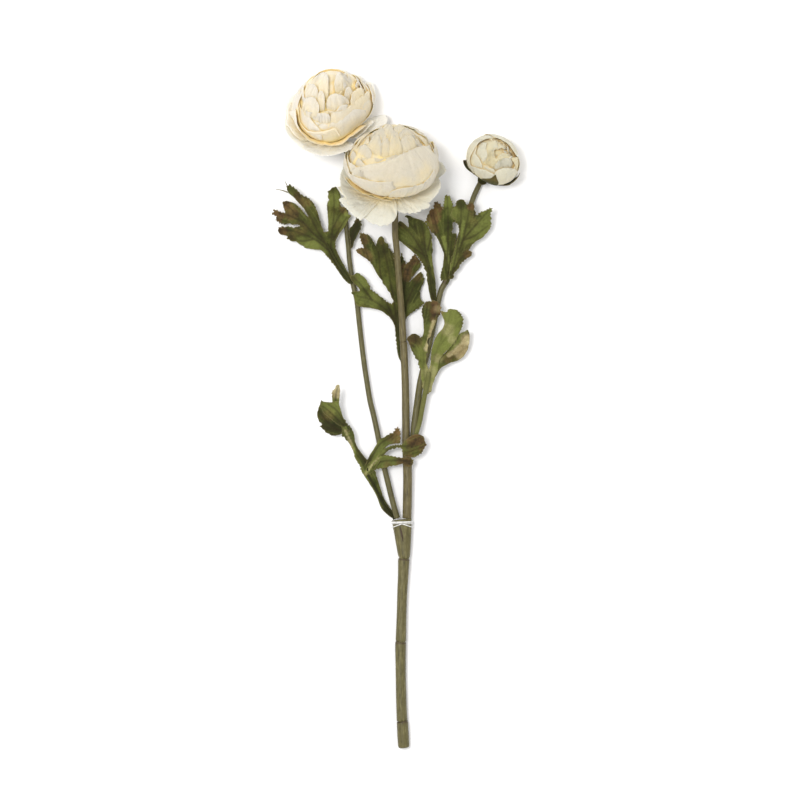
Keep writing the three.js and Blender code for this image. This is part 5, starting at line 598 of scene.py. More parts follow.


# One fabric for both heads. Flower A's copies are brighter and flower B's outer copy darker, painted light set to the
# light on each head; the outer copies' paler, cooler tone is partly the outer petals' own.
PETAL = petal_material("petal_cream", srgb(206, 198, 178), srgb(222, 206, 166), srgb(245, 219, 138))
OUTER = petal_material("petal_outer", srgb(214, 212, 196), srgb(221, 216, 194), srgb(246, 226, 168))
PETAL2 = petal_material("petal_cream_painted_light", srgb(224, 217, 201), srgb(235, 220, 185), srgb(248, 221, 138))
OUTER2 = petal_material("petal_outer_painted_light", srgb(242, 240, 230), srgb(243, 239, 222), srgb(252, 234, 182))
BUDMAT = petal_material("petal_bud", srgb(207, 203, 180), srgb(215, 203, 162), srgb(232, 205, 140))
LEAF = leaf_material()
STEM = stem_material("stem_olive", srgb(64, 59, 30), srgb(92, 86, 50), srgb(120, 113, 73))
STEM2 = stem_material("stem_brownish", srgb(66, 57, 32), srgb(93, 84, 51), srgb(118, 108, 70))
STEM3 = stem_material("stem_branch", srgb(58, 55, 29), srgb(84, 79, 44), srgb(110, 104, 64))


def tie_material():
    m, nt, b = new_mat("tie_white")
    obj = nt.nodes.new("ShaderNodeTexCoord").outputs["Object"]
    n = texture(nt, "ShaderNodeTexNoise", 600.0, obj, Detail=3.0).outputs["Fac"]
    nt.links.new(ramp(nt, n, [(0.3, srgb(196, 195, 194)), (0.6, srgb(228, 227, 224))]), b.inputs["Base Color"])
    b.inputs["Roughness"].default_value = 0.55
    bump(nt, b, n, 0.3, 0.0003)
    return m


TIEMAT = tie_material()


# ------------------------------------------------------------------ stems
def knuckles(rows, marks):
    """A tube shape with fine ribs, slight swellings and a moulding seam."""
    def shape(d, th):
        ribs = 1 + 0.010 * np.sin(th * 9 + 0.02 * d) + 0.006 * np.sin(th * 17 + 0.05 * d)
        lump = 1 + 0.022 * fbm(d / 16.0 + 3.1, np.cos(th) * 0.9, np.sin(th) * 0.9, seed=5)
        seam = 1 + 0.012 * np.exp(-(np.minimum(np.abs(th - 1.1), np.abs(th - 4.25)) / 0.07) ** 2)
        return ribs * lump * seam
    return shape


def stem_object(name, cad_node, rows, mat, slot, grooves, dense=5, sides=32, extra=None):
    v, f, at = tube(rows, sides=sides, dense=dense, shape=knuckles(rows, grooves))
    g = np.zeros(len(v))
    for d0, w in grooves:
        g = np.maximum(g, np.exp(-((at["along"] - d0) / w) ** 2))
    at["groove"] = g
    bag = Bag()
    bag.add(v, f, at)
    if extra:
        extra(bag)
    return bag.make(name, mat, replaces=(cad_node,), slot=slot)


def arc_of(rows, y):
    """Length along rows at which it passes the given y."""
    P = np.array([r[:3] for r in rows], float)
    d = np.concatenate([[0], np.cumsum(np.linalg.norm(np.diff(P, axis=0), axis=1))])
    return float(np.interp(y, P[:, 1], d))


def head_frame(h):
    az, el = math.radians(h["az"]), math.radians(h["el"])
    w = np.array([math.cos(az) * math.cos(el), math.sin(az) * math.cos(el), math.sin(el)])
    u = np.array([math.sin(az), -math.cos(az), 0.0])
    return np.array(h["base"], float), u, np.cross(w, u), w


def into_head(head, rows):
    o, u, v, w = head_frame(head)
    out = [list(r) for r in rows]
    for h, r in ((-3.2, head["stem_r"]), (-1.2, head["stem_r"]), (-1.0, 1.3), (head["peg"], 1.15)):
        out.append([*(o + w * h), r])
    return out


def fatter(rows, g):
    """Rows of a tube made g mm thicker and lifted as much, so that they rest where they did."""
    return [[q[0], q[1], q[2] + g, q[3] + g] + [w + g for w in q[4:]] for q in rows]


MAIN = [fatter([q], 0.35 if q[3] < 4.6 else 0.1)[0] for q in MAIN]
CENTRE, LEFT = fatter(CENTRE, 0.28), fatter(LEFT, 0.28)
RIGHT = [fatter([q], 0.45 if q[1] > 30 else 0.75)[0] for q in RIGHT]
LEAVES["leaf_lower_right"]["petiole"] = fatter(LEAVES["leaf_lower_right"]["petiole"], 0.8)
rows_c, rows_l, rows_r = into_head(HEADS["b"], CENTRE), into_head(HEADS["a"], LEFT), into_head(HEADS["bud"], RIGHT)
yy = lambda py: (396.0 - py) * 0.82 + CAM[1]
def slit(bag):
    """A thin dark strip laid on the stem where the stems part: painted shade standing for the narrow shadowed gap
    between them.
    """
    rows = [[(px - 398.5) * 0.82 + CAM[0], yy(py), z, w, 0.25] for px, py, z, w in
            ((399.9, 526.6, 11.15, 0.25), (400.6, 529, 11.22, 0.70), (401.3, 532, 11.30, 0.80), (402.0, 535.5, 11.36, 0.70), (402.9, 541.0, 11.42, 0.15))]
    v, f, at = tube(rows, sides=10, dense=4)
    # groove 1.3 paints the strip dark brown as painted shade
    at["groove"] = np.full(len(v), 1.3)
    bag.add(v, f, at)


stem_object("main_stem_skin", "main_stem", MAIN, STEM, "stem_plastic", [(arc_of(MAIN, yy(q)), 0.8) for q in (721.2, 641.4, 557.7)], dense=4, sides=40, extra=slit)
stem_object("centre_stem_skin", "centre_stem", rows_c, STEM2, "stem_brown", [(arc_of(rows_c, yy(341.2)), 1.0)], dense=5)
stem_object("left_branch_skin", "left_branch", rows_l, STEM3, "stem_branch", [], dense=4, sides=24)
stem_object("right_branch_skin", "right_branch", rows_r, STEM3, "stem_branch", [(arc_of(rows_r, yy(282.8)), 1.2)], dense=4, sides=24)


# ------------------------------------------------------------------ tie
def ribbon_loop(bag, cx, cy, cz, a, b, width, thick, slant=0.0, start=0.0, turns=1.0, n=120, wob=0.0, arch=0.0):
    """A flat strip wound round an ellipse in the XZ plane, width along Y."""
    th = np.linspace(start, start + 2 * math.pi * turns, n)
    c = np.stack([cx + a * np.cos(th), cy + slant * np.cos(th) + wob * np.sin(2 * th) + arch * (1 - np.abs(np.cos(th))), cz + b * np.sin(th)], 1)
    out = np.stack([np.cos(th) / a, np.zeros(n), np.sin(th) / b], 1)
    out /= np.linalg.norm(out, axis=1, keepdims=True)
    wdir = np.array([0, 1.0, 0])
    prof = [(-0.5, -0.5), (-0.5, 0.35), (-0.38, 0.5), (0.38, 0.5), (0.5, 0.35), (0.5, -0.5)]
    P = np.stack([c + wdir * (p[0] * width) + out * (p[1] * thick) for p in prof], 1)
    m = len(prof)
    faces = [(i * m + j, i * m + (j + 1) % m, (i + 1) * m + (j + 1) % m, (i + 1) * m + j) for i in range(n - 1) for j in range(m)]
    faces += [tuple(range(m - 1, -1, -1)), tuple((n - 1) * m + j for j in range(m))]
    bag.add(P.reshape(-1, 3), faces, {})


tie = Bag()
o, i_ = TIE["outer"], TIE["inner"]
tcx, tcz = (o[0][0] + o[1][0]) / 2, o[0][2]
ribbon_loop(tie, tcx, yy(521.6), tcz, 8.75, 5.3, 1.15, 0.5, wob=0.12)
ribbon_loop(tie, tcx, yy(523.2), tcz, 8.70, 5.25, 0.55, 0.4, wob=-0.15, slant=0.2)
ribbon_loop(tie, tcx, yy(526.9), tcz + 0.05, 8.45, 5.0, 0.7, 0.4, slant=0.2, arch=3.0)
tie.make("tie_strip", TIEMAT, replaces=("tie_band",), slot="tie")


# ------------------------------------------------------------------ leaves
def height_at(marks, x, y):
    M = np.array(marks, float)
    d2 = (x[:, None] - M[:, 0]) ** 2 + (y[:, None] - M[:, 1]) ** 2 + 4
    w = d2 ** -1.6
    return (w * M[:, 2]).sum(1) / w.sum(1)


def dist_poly(px, py, poly, closed=False):
    """Distance to a polyline, and how far along it the nearest point lies (0..1)."""
    P = np.array(poly, float)
    if closed:
        P = np.vstack([P, P[:1]])
    best = np.full(px.shape, 1e9)
    along = np.zeros(px.shape)
    L = np.concatenate([[0], np.cumsum(np.linalg.norm(np.diff(P, axis=0), axis=1))])
    for k in range(len(P) - 1):
        a, b = P[k], P[k + 1]
        ab = b - a
        q = np.clip(((px - a[0]) * ab[0] + (py - a[1]) * ab[1]) / max(ab @ ab, 1e-9), 0, 1)
        d = np.hypot(px - a[0] - q * ab[0], py - a[1] - q * ab[1])
        m = d < best
        best = np.where(m, d, best)
        along = np.where(m, (L[k] + q * (L[k + 1] - L[k])) / L[-1], along)
    return best, along


def inside(px, py, poly):
    P = np.array(poly, float)
    r = np.zeros(px.shape, bool)
    for k in range(len(P)):
        (x0, y0), (x1, y1) = P[k], P[(k + 1) % len(P)]
        c = ((y0 > py) != (y1 > py)) & (px < (x1 - x0) * (py - y0) / (y1 - y0 + 1e-12) + x0)
        r ^= c
    return r


def sheet_mesh(bag, sheet, tint, seed, thick=0.45, step=0.95, lift=0.0, jag=0.34, curl=1.0, teeth=1.7, veiny=1.0):
    """One cut blade: its outline smoothed and slightly frayed, filled with fine triangles, creased
    along its veins, its edges curled, and closed to a thin solid."""
    O = catmull(np.array(sheet["outline"], float), 4, closed=True)
    seg = np.linalg.norm(np.diff(np.vstack([O, O[:1]]), axis=0), axis=1)
    keep, run = [], 1e9
    for k in range(len(O)):
        if run > 0.55:
            keep.append(k)
            run = 0
        run += seg[k]
    O = O[keep]
    nrm = np.stack([np.roll(O[:, 1], -1) - np.roll(O[:, 1], 1), -(np.roll(O[:, 0], -1) - np.roll(O[:, 0], 1))], 1)
    nrm /= np.maximum(np.linalg.norm(nrm, axis=1, keepdims=True), 1e-6)
    run = np.concatenate([[0], np.cumsum(np.linalg.norm(np.diff(O, axis=0), axis=1))])
    pace = 2.6 + 0.9 * vnoise(run * 0.05, 0 * run, seed=seed + 50)
    tooth = np.modf(np.cumsum(np.concatenate([[0], np.diff(run)]) / pace))[0]
    amount = teeth * smooth(-0.25, 0.45, fbm(O[:, 0] * 0.07, O[:, 1] * 0.07, seed=seed + 51))
    O = O + nrm * (jag * fbm(O[:, 0] * 0.9, O[:, 1] * 0.9, seed=seed, octaves=3) + amount * (tooth - 0.5))[:, None]
    lo, hi = O.min(0), O.max(0)
    gx, gy = np.meshgrid(np.arange(lo[0], hi[0], step), np.arange(lo[1], hi[1], step * 0.9))
    gx = gx + (np.arange(gx.shape[0]) % 2)[:, None] * step / 2
    gx, gy = gx.ravel(), gy.ravel()
    gx = gx + 0.18 * vnoise(gx * 3.1, gy * 3.3, seed=seed + 3)
    gy = gy + 0.18 * vnoise(gx * 2.9, gy * 3.7, seed=seed + 4)
    ok = inside(gx, gy, O)
    gx, gy = gx[ok], gy[ok]
    d, _ = dist_poly(gx, gy, O, closed=True)
    ok = d > 0.40
    gx, gy = gx[ok], gy[ok]
    pts = [Vector((float(x), float(y))) for x, y in O] + [Vector((float(x), float(y))) for x, y in zip(gx, gy)]
    n = len(O)
    edges = [(k, (k + 1) % n) for k in range(n)]
    V, E, F, *_ = geometry.delaunay_2d_cdt(pts, edges, [], 1, 1e-6)
    V = np.array([(v.x, v.y) for v in V])
    F = [tuple(f) for f in F if len(f) == 3]
    # only triangles whose middle is inside
    mid = np.array([V[list(f)].mean(0) for f in F])
    good = inside(mid[:, 0], mid[:, 1], O)
    F = [f for f, g in zip(F, good) if g]
    used = sorted({i for f in F for i in f})
    remap = {o: k for k, o in enumerate(used)}
    V = V[used]
    F = [tuple(remap[i] for i in f) for f in F]
    F = [f if ((V[f[1]] - V[f[0]])[0] * (V[f[2]] - V[f[0]])[1] - (V[f[1]] - V[f[0]])[1] * (V[f[2]] - V[f[0]])[0]) > 0 else (f[0], f[2], f[1]) for f in F]
    x, y = V[:, 0], V[:, 1]
    de, _ = dist_poly(x, y, O, closed=True)
    z = height_at(sheet["marks"], x, y) + lift
    vein = np.zeros(len(x))
    ridge = np.zeros(len(x))
    for k, vl in enumerate(sheet["veins"]):
        dv, al = dist_poly(x, y, catmull(np.array(vl, float), 4))
        wv = 1.0 if k == 0 else 0.8
        wv = wv * (1.15 - 0.5 * al)
        vein = np.maximum(vein, np.exp(-(dv / wv) ** 2) * (1 - 0.35 * al))
        ridge = np.maximum(ridge, np.exp(-(dv / 1.6) ** 2) * (1 - 0.4 * al))
    # small side veins
    if sheet["veins"]:
        allv = np.min([dist_poly(x, y, vl)[0] for vl in sheet["veins"]], axis=0)
        ang = fbm(x * 0.05, y * 0.05, seed=seed + 9)
        sv = np.abs(np.sin((x * 0.9 + y * 0.6) * 0.55 + 3 * ang + allv * 0.8))
        vein = np.maximum(vein, 0.28 * smooth(0.90, 1.0, sv) * smooth(0.3, 1.5, de))
    z = z - 0.85 * ridge * smooth(0.0, 2.0, de)
    # long pressed folds that run beside the veins, their crests kept as streak for a painted highlight
    if sheet["veins"]:
        fold = np.sin(allv * 2.1 + 2.0 * fbm(x * 0.09, y * 0.09, seed=seed + 60)) * smooth(0.6, 2.2, allv)
        z = z + 0.34 * fold * smooth(0.2, 1.6, de)
        streak = smooth(0.35, 0.95, fold) * smooth(0.5, 1.5, de)
    else:
        streak = 0 * x
    z = z + 0.35 * smooth(1.2, 4.0, np.minimum(de, 4.0)) * 0
    z = z + curl * (0.85 * fbm(x * 0.10, y * 0.10, seed=seed + 20) + 0.40 * fbm(x * 0.33, y * 0.33, seed=seed + 21))
    z = z + curl * 0.8 * np.exp(-(de / 1.3) ** 2) * fbm(x * 0.16, y * 0.16, seed=seed + 22)
    z = np.maximum(z, 0.5)
    # tint masks: brown and tan are the cloth's own marks; light and dark are partly its own tone and partly painted
    # highlight and painted shade
    t = {}
    for key in ("brown", "light", "dark", "tan"):
        a = np.zeros(len(x))
        for mx, my, r, s in tint[key]:
            dd = np.hypot(x - mx, y - my)
            a = np.maximum(a, s * (1 - smooth(0.55 * r, 1.15 * r, dd + 0.30 * r * fbm(x * 0.25, y * 0.25, seed=seed + 31))))
        t[key] = a
    # slightly drier rims
    t["brown"] = np.clip(np.maximum(t["brown"], 0.45 * np.exp(-(de / 0.7) ** 2) * (0.5 + 0.5 * fbm(x * 0.3, y * 0.3, seed=seed + 5))), 0, 1)
    N = len(V)
    th = thick * (0.55 + 0.45 * smooth(0, 1.2, de)) + 0.35 * vein
    top = np.stack([x, y, z + th / 2], 1)
    bot = np.stack([x, y, z - th / 2], 1)
    faces = list(F) + [(N + a, N + c, N + b) for a, b, c in F]
    cnt = {}
    for a, b, c in F:
        for p, q in ((a, b), (b, c), (c, a)):
            cnt[(p, q)] = cnt.get((p, q), 0) + 1
    for (p, q) in cnt:
        if (q, p) not in cnt:
            faces.append((p, N + p, N + q, q))
    dup = lambda a: np.concatenate([a, a])
    at = {"vein": dup(vein * veiny), "streak": dup(streak), "edge": dup(np.exp(-(de / 0.45) ** 2)), "side": np.concatenate([np.zeros(N), np.ones(N)])}
    for k in t:
        at[k] = dup(t[k])
    bag.add(np.vstack([top, bot]), faces, at)


SLOT_LEAF = "leaf_fabric"
for li, (name, spec) in enumerate(LEAVES.items()):
    bag = Bag()
    for si, sh in enumerate(spec["sheets"]):
        sheet_mesh(bag, sh, spec["tint"], 100 + 40 * li + 7 * si, lift=0.04 * si, curl=0.55 if name == "bract_left" else 1.0, veiny=0.4 if name == "leaf_lower_right" else 1.0)
    if name == "leaf_upper_left":
        for line in (((285.4, 182.2), (286.8, 184.8), (288.2, 187.8)), ((276.4, 190.6), (279.5, 190.9), (284, 191.9), (288.6, 193.6))):
            rows = [[(px - 398.5) * 0.82 + CAM[0], (396.0 - py) * 0.82 + CAM[1], 14.6, 0.22 + 0.1 * q] for q, (px, py) in enumerate(line)]
            v, f, at = tube(rows, sides=6, dense=3)
            k = len(v)
            bag.add(v, f, {"dark": np.full(k, 0.5), "tan": np.full(k, 0.35)})
    if spec["petiole"]:
        rows = [list(r) for r in spec["petiole"]]
        v, f, at = tube(rows, sides=14, dense=6)
        k = len(v)
        # petiole tints: darker on the lower-left stalk, partly painted shade under the main stem, and lighter and paler
        # on the lower-right one
        at = {"vein": 0.35 * np.ones(k), "dark": np.full(k, {"leaf_lower_left": 0.9, "leaf_lower_right": 0.12}.get(name, 0.35)), "light": np.full(k, 0.8 if name == "leaf_lower_right" else 0.0), "tan": np.full(k, 0.16 if name == "leaf_lower_right" else 0.0)}
        bag.add(v, f, at)
    bag.make(name + "_blade", LEAF, replaces=(name,), slot=SLOT_LEAF)


# ------------------------------------------------------------------ petals
def profile(L, reach, phi):
    """Radius and height on a round at share `reach` of its length."""
    if "front" in L:
        back = np.maximum(0, np.sin(phi)) ** 2
        front = np.maximum(0, -np.sin(phi)) ** 2
        side = 1 - back - front
        r = h = 0
        for key, w in (("front", front), ("side", side), ("back", back)):
            C = catmull(np.array(L[key], float), 8)
            s = np.clip(reach, 0, 1.12) * (len(C) - 1)
            i = np.clip(np.floor(s).astype(int), 0, len(C) - 2)
            f = (s - i)[..., None]
            p = C[i] * (1 - f) + C[i + 1] * f
            r = r + w * p[..., 0]
            h = h + w * p[..., 1]
        return r, h
    psi = np.radians(reach * L["psi"])
    return HOLE_R + (L["a"] - HOLE_R) * np.sin(psi), L["h0"] + L["b"] * (1 - np.cos(psi))


def dent(head, phi, r):
    k = np.ones(np.broadcast(phi, r).shape)
    for c, s, w in head.get("dents") or []:
        g = phi - math.radians(c)
        g = np.arctan2(np.sin(g), np.cos(g))
        k = k * (1 - s * np.exp(-((g / math.radians(w)) ** 2)) * np.minimum(1, r / 12))
    return k


def on_round(head, L, marks, span, tmax=1.6):
    """Where on a round the sight lines through the marks (x, y on the surface z = 0) meet it:
    angle and reach, the nearest meeting to the eye inside the span of angles."""
    o, U, V, W = head_frame(head)
    ph = np.radians(np.linspace(span[0], span[1], 181))[None, :]
    t = np.linspace(0.15, tmax, 160)[:, None]
    r, h = profile(L, t + 0 * ph, ph + 0 * t)
    r = np.maximum(r, HOLE_R * 0.6) * dent(head, ph, r)
    P = o + (r * np.cos(ph))[..., None] * U + (r * np.sin(ph))[..., None] * V + h[..., None] * W
    eye = np.array(CAM, float)
    k = eye[2] / (eye[2] - P[..., 2])
    X, Y = eye[0] + (P[..., 0] - eye[0]) * k, eye[1] + (P[..., 1] - eye[1]) * k
    out = []
    for mx, my in marks:
        d = np.hypot(X - mx, Y - my)
        lim = max(1.0, d.min() * 1.05)
        z = np.where(d <= lim, P[..., 2] - 2.0 * d, -1e9)
        a = np.unravel_index(np.argmax(z), z.shape)
        out.append((float(ph[0, a[1]]), float(t[a[0], 0])))
    return np.array(out)


def petal(bag, head, L, phi=0.0, half=40.0, reach=1.0, out=0.0, tilt=0.8, cup=0.0, ruffle=0.8, freq=2.2, curl=0.0, notch=0.04, round_=0.22, power=3.0,
          skew=0.0, seed=1, nu=34, nv=26, thick=0.36, narrow=0.55, fray=0.25, droop=0.0, crease=0.5, base=0.0, lean=0.0, grow=0.0, hshift=0.0, fold=None,
          rim=None, span=(180, 360), deep=0.0, wave=0.35, mid=0.0, tmax=1.6, sag=0.0, pleat=0.0, pf=4.0):
    """One fabric petal lying on its round: phi and half width in degrees, reach as a share of the
    round's length (or a rim given by marks), pushed out by `out` mm, one side tucked under its
    neighbour by `tilt`."""
    o, U, V, W = head_frame(head)
    u = np.linspace(-1, 1, nu)[None, :]
    v = np.linspace(0, 1, nv)[:, None] ** 0.92
    rng = seed * 13.7
    frayed = 0.020 * fray * vnoise(u * 26 + rng, 0 * u, seed=seed + 1) + fray * 0.014 * vnoise(u * 61 + rng, 0 * u, seed=seed + 2)
    width = narrow + (1 - narrow) * smooth(0.0, 0.62, v)
    if rim is None:
        shape = 1 - round_ * np.abs(u - skew * 0.3) ** power - notch * np.exp(-((u - skew) / 0.16) ** 2)
        shape = shape + 0.035 * fbm(u * 2.2 + rng, 0 * u, seed=seed) + frayed
        t = (base + (1 - base) * v) * shape * reach
        ang = np.radians(phi + half * u * width + lean * v * v) + 0 * t
    else:
        M = on_round(head, L, rim, span, tmax)
        M = catmull(M, 10)
        l = np.concatenate([[0], np.cumsum(np.hypot(np.diff(M[:, 0]) * 1.0, np.diff(M[:, 1])))])
        l = l / l[-1] * 2 - 1
        a_rim = np.interp(u[0], l, M[:, 0])[None, :]
        t_rim = (np.interp(u[0], l, M[:, 1])[None, :] + frayed) * (1 - 0.18 * smooth(0.86, 1.0, np.abs(u)))
        mean = 0.5 * (a_rim.min() + a_rim.max())
        shape = t_rim / t_rim.max()
        t = base + (t_rim - base) * v
        ang = mean + (a_rim - mean) * width + 0 * t
    r, h = profile(L, t, ang)
    r = np.maximum(r, HOLE_R * 0.6)
    r = r * dent(head, ang, r)
    e = 1e-3
    r2, h2 = profile(L, t + e, ang)
    r2 = np.maximum(r2, HOLE_R * 0.6) * dent(head, ang, r2)
    tr, th_ = r2 - r, h2 - h
    l = np.hypot(tr, th_) + 1e-12
    nr, nh = th_ / l, -tr / l          # outward normal of the round
    vv = v + 0 * u
    d = out * smooth(0.0, 0.5, vv) + tilt * u * smooth(0.05, 0.7, vv)
    d = d + cup * (u * u - 0.33) * smooth(0.2, 0.9, vv)
    d = d + ruffle * smooth(0.45, 1.0, vv) ** 1.5 * np.sin(freq * math.pi * (u + 0.37 * fbm(u * 1.3 + rng, vv * 1.1, seed=seed + 5)) + rng)
    d = d + 0.9 * ruffle * fbm(u * 2.0 + rng, vv * 2.4, seed=seed + 6) * smooth(0.15, 0.8, vv)
    if pleat:
        amp = pleat * (0.75 + 0.5 * vnoise(u * 2.7 + rng, 0 * u, seed=seed + 40))
        s_ = np.sin(pf * math.pi * (u + 0.30 * vnoise(u * 1.9 + rng, 0 * u, seed=seed + 41)) + rng + 0.5 * vnoise(u * 2.0 + rng, vv * 1.5, seed=seed + 42))
        d = d + amp * smooth(0.25, 0.85, vv) * (1 - 0.35 * smooth(0.8, 1.0, vv)) * s_
    d = d + wave * 1.6 * fbm(u * 3.3 + rng, vv * 3.1 + rng, seed=seed + 8) * smooth(0.1, 0.5, vv)
    d = d + wave * fbm(u * 6.0 + rng, vv * 7.0, seed=seed + 7) * smooth(0.1, 0.5, vv)
    d = d + curl * smooth(0.72, 1.0, vv) ** 2 + mid * np.sin(math.pi * vv) * (1 - u * u)
    # a few long soft creases from the base
    for k in range(3):
        c = -0.75 + 0.75 * k + 0.3 * math.sin(rng * (k + 2))
        path = c + 0.25 * math.sin(rng + k * 2.1) * vv
        d = d - crease * np.exp(-((u - path) / 0.07) ** 2) * smooth(0.1, 0.4, vv) * (1 - 0.6 * smooth(0.7, 1.0, vv))
    if fold is not None:
        for fu, fs, fw, fd in fold:
            q = (u - (fu + fs * (vv - 0.5))) / fw
            d = d + fd * np.exp(-q * q) * smooth(0.25, 0.75, vv)
    R = r + nr * d
    H = h + nh * d + hshift * vv - droop * smooth(0.55, 1.0, vv) ** 1.5
    R = R + grow * vv
    R = np.maximum(R, 0.4)
    P = o + (R * np.cos(ang))[..., None] * U + (R * np.sin(ang))[..., None] * V + H[..., None] * W
    P[..., 2] = np.maximum(P[..., 2] - sag * vv ** 2, 0.25)
    edge = np.maximum(np.exp(-((1 - vv) / 0.035)), np.exp(-((1 - np.abs(u)) / 0.05)) + 0 * vv)
    # deep shifts the colour towards the golden base: painted shade for the crescents seen between the layers
    at = {"v": np.clip(vv * (0.55 + 0.45 * shape) - deep, 0, 1), "u": u + 0 * vv, "edge": edge, "rnd": np.full(vv.shape, (seed * 0.6180339) % 1.0)}
    vt, ft, att = thick_grid(P, at, thick * (0.75 + 0.25 * (1 - edge)))
    bag.add(vt, ft, att)


def hub(bag, head, r0, h0, thick=0.5):
    """The small cut disc at the middle of a round, which joins its petals."""
    o, U, V, W = head_frame(head)
    a = np.linspace(0, 2 * math.pi, 25)[None, :]
    r = np.linspace(HOLE_R * 0.62, r0, 4)[:, None]
    P = o + (r * np.cos(a))[..., None] * U + (r * np.sin(a))[..., None] * V + (h0 + 0 * r * a)[..., None] * W
    vt, ft, att = thick_grid(P, {"v": 0 * r * a + 0.05, "u": 0 * r * a, "edge": 0 * r * a, "rnd": 0 * r * a + 0.5}, thick)
    bag.add(vt, ft, att)


def egg(bag, head, c, seed, ridges=5, amount=0.05, share=0.25, back=0.0):
    """A closed inner fold of cloth that fills a round from inside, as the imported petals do."""
    o, U, V, W = head_frame(head)
    NP, NT = 72, 30
    t = np.linspace(0.02, 0.98, NT)[:, None]
    p = np.linspace(0, 2 * math.pi, NP, endpoint=False)[None, :]
    psi = t * math.pi
    r = c["a"] * np.sin(psi) * (1 + amount * np.sin(ridges * p + 2.2 * fbm(np.cos(p) * 1.4 + seed, np.sin(p) * 1.4, t * 1.5, seed=seed + 3)) + 0.04 * fbm(np.cos(p) * 2 + seed, np.sin(p) * 2, t * 3, seed=seed))
    r = r * dent(head, p, r) * (1 + back * np.maximum(0, 0.35 + 0.65 * np.sin(p)))
    h = c["h0"] + c["b"] * (1 - np.cos(psi)) - c.get("pit", 0) * np.exp(-(((1 - t) / 0.16) ** 2)) + 0 * p
    P = o + (r * np.cos(p))[..., None] * U + (r * np.sin(p))[..., None] * V + h[..., None] * W
    n = NT * NP
    verts = np.vstack([P.reshape(-1, 3), P[0].mean(0), P[-1].mean(0)])
    faces = [(i * NP + j, (i + 1) * NP + j, (i + 1) * NP + (j + 1) % NP, i * NP + (j + 1) % NP) for i in range(NT - 1) for j in range(NP)]
    faces += [(n, j, (j + 1) % NP) for j in range(NP)] + [(n + 1, (NT - 1) * NP + (j + 1) % NP, (NT - 1) * NP + j) for j in range(NP)]
    k = len(verts)
    bag.add(verts, [f[::-1] for f in faces], {"v": np.full(k, share), "u": np.zeros(k), "edge": np.zeros(k), "side": np.ones(k), "rnd": np.full(k, 0.5)})


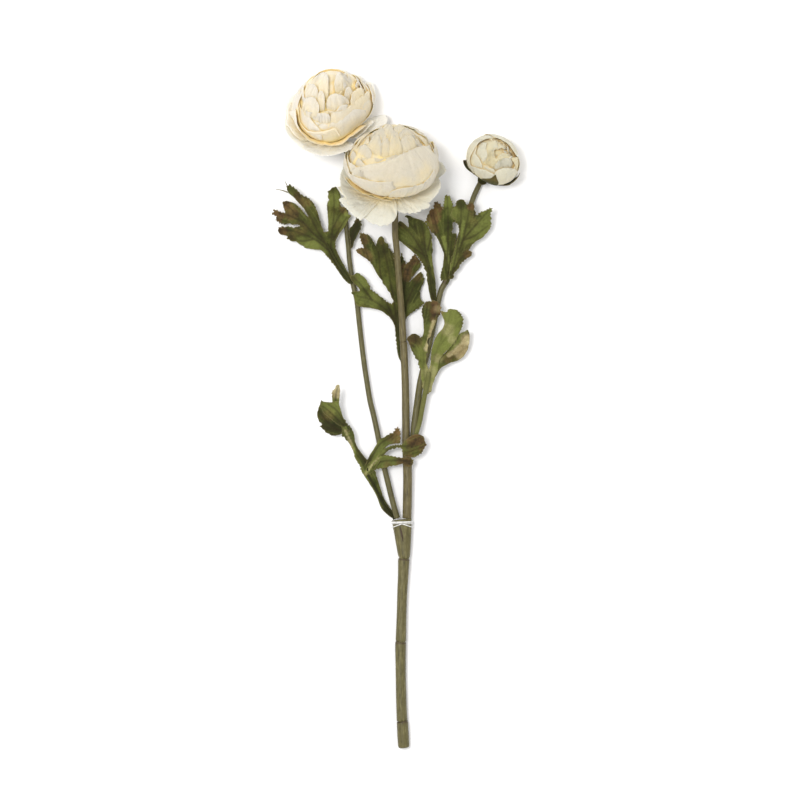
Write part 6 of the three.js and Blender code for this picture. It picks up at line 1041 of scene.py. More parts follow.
PETALS = {
    'flower_b_round_1': [{"rim": [[-42.5, 176.8], [-41.1, 172.3], [-38.8, 167.0], [-35.5, 162.5], [-31.0, 158.8], [-25.7, 155.9]], "span": (190, 300), "ruffle": 0.3, "freq": 2.0, "tilt": 0.2, "narrow": 0.6, "wave": 0.4, "nu": 50, "nv": 30, "tmax": 1.12, "out": -0.5, "grow": 6.4, "seed": 37, "fray": 0.8}, {"rim": [[-46.2, 188.7], [-48.7, 181.4], [-49.9, 173.2], [-47.0, 165.4], [-41.3, 159.6], [-33.9, 155.1], [-25.7, 152.3], [-15.9, 151.7], [-6.0, 153.5], [-0.3, 158.8], [1.8, 166.6], [1.4, 174.8]], "span": (180, 300), "ruffle": 0.7, "freq": 2.4, "tilt": 0.3, "narrow": 0.5, "wave": 0.6, "crease": 0.5, "nu": 90, "nv": 36, "tmax": 1.12, "fray": 1.1, "seed": 30, "grow": 1.2, "fold": [[0.28, 0.5, 0.07, 1.6], [-0.3, -0.3, 0.08, 0.9], [0.6, 0.1, 0.06, -0.8]]}, {"rim": [[1.4, 174.8], [1.8, 165.0], [7.1, 163.3], [13.7, 164.1], [20.2, 165.8], [26.8, 168.2], [31.7, 171.5]], "span": (262, 345), "ruffle": 0.6, "freq": 2.0, "tilt": 0.3, "narrow": 0.5, "wave": 0.5, "crease": 0.5, "nu": 80, "nv": 32, "tmax": 1.12, "fray": 1.3, "seed": 33, "out": 0.2, "fold": [[0.3, 0.2, 0.07, 0.9], [-0.4, 0.2, 0.07, -0.7]]}, {"rim": [[33.3, 192.8], [36.6, 189.6], [37.4, 184.6], [34.2, 179.7], [30.1, 175.6], [26.8, 171.5]], "span": (-80, 50), "ruffle": 0.5, "freq": 2.0, "tilt": 0.4, "narrow": 0.6, "wave": 0.4, "nu": 44, "nv": 28, "tmax": 1.12, "seed": 31, "fray": 0.7}, {"rim": [[27.6, 202.7], [31.7, 204.3], [36.6, 203.9], [39.9, 200.2], [39.9, 195.3], [35.0, 191.2]], "span": (-40, 90), "ruffle": 0.5, "freq": 2.0, "tilt": 0.4, "narrow": 0.6, "wave": 0.4, "nu": 44, "nv": 28, "tmax": 1.12, "out": 1.0, "hshift": 2, "seed": 32, "fray": 0.7}, {"phi": 70, "half": 36, "reach": 0.96, "ruffle": 1.0}, {"phi": 122, "half": 36, "reach": 0.92, "ruffle": 0.8}, {"rim": [[-36.4, 210.9], [-40.9, 205.1], [-43.7, 197.8], [-44.6, 188.7], [-44.6, 178.9], [-41.3, 170.7]], "span": (110, 250), "ruffle": 0.4, "freq": 1.8, "tilt": 0.3, "narrow": 0.6, "wave": 0.4, "nu": 50, "nv": 30, "tmax": 1.12, "seed": 34, "fray": 0.4, "out": 0.2, "hshift": 1}],
    'flower_b_round_2': [{"rim": [[-41.3, 200.2], [-40.5, 192.8], [-36.8, 185.5], [-31.0, 180.5], [-23.2, 177.4], [-12.6, 175.9], [-2.7, 175.6]], "span": (185, 320), "ruffle": 0.2, "freq": 1.4, "tilt": 0.1, "narrow": 0.75, "wave": 0.25, "crease": 0.4, "nu": 60, "nv": 34, "out": 3.3, "curl": 0.6, "seed": 19}, {"rim": [[-37.2, 199.4], [-31.4, 200.6], [-24.9, 202.7], [-14.2, 204.3], [-8.5, 206.0], [-2.7, 208.4], [3.8, 210.9], [12.0, 214.6], [18.6, 217.0], [25.1, 218.3], [28.4, 215.8]], "span": (200, 345), "ruffle": 0.45, "freq": 1.6, "tilt": 0.3, "narrow": 0.8, "wave": 0.75, "crease": 0.6, "nu": 70, "nv": 44, "out": 0.2, "seed": 3, "fold": [[-0.62, 0.9, 0.06, 0.5], [-0.45, 0.7, 0.05, -0.5], [-0.2, 0.7, 0.06, 0.5], [0.1, 0.4, 0.05, -0.4], [0.36, -0.3, 0.05, -0.5], [0.6, -0.5, 0.06, 0.5]]}, {"rim": [[-42.1, 197.3], [-39.2, 190.8], [-35.1, 185.0], [-29.4, 180.7], [-21.6, 178.1], [-11.8, 176.8], [-1.9, 176.4], [5.5, 177.3]], "span": (195, 330), "ruffle": 0.3, "freq": 1.4, "tilt": 0.1, "narrow": 0.75, "wave": 0.25, "crease": 0.4, "nu": 70, "nv": 36, "out": 1.3, "curl": 1.6, "seed": 8, "fold": [[-0.4, 0.3, 0.07, 0.7], [-0.1, 0.2, 0.06, -0.7], [0.25, 0.1, 0.06, 0.7], [0.5, -0.1, 0.06, -0.6]]}, {"rim": [[-6.0, 180.1], [0.5, 183.4], [8.7, 185.2], [16.9, 186.6], [23.5, 189.6], [28.4, 194.9], [31.3, 201.9]], "span": (215, 355), "ruffle": 0.3, "freq": 1.4, "tilt": 0.1, "narrow": 0.75, "wave": 0.25, "crease": 0.4, "nu": 70, "nv": 36, "out": 1.6, "curl": -0.2, "seed": 15, "fold": [[-0.4, 0.3, 0.07, 0.7], [-0.1, 0.2, 0.06, -0.7], [0.25, 0.1, 0.06, 0.7], [0.5, -0.1, 0.06, -0.6]]}, {"phi": 5, "half": 42, "reach": 1.08, "tilt": 0.7, "ruffle": 0.6, "curl": -0.6}, {"rim": [[-40.9, 197.8], [-36.4, 194.8], [-29.0, 192.2], [-20.0, 189.9], [-9.3, 189.2], [1.4, 190.2]], "span": (195, 320), "ruffle": 0.2, "freq": 1.4, "tilt": 0.1, "narrow": 0.75, "wave": 0.25, "crease": 0.4, "nu": 70, "nv": 36, "out": 0.75, "curl": -0.2, "seed": 18}, {"phi": 55, "half": 42, "reach": 1.0, "tilt": 0.8, "ruffle": 0.7}, {"phi": 112, "half": 44, "reach": 1.0, "tilt": 0.8, "ruffle": 0.7}, {"phi": 168, "half": 42, "reach": 0.98, "tilt": 0.8, "ruffle": 0.6, "curl": -0.5}, {"phi": 20.0, "half": 54, "out": -1.5, "reach": 1.0, "tilt": 0.5, "ruffle": 0.5, "freq": 2.4, "pleat": 0.4, "pf": 3.0, "nu": 40, "nv": 20, "narrow": 0.8, "crease": 0.2, "base": 0.35}, {"phi": 110.0, "half": 54, "out": -1.5, "reach": 1.0, "tilt": 0.5, "ruffle": 0.5, "freq": 2.4, "pleat": 0.4, "pf": 3.0, "nu": 40, "nv": 20, "narrow": 0.8, "crease": 0.2, "base": 0.35}, {"phi": 200.0, "half": 54, "out": -1.5, "reach": 1.0, "tilt": 0.5, "ruffle": 0.5, "freq": 2.4, "pleat": 0.4, "pf": 3.0, "nu": 40, "nv": 20, "narrow": 0.8, "crease": 0.2, "base": 0.35}, {"phi": 290.0, "half": 54, "out": -1.5, "reach": 1.0, "tilt": 0.5, "ruffle": 0.5, "freq": 2.4, "pleat": 0.4, "pf": 3.0, "nu": 40, "nv": 20, "narrow": 0.8, "crease": 0.2, "base": 0.35}, {"phi": 65.0, "half": 54, "out": -2.8, "reach": 0.965, "tilt": 0.5, "ruffle": 0.5, "freq": 2.4, "pleat": 0.4, "pf": 3.0, "nu": 40, "nv": 20, "narrow": 0.8, "crease": 0.2, "base": 0.35}, {"phi": 155.0, "half": 54, "out": -2.8, "reach": 0.965, "tilt": 0.5, "ruffle": 0.5, "freq": 2.4, "pleat": 0.4, "pf": 3.0, "nu": 40, "nv": 20, "narrow": 0.8, "crease": 0.2, "base": 0.35}, {"phi": 245.0, "half": 54, "out": -2.8, "reach": 0.965, "tilt": 0.5, "ruffle": 0.5, "freq": 2.4, "pleat": 0.4, "pf": 3.0, "nu": 40, "nv": 20, "narrow": 0.8, "crease": 0.2, "base": 0.35}, {"phi": 335.0, "half": 54, "out": -2.8, "reach": 0.965, "tilt": 0.5, "ruffle": 0.5, "freq": 2.4, "pleat": 0.4, "pf": 3.0, "nu": 40, "nv": 20, "narrow": 0.8, "crease": 0.2, "base": 0.35}, {"phi": 262, "half": 56, "out": -1.4, "reach": 1.1, "ruffle": 0.4, "tilt": 0.3, "nu": 40, "nv": 22, "narrow": 0.8, "base": 0.4}],
    'flower_b_round_3': [{"phi": 258, "half": 60, "reach": 1.0, "tilt": 0.4, "ruffle": 0.5, "curl": -0.6, "nu": 44}, {"phi": 330, "half": 50, "reach": 1.12, "tilt": 0.6, "ruffle": 0.8, "curl": -0.6}, {"phi": 25, "half": 46, "reach": 1.06, "tilt": 0.8, "ruffle": 0.6, "pleat": 1.2, "pf": 3.2, "nu": 56, "wave": 0.2}, {"phi": 85, "half": 46, "reach": 1.04, "tilt": 0.8, "ruffle": 0.6, "pleat": 1.5, "pf": 3.4, "nu": 56, "wave": 0.2}, {"phi": 148, "half": 46, "reach": 1.04, "tilt": 0.8, "ruffle": 0.6, "pleat": 1.2, "pf": 3.0, "nu": 56, "wave": 0.2}, {"phi": 205, "half": 40, "reach": 1.04, "tilt": 0.6, "ruffle": 0.7, "freq": 2.6}, {"phi": 240.0, "half": 54, "out": -1.6, "reach": 1.06, "tilt": 0.5, "ruffle": 0.5, "freq": 2.4, "pleat": 0.4, "pf": 3.0, "nu": 40, "nv": 20, "narrow": 0.8, "crease": 0.2, "base": 0.35}, {"phi": 330.0, "half": 54, "out": -1.6, "reach": 1.06, "tilt": 0.5, "ruffle": 0.5, "freq": 2.4, "pleat": 0.4, "pf": 3.0, "nu": 40, "nv": 20, "narrow": 0.8, "crease": 0.2, "base": 0.35}, {"phi": 60.0, "half": 54, "out": -2.4, "reach": 1.0, "tilt": 0.5, "ruffle": 0.5, "freq": 2.4, "pleat": 0.4, "pf": 3.0, "nu": 40, "nv": 20, "narrow": 0.8, "crease": 0.2, "base": 0.35}, {"phi": 150.0, "half": 54, "out": -2.4, "reach": 1.0, "tilt": 0.5, "ruffle": 0.5, "freq": 2.4, "pleat": 0.4, "pf": 3.0, "nu": 40, "nv": 20, "narrow": 0.8, "crease": 0.2, "base": 0.35}, {"phi": 240.0, "half": 54, "out": -2.4, "reach": 1.0, "tilt": 0.5, "ruffle": 0.5, "freq": 2.4, "pleat": 0.4, "pf": 3.0, "nu": 40, "nv": 20, "narrow": 0.8, "crease": 0.2, "base": 0.35}, {"phi": 330.0, "half": 54, "out": -2.4, "reach": 1.0, "tilt": 0.5, "ruffle": 0.5, "freq": 2.4, "pleat": 0.4, "pf": 3.0, "nu": 40, "nv": 20, "narrow": 0.8, "crease": 0.2, "base": 0.35}, {"phi": 275, "half": 56, "out": 0.2, "reach": 1.06, "ruffle": 0.5, "tilt": 0.3, "nu": 40, "nv": 22, "narrow": 0.8, "base": 0.4}],
    'flower_b_round_4': [{"rim": [[-40.0, 198.6], [-39.2, 206.8], [-37.2, 212.5], [-33.9, 215.0], [-31.4, 210.9], [-31.4, 204.3]], "ka": 1.0, "kb": 1.04, "ruffle": 0.3, "tilt": 0.5, "narrow": 0.88, "wave": 0.45, "crease": 0.5, "cup": -1.3, "nu": 40, "nv": 28, "base": 0.35, "tmax": 1.7, "fray": 0.3, "span": (130, 300), "seed": 50, "deep": 0.5, "pleat": 0.7, "pf": 2.2}, {"deep": 0.12, "rim": [[-32.3, 203.5], [-32.7, 211.7], [-30.2, 217.0], [-25.7, 219.1], [-21.6, 217.8], [-19.1, 213.3], [-19.1, 205.1]], "ka": 1.0, "kb": 1.04, "ruffle": 0.3, "tilt": 0.5, "narrow": 0.88, "wave": 0.45, "crease": 0.5, "cup": -1.3, "nu": 40, "nv": 28, "base": 0.35, "tmax": 1.7, "fray": 0.3, "span": (130, 320), "seed": 51, "out": 0.8}, {"deep": 0.12, "rim": [[-27.3, 200.2], [-24.1, 206.0], [-18.3, 208.4], [-12.6, 208.0], [-6.0, 209.2], [-0.3, 210.9], [3.8, 213.7]], "ka": 1.0, "kb": 1.04, "ruffle": 0.3, "tilt": 0.5, "narrow": 0.88, "wave": 0.45, "crease": 0.5, "cup": -1.3, "nu": 40, "nv": 28, "base": 0.35, "tmax": 1.7, "fray": 0.3, "span": (180, 340), "seed": 52, "out": 0.4, "fold": [[0.1, 0.2, 0.1, -0.8]]}, {"deep": 0.12, "rim": [[-1.1, 209.2], [2.2, 214.6], [7.9, 217.8], [14.5, 218.3], [20.2, 215.8]], "ka": 1.0, "kb": 1.04, "ruffle": 0.3, "tilt": 0.5, "narrow": 0.88, "wave": 0.45, "crease": 0.5, "cup": -1.3, "nu": 40, "nv": 28, "base": 0.35, "tmax": 1.7, "fray": 0.3, "span": (200, 360), "seed": 53, "out": 0.2}, {"rim": [[13.7, 215.0], [16.9, 219.9], [21.9, 222.4], [26.8, 220.7], [29.2, 215.0], [30.1, 209.2]], "ka": 1.0, "kb": 1.04, "ruffle": 0.3, "tilt": 0.5, "narrow": 0.88, "wave": 0.45, "crease": 0.5, "cup": -1.3, "nu": 40, "nv": 28, "base": 0.35, "tmax": 1.7, "fray": 0.3, "span": (260, 400), "seed": 54, "pleat": 0.6, "pf": 2.2, "deep": 0.15}, {"rim": [[-39.6, 206.8], [-37.2, 215.0], [-32.3, 222.4], [-26.5, 227.3], [-20.0, 231.0]], "kb": 1.04, "ruffle": 0.3, "tilt": 0.5, "narrow": 0.88, "wave": 0.45, "crease": 0.5, "nv": 28, "base": 0.35, "tmax": 1.7, "fray": 0.3, "ka": 1.17, "span": (80, 240), "seed": 501, "cup": 0.0, "pleat": 0.8, "pf": 3.0, "nu": 60, "deep": 0.1}, {"rim": [[-20.8, 231.0], [-12.6, 234.7], [-2.7, 235.9], [7.1, 235.5], [15.3, 232.6]], "kb": 1.04, "ruffle": 0.3, "tilt": 0.5, "narrow": 0.88, "wave": 0.45, "crease": 0.5, "nv": 28, "base": 0.35, "tmax": 1.7, "fray": 0.3, "ka": 1.17, "span": (20, 170), "seed": 502, "cup": 0.0, "pleat": 0.8, "pf": 3.0, "nu": 60, "deep": 0.1}, {"rim": [[13.7, 233.0], [20.2, 230.1], [26.8, 224.8], [30.9, 217.4], [32.1, 208.4]], "kb": 1.04, "ruffle": 0.3, "tilt": 0.5, "narrow": 0.88, "wave": 0.45, "crease": 0.5, "nv": 28, "base": 0.35, "tmax": 1.7, "fray": 0.3, "ka": 1.17, "span": (-60, 110), "seed": 503, "cup": 0.0, "pleat": 0.8, "pf": 3.0, "nu": 60, "deep": 0.1}, {"phi": 10.0, "half": 54, "out": -1.8, "reach": 1.06, "tilt": 0.5, "ruffle": 0.5, "freq": 2.4, "pleat": 0.4, "pf": 1.6, "nu": 40, "nv": 20, "narrow": 0.8, "crease": 0.2, "base": 0.35}, {"phi": 100.0, "half": 54, "out": -1.8, "reach": 1.06, "tilt": 0.5, "ruffle": 0.5, "freq": 2.4, "pleat": 0.4, "pf": 1.6, "nu": 40, "nv": 20, "narrow": 0.8, "crease": 0.2, "base": 0.35}, {"phi": 190.0, "half": 54, "out": -1.8, "reach": 1.06, "tilt": 0.5, "ruffle": 0.5, "freq": 2.4, "pleat": 0.4, "pf": 1.6, "nu": 40, "nv": 20, "narrow": 0.8, "crease": 0.2, "base": 0.35}, {"phi": 280.0, "half": 54, "out": -1.8, "reach": 1.06, "tilt": 0.5, "ruffle": 0.5, "freq": 2.4, "pleat": 0.4, "pf": 1.6, "nu": 40, "nv": 20, "narrow": 0.8, "crease": 0.2, "base": 0.35}],
    'flower_b_round_5': [{"rim": [[-33.9, 213.3], [-33.1, 220.7], [-29.8, 225.2], [-25.7, 227.3], [-21.6, 225.2], [-20.0, 216.6]], "ka": 1.03, "kb": 1.14, "ruffle": 0.3, "tilt": 0.5, "narrow": 0.88, "wave": 0.45, "crease": 0.5, "cup": -1.3, "nu": 40, "nv": 28, "base": 0.35, "tmax": 1.7, "fray": 0.3, "hshift": 0.5, "span": (120, 300), "seed": 55, "pleat": 0.5, "pf": 2.2, "deep": 0.3}, {"deep": 0.12, "rim": [[-19.1, 206.8], [-19.5, 217.4], [-18.3, 224.0], [-15.0, 226.9], [-12.2, 224.8], [-10.9, 216.6], [-11.3, 208.4]], "ka": 1.03, "kb": 1.14, "ruffle": 0.3, "tilt": 0.5, "narrow": 0.88, "wave": 0.45, "crease": 0.5, "cup": -1.3, "nu": 40, "nv": 28, "base": 0.35, "tmax": 1.7, "fray": 0.3, "hshift": 0.5, "span": (150, 330), "seed": 56, "out": 0.5}, {"deep": 0.12, "rim": [[-11.8, 208.4], [-11.3, 217.4], [-9.7, 223.2], [-7.2, 224.4], [-5.2, 221.5], [-4.8, 215.0], [-5.2, 208.4]], "ka": 1.03, "kb": 1.14, "ruffle": 0.3, "tilt": 0.5, "narrow": 0.88, "wave": 0.45, "crease": 0.5, "cup": -1.3, "nu": 40, "nv": 28, "base": 0.35, "tmax": 1.7, "fray": 0.3, "hshift": 0.5, "span": (150, 340), "seed": 560, "out": -0.2}, {"deep": 0.12, "rim": [[-6.0, 208.4], [-6.0, 216.6], [-4.4, 224.0], [-1.1, 226.0], [3.0, 224.4], [4.6, 218.3], [4.6, 213.3]], "ka": 1.03, "kb": 1.14, "ruffle": 0.3, "tilt": 0.5, "narrow": 0.88, "wave": 0.45, "crease": 0.5, "cup": -1.3, "nu": 40, "nv": 28, "base": 0.35, "tmax": 1.7, "fray": 0.3, "hshift": 0.5, "span": (180, 350), "seed": 57, "out": 0.3}, {"deep": 0.12, "rim": [[3.8, 212.5], [3.8, 219.1], [5.5, 224.4], [9.6, 226.5], [13.7, 224.4], [16.1, 219.1], [16.1, 215.0]], "ka": 1.03, "kb": 1.14, "ruffle": 0.3, "tilt": 0.5, "narrow": 0.88, "wave": 0.45, "crease": 0.5, "cup": -1.3, "nu": 40, "nv": 28, "base": 0.35, "tmax": 1.7, "fray": 0.3, "hshift": 0.5, "span": (200, 380), "seed": 58, "out": 0.9}, {"rim": [[15.3, 215.8], [16.1, 222.4], [18.6, 226.5], [22.7, 226.9], [26.0, 223.6], [28.4, 217.4]], "ka": 1.03, "kb": 1.14, "ruffle": 0.3, "tilt": 0.5, "narrow": 0.88, "wave": 0.45, "crease": 0.5, "cup": -1.3, "nu": 40, "nv": 28, "base": 0.35, "tmax": 1.7, "fray": 0.3, "hshift": 0.5, "span": (240, 420), "seed": 59, "pleat": 0.5, "pf": 2.2, "deep": 0.2}, {"rim": [[-35.5, 215.0], [-31.4, 221.5], [-26.5, 226.0], [-20.0, 229.7]], "kb": 1.14, "ruffle": 0.3, "tilt": 0.5, "narrow": 0.88, "wave": 0.45, "crease": 0.5, "nv": 28, "base": 0.35, "tmax": 1.7, "fray": 0.3, "hshift": 0.5, "ka": 1.2, "span": (80, 240), "seed": 551, "cup": 0.0, "pleat": 0.9, "pf": 2.6, "nu": 60, "deep": 0.2}, {"rim": [[12.8, 231.0], [19.4, 228.1], [25.1, 223.2], [28.4, 215.8]], "kb": 1.14, "ruffle": 0.3, "tilt": 0.5, "narrow": 0.88, "wave": 0.45, "crease": 0.5, "nv": 28, "base": 0.35, "tmax": 1.7, "fray": 0.3, "hshift": 0.5, "ka": 1.2, "span": (-60, 110), "seed": 553, "cup": 0.0, "pleat": 0.9, "pf": 2.6, "nu": 60, "deep": 0.2}, {"phi": 40.0, "half": 54, "out": -1.6, "reach": 1.06, "tilt": 0.5, "ruffle": 0.5, "freq": 2.4, "pleat": 0.4, "pf": 1.6, "nu": 40, "nv": 20, "narrow": 0.8, "crease": 0.2, "base": 0.35, "ka": 1.03, "kb": 1.14}, {"phi": 130.0, "half": 54, "out": -1.6, "reach": 1.06, "tilt": 0.5, "ruffle": 0.5, "freq": 2.4, "pleat": 0.4, "pf": 1.6, "nu": 40, "nv": 20, "narrow": 0.8, "crease": 0.2, "base": 0.35, "ka": 1.03, "kb": 1.14}, {"phi": 220.0, "half": 54, "out": -1.6, "reach": 1.06, "tilt": 0.5, "ruffle": 0.5, "freq": 2.4, "pleat": 0.4, "pf": 1.6, "nu": 40, "nv": 20, "narrow": 0.8, "crease": 0.2, "base": 0.35, "ka": 1.03, "kb": 1.14}, {"phi": 310.0, "half": 54, "out": -1.6, "reach": 1.06, "tilt": 0.5, "ruffle": 0.5, "freq": 2.4, "pleat": 0.4, "pf": 1.6, "nu": 40, "nv": 20, "narrow": 0.8, "crease": 0.2, "base": 0.35, "ka": 1.03, "kb": 1.14}],
    'flower_b_round_6': [{"deep": 0.1, "rim": [[-27.3, 222.4], [-26.1, 228.1], [-22.4, 231.8], [-18.3, 231.8], [-15.9, 228.1], [-15.0, 222.4]], "ka": 1.08, "kb": 1.24, "dh": -0.5, "ruffle": 0.3, "tilt": 0.5, "narrow": 0.88, "wave": 0.45, "crease": 0.5, "cup": -1.3, "nu": 40, "nv": 28, "base": 0.35, "tmax": 1.7, "fray": 0.3, "span": (110, 320), "seed": 60}, {"deep": 0.1, "rim": [[-15.9, 222.4], [-15.0, 228.9], [-12.2, 232.2], [-8.9, 231.8], [-7.2, 227.3], [-7.2, 220.7]], "ka": 1.08, "kb": 1.24, "dh": -0.5, "ruffle": 0.3, "tilt": 0.5, "narrow": 0.88, "wave": 0.45, "crease": 0.5, "cup": -1.3, "nu": 40, "nv": 28, "base": 0.35, "tmax": 1.7, "fray": 0.3, "span": (150, 340), "seed": 61, "out": 0.5}, {"deep": 0.1, "rim": [[-7.7, 220.7], [-7.2, 228.1], [-4.8, 231.8], [-1.1, 232.2], [1.8, 229.7], [3.0, 222.4]], "ka": 1.08, "kb": 1.24, "dh": -0.5, "ruffle": 0.3, "tilt": 0.5, "narrow": 0.88, "wave": 0.45, "crease": 0.5, "cup": -1.3, "nu": 40, "nv": 28, "base": 0.35, "tmax": 1.7, "fray": 0.3, "span": (180, 380), "seed": 62}, {"deep": 0.1, "rim": [[2.2, 222.4], [3.0, 228.5], [6.3, 231.8], [10.4, 231.8], [13.2, 228.1], [13.7, 223.2]], "ka": 1.08, "kb": 1.24, "dh": -0.5, "ruffle": 0.3, "tilt": 0.5, "narrow": 0.88, "wave": 0.45, "crease": 0.5, "cup": -1.3, "nu": 40, "nv": 28, "base": 0.35, "tmax": 1.7, "fray": 0.3, "span": (200, 420), "seed": 63, "out": 0.5}, {"rim": [[12.8, 222.4], [14.1, 228.1], [17.4, 230.6], [21.0, 229.3], [23.5, 224.8]], "ka": 1.08, "kb": 1.24, "dh": -0.5, "ruffle": 0.3, "tilt": 0.5, "narrow": 0.88, "wave": 0.45, "crease": 0.5, "cup": -1.3, "nu": 40, "nv": 28, "base": 0.35, "tmax": 1.7, "fray": 0.3, "span": (240, 430), "seed": 64, "deep": 0.2}, {"phi": 80.0, "half": 70, "out": -1.4, "reach": 1.1, "tilt": 0.5, "ruffle": 0.5, "freq": 2.4, "pleat": 0.4, "pf": 1.6, "nu": 40, "nv": 20, "narrow": 0.8, "crease": 0.2, "base": 0.35, "ka": 1.08, "kb": 1.24, "dh": -0.5}, {"phi": 200.0, "half": 70, "out": -1.4, "reach": 1.1, "tilt": 0.5, "ruffle": 0.5, "freq": 2.4, "pleat": 0.4, "pf": 1.6, "nu": 40, "nv": 20, "narrow": 0.8, "crease": 0.2, "base": 0.35, "ka": 1.08, "kb": 1.24, "dh": -0.5}, {"phi": 320.0, "half": 70, "out": -1.4, "reach": 1.1, "tilt": 0.5, "ruffle": 0.5, "freq": 2.4, "pleat": 0.4, "pf": 1.6, "nu": 40, "nv": 20, "narrow": 0.8, "crease": 0.2, "base": 0.35, "ka": 1.08, "kb": 1.24, "dh": -0.5}],
    'flower_b_round_7': [{"deep": 0.12, "rim": [[-20.0, 228.9], [-18.3, 233.4], [-14.6, 235.5], [-10.9, 234.7], [-9.3, 229.7]], "ka": 1.2, "kb": 1.34, "dh": -1.0, "ruffle": 0.3, "tilt": 0.5, "narrow": 0.88, "wave": 0.45, "crease": 0.5, "cup": -1.3, "nu": 40, "nv": 28, "base": 0.35, "tmax": 1.7, "fray": 0.3, "span": (110, 400), "seed": 65}, {"deep": 0.12, "rim": [[-10.1, 228.1], [-8.9, 233.4], [-6.0, 235.9], [-2.7, 234.7], [-1.5, 228.9]], "ka": 1.2, "kb": 1.34, "dh": -1.0, "ruffle": 0.3, "tilt": 0.5, "narrow": 0.88, "wave": 0.45, "crease": 0.5, "cup": -1.3, "nu": 40, "nv": 28, "base": 0.35, "tmax": 1.7, "fray": 0.3, "span": (150, 400), "seed": 66, "out": 0.5}, {"deep": 0.12, "rim": [[-1.9, 228.9], [-0.7, 233.8], [3.0, 235.9], [7.1, 235.1], [8.7, 229.7]], "ka": 1.2, "kb": 1.34, "dh": -1.0, "ruffle": 0.3, "tilt": 0.5, "narrow": 0.88, "wave": 0.45, "crease": 0.5, "cup": -1.3, "nu": 40, "nv": 28, "base": 0.35, "tmax": 1.7, "fray": 0.3, "span": (150, 430), "seed": 67}, {"deep": 0.12, "rim": [[7.9, 228.9], [9.6, 233.0], [12.8, 234.2], [16.5, 232.2], [17.8, 227.3]], "ka": 1.2, "kb": 1.34, "dh": -1.0, "ruffle": 0.3, "tilt": 0.5, "narrow": 0.88, "wave": 0.45, "crease": 0.5, "cup": -1.3, "nu": 40, "nv": 28, "base": 0.35, "tmax": 1.7, "fray": 0.3, "span": (150, 430), "seed": 68, "out": 0.3}],
    'flower_b_heart': [{"phi": 250.0, "half": 80, "ka": 1.25, "kb": 1.25, "psi": 130, "ruffle": 0.4, "pleat": 0.8, "pf": 1.8, "tilt": 0.8, "nu": 56, "nv": 26, "crease": 0.2, "dh": 0, "wave": 0.2}, {"phi": 370.0, "half": 80, "ka": 1.25, "kb": 1.25, "psi": 130, "ruffle": 0.4, "pleat": 0.8, "pf": 1.8, "tilt": 0.8, "nu": 56, "nv": 26, "crease": 0.2, "dh": 0, "wave": 0.2}, {"phi": 490.0, "half": 80, "ka": 1.25, "kb": 1.25, "psi": 130, "ruffle": 0.4, "pleat": 0.8, "pf": 1.8, "tilt": 0.8, "nu": 56, "nv": 26, "crease": 0.2, "dh": 0, "wave": 0.2}],
    'flower_a_round_1': [{"rim": [[-85.6, 260.1], [-88.4, 252.7], [-89.0, 242.0], [-88.8, 232.2], [-86.0, 223.2], [-80.2, 215.8], [-73.3, 212.5]], "span": (150, 290), "ruffle": 0.5, "freq": 1.8, "tilt": 0.3, "narrow": 0.6, "wave": 0.4, "nu": 60, "nv": 32, "tmax": 1.12, "seed": 35, "fray": 0.5, "grow": 1.2}, {"rim": [[-78.2, 215.0], [-72.4, 211.7], [-64.2, 209.2], [-53.6, 208.0], [-44.6, 210.1], [-38.0, 215.0], [-33.1, 220.7]], "span": (220, 345), "ruffle": 0.5, "freq": 1.8, "tilt": 0.3, "narrow": 0.6, "wave": 0.4, "nu": 60, "nv": 32, "tmax": 1.12, "seed": 36, "fray": 0.5, "out": 0.5, "grow": 2.8, "hshift": 3.0}, {"phi": 335, "half": 26, "reach": 0.95, "ruffle": 0.5}, {"phi": 346, "half": 27, "reach": 1.06, "ruffle": 0.5, "out": 0.5, "grow": 6.5, "sag": 9.0, "notch": 0.0, "round_": 0.4}, {"phi": 46, "half": 34, "reach": 1.0, "ruffle": 0.5, "hshift": 9.5, "grow": 0.8, "out": 0.2}, {"phi": 92, "half": 42, "reach": 1.02, "ruffle": 0.8, "hshift": 10, "grow": 1.0, "out": 0.4}, {"phi": 142, "half": 38, "reach": 0.99, "ruffle": 0.6, "hshift": 6, "grow": 1.4, "out": 0.2}, {"phi": 180, "half": 42, "reach": 0.99, "ruffle": 0.4, "curl": 0.2, "hshift": 4, "grow": 0.6}],
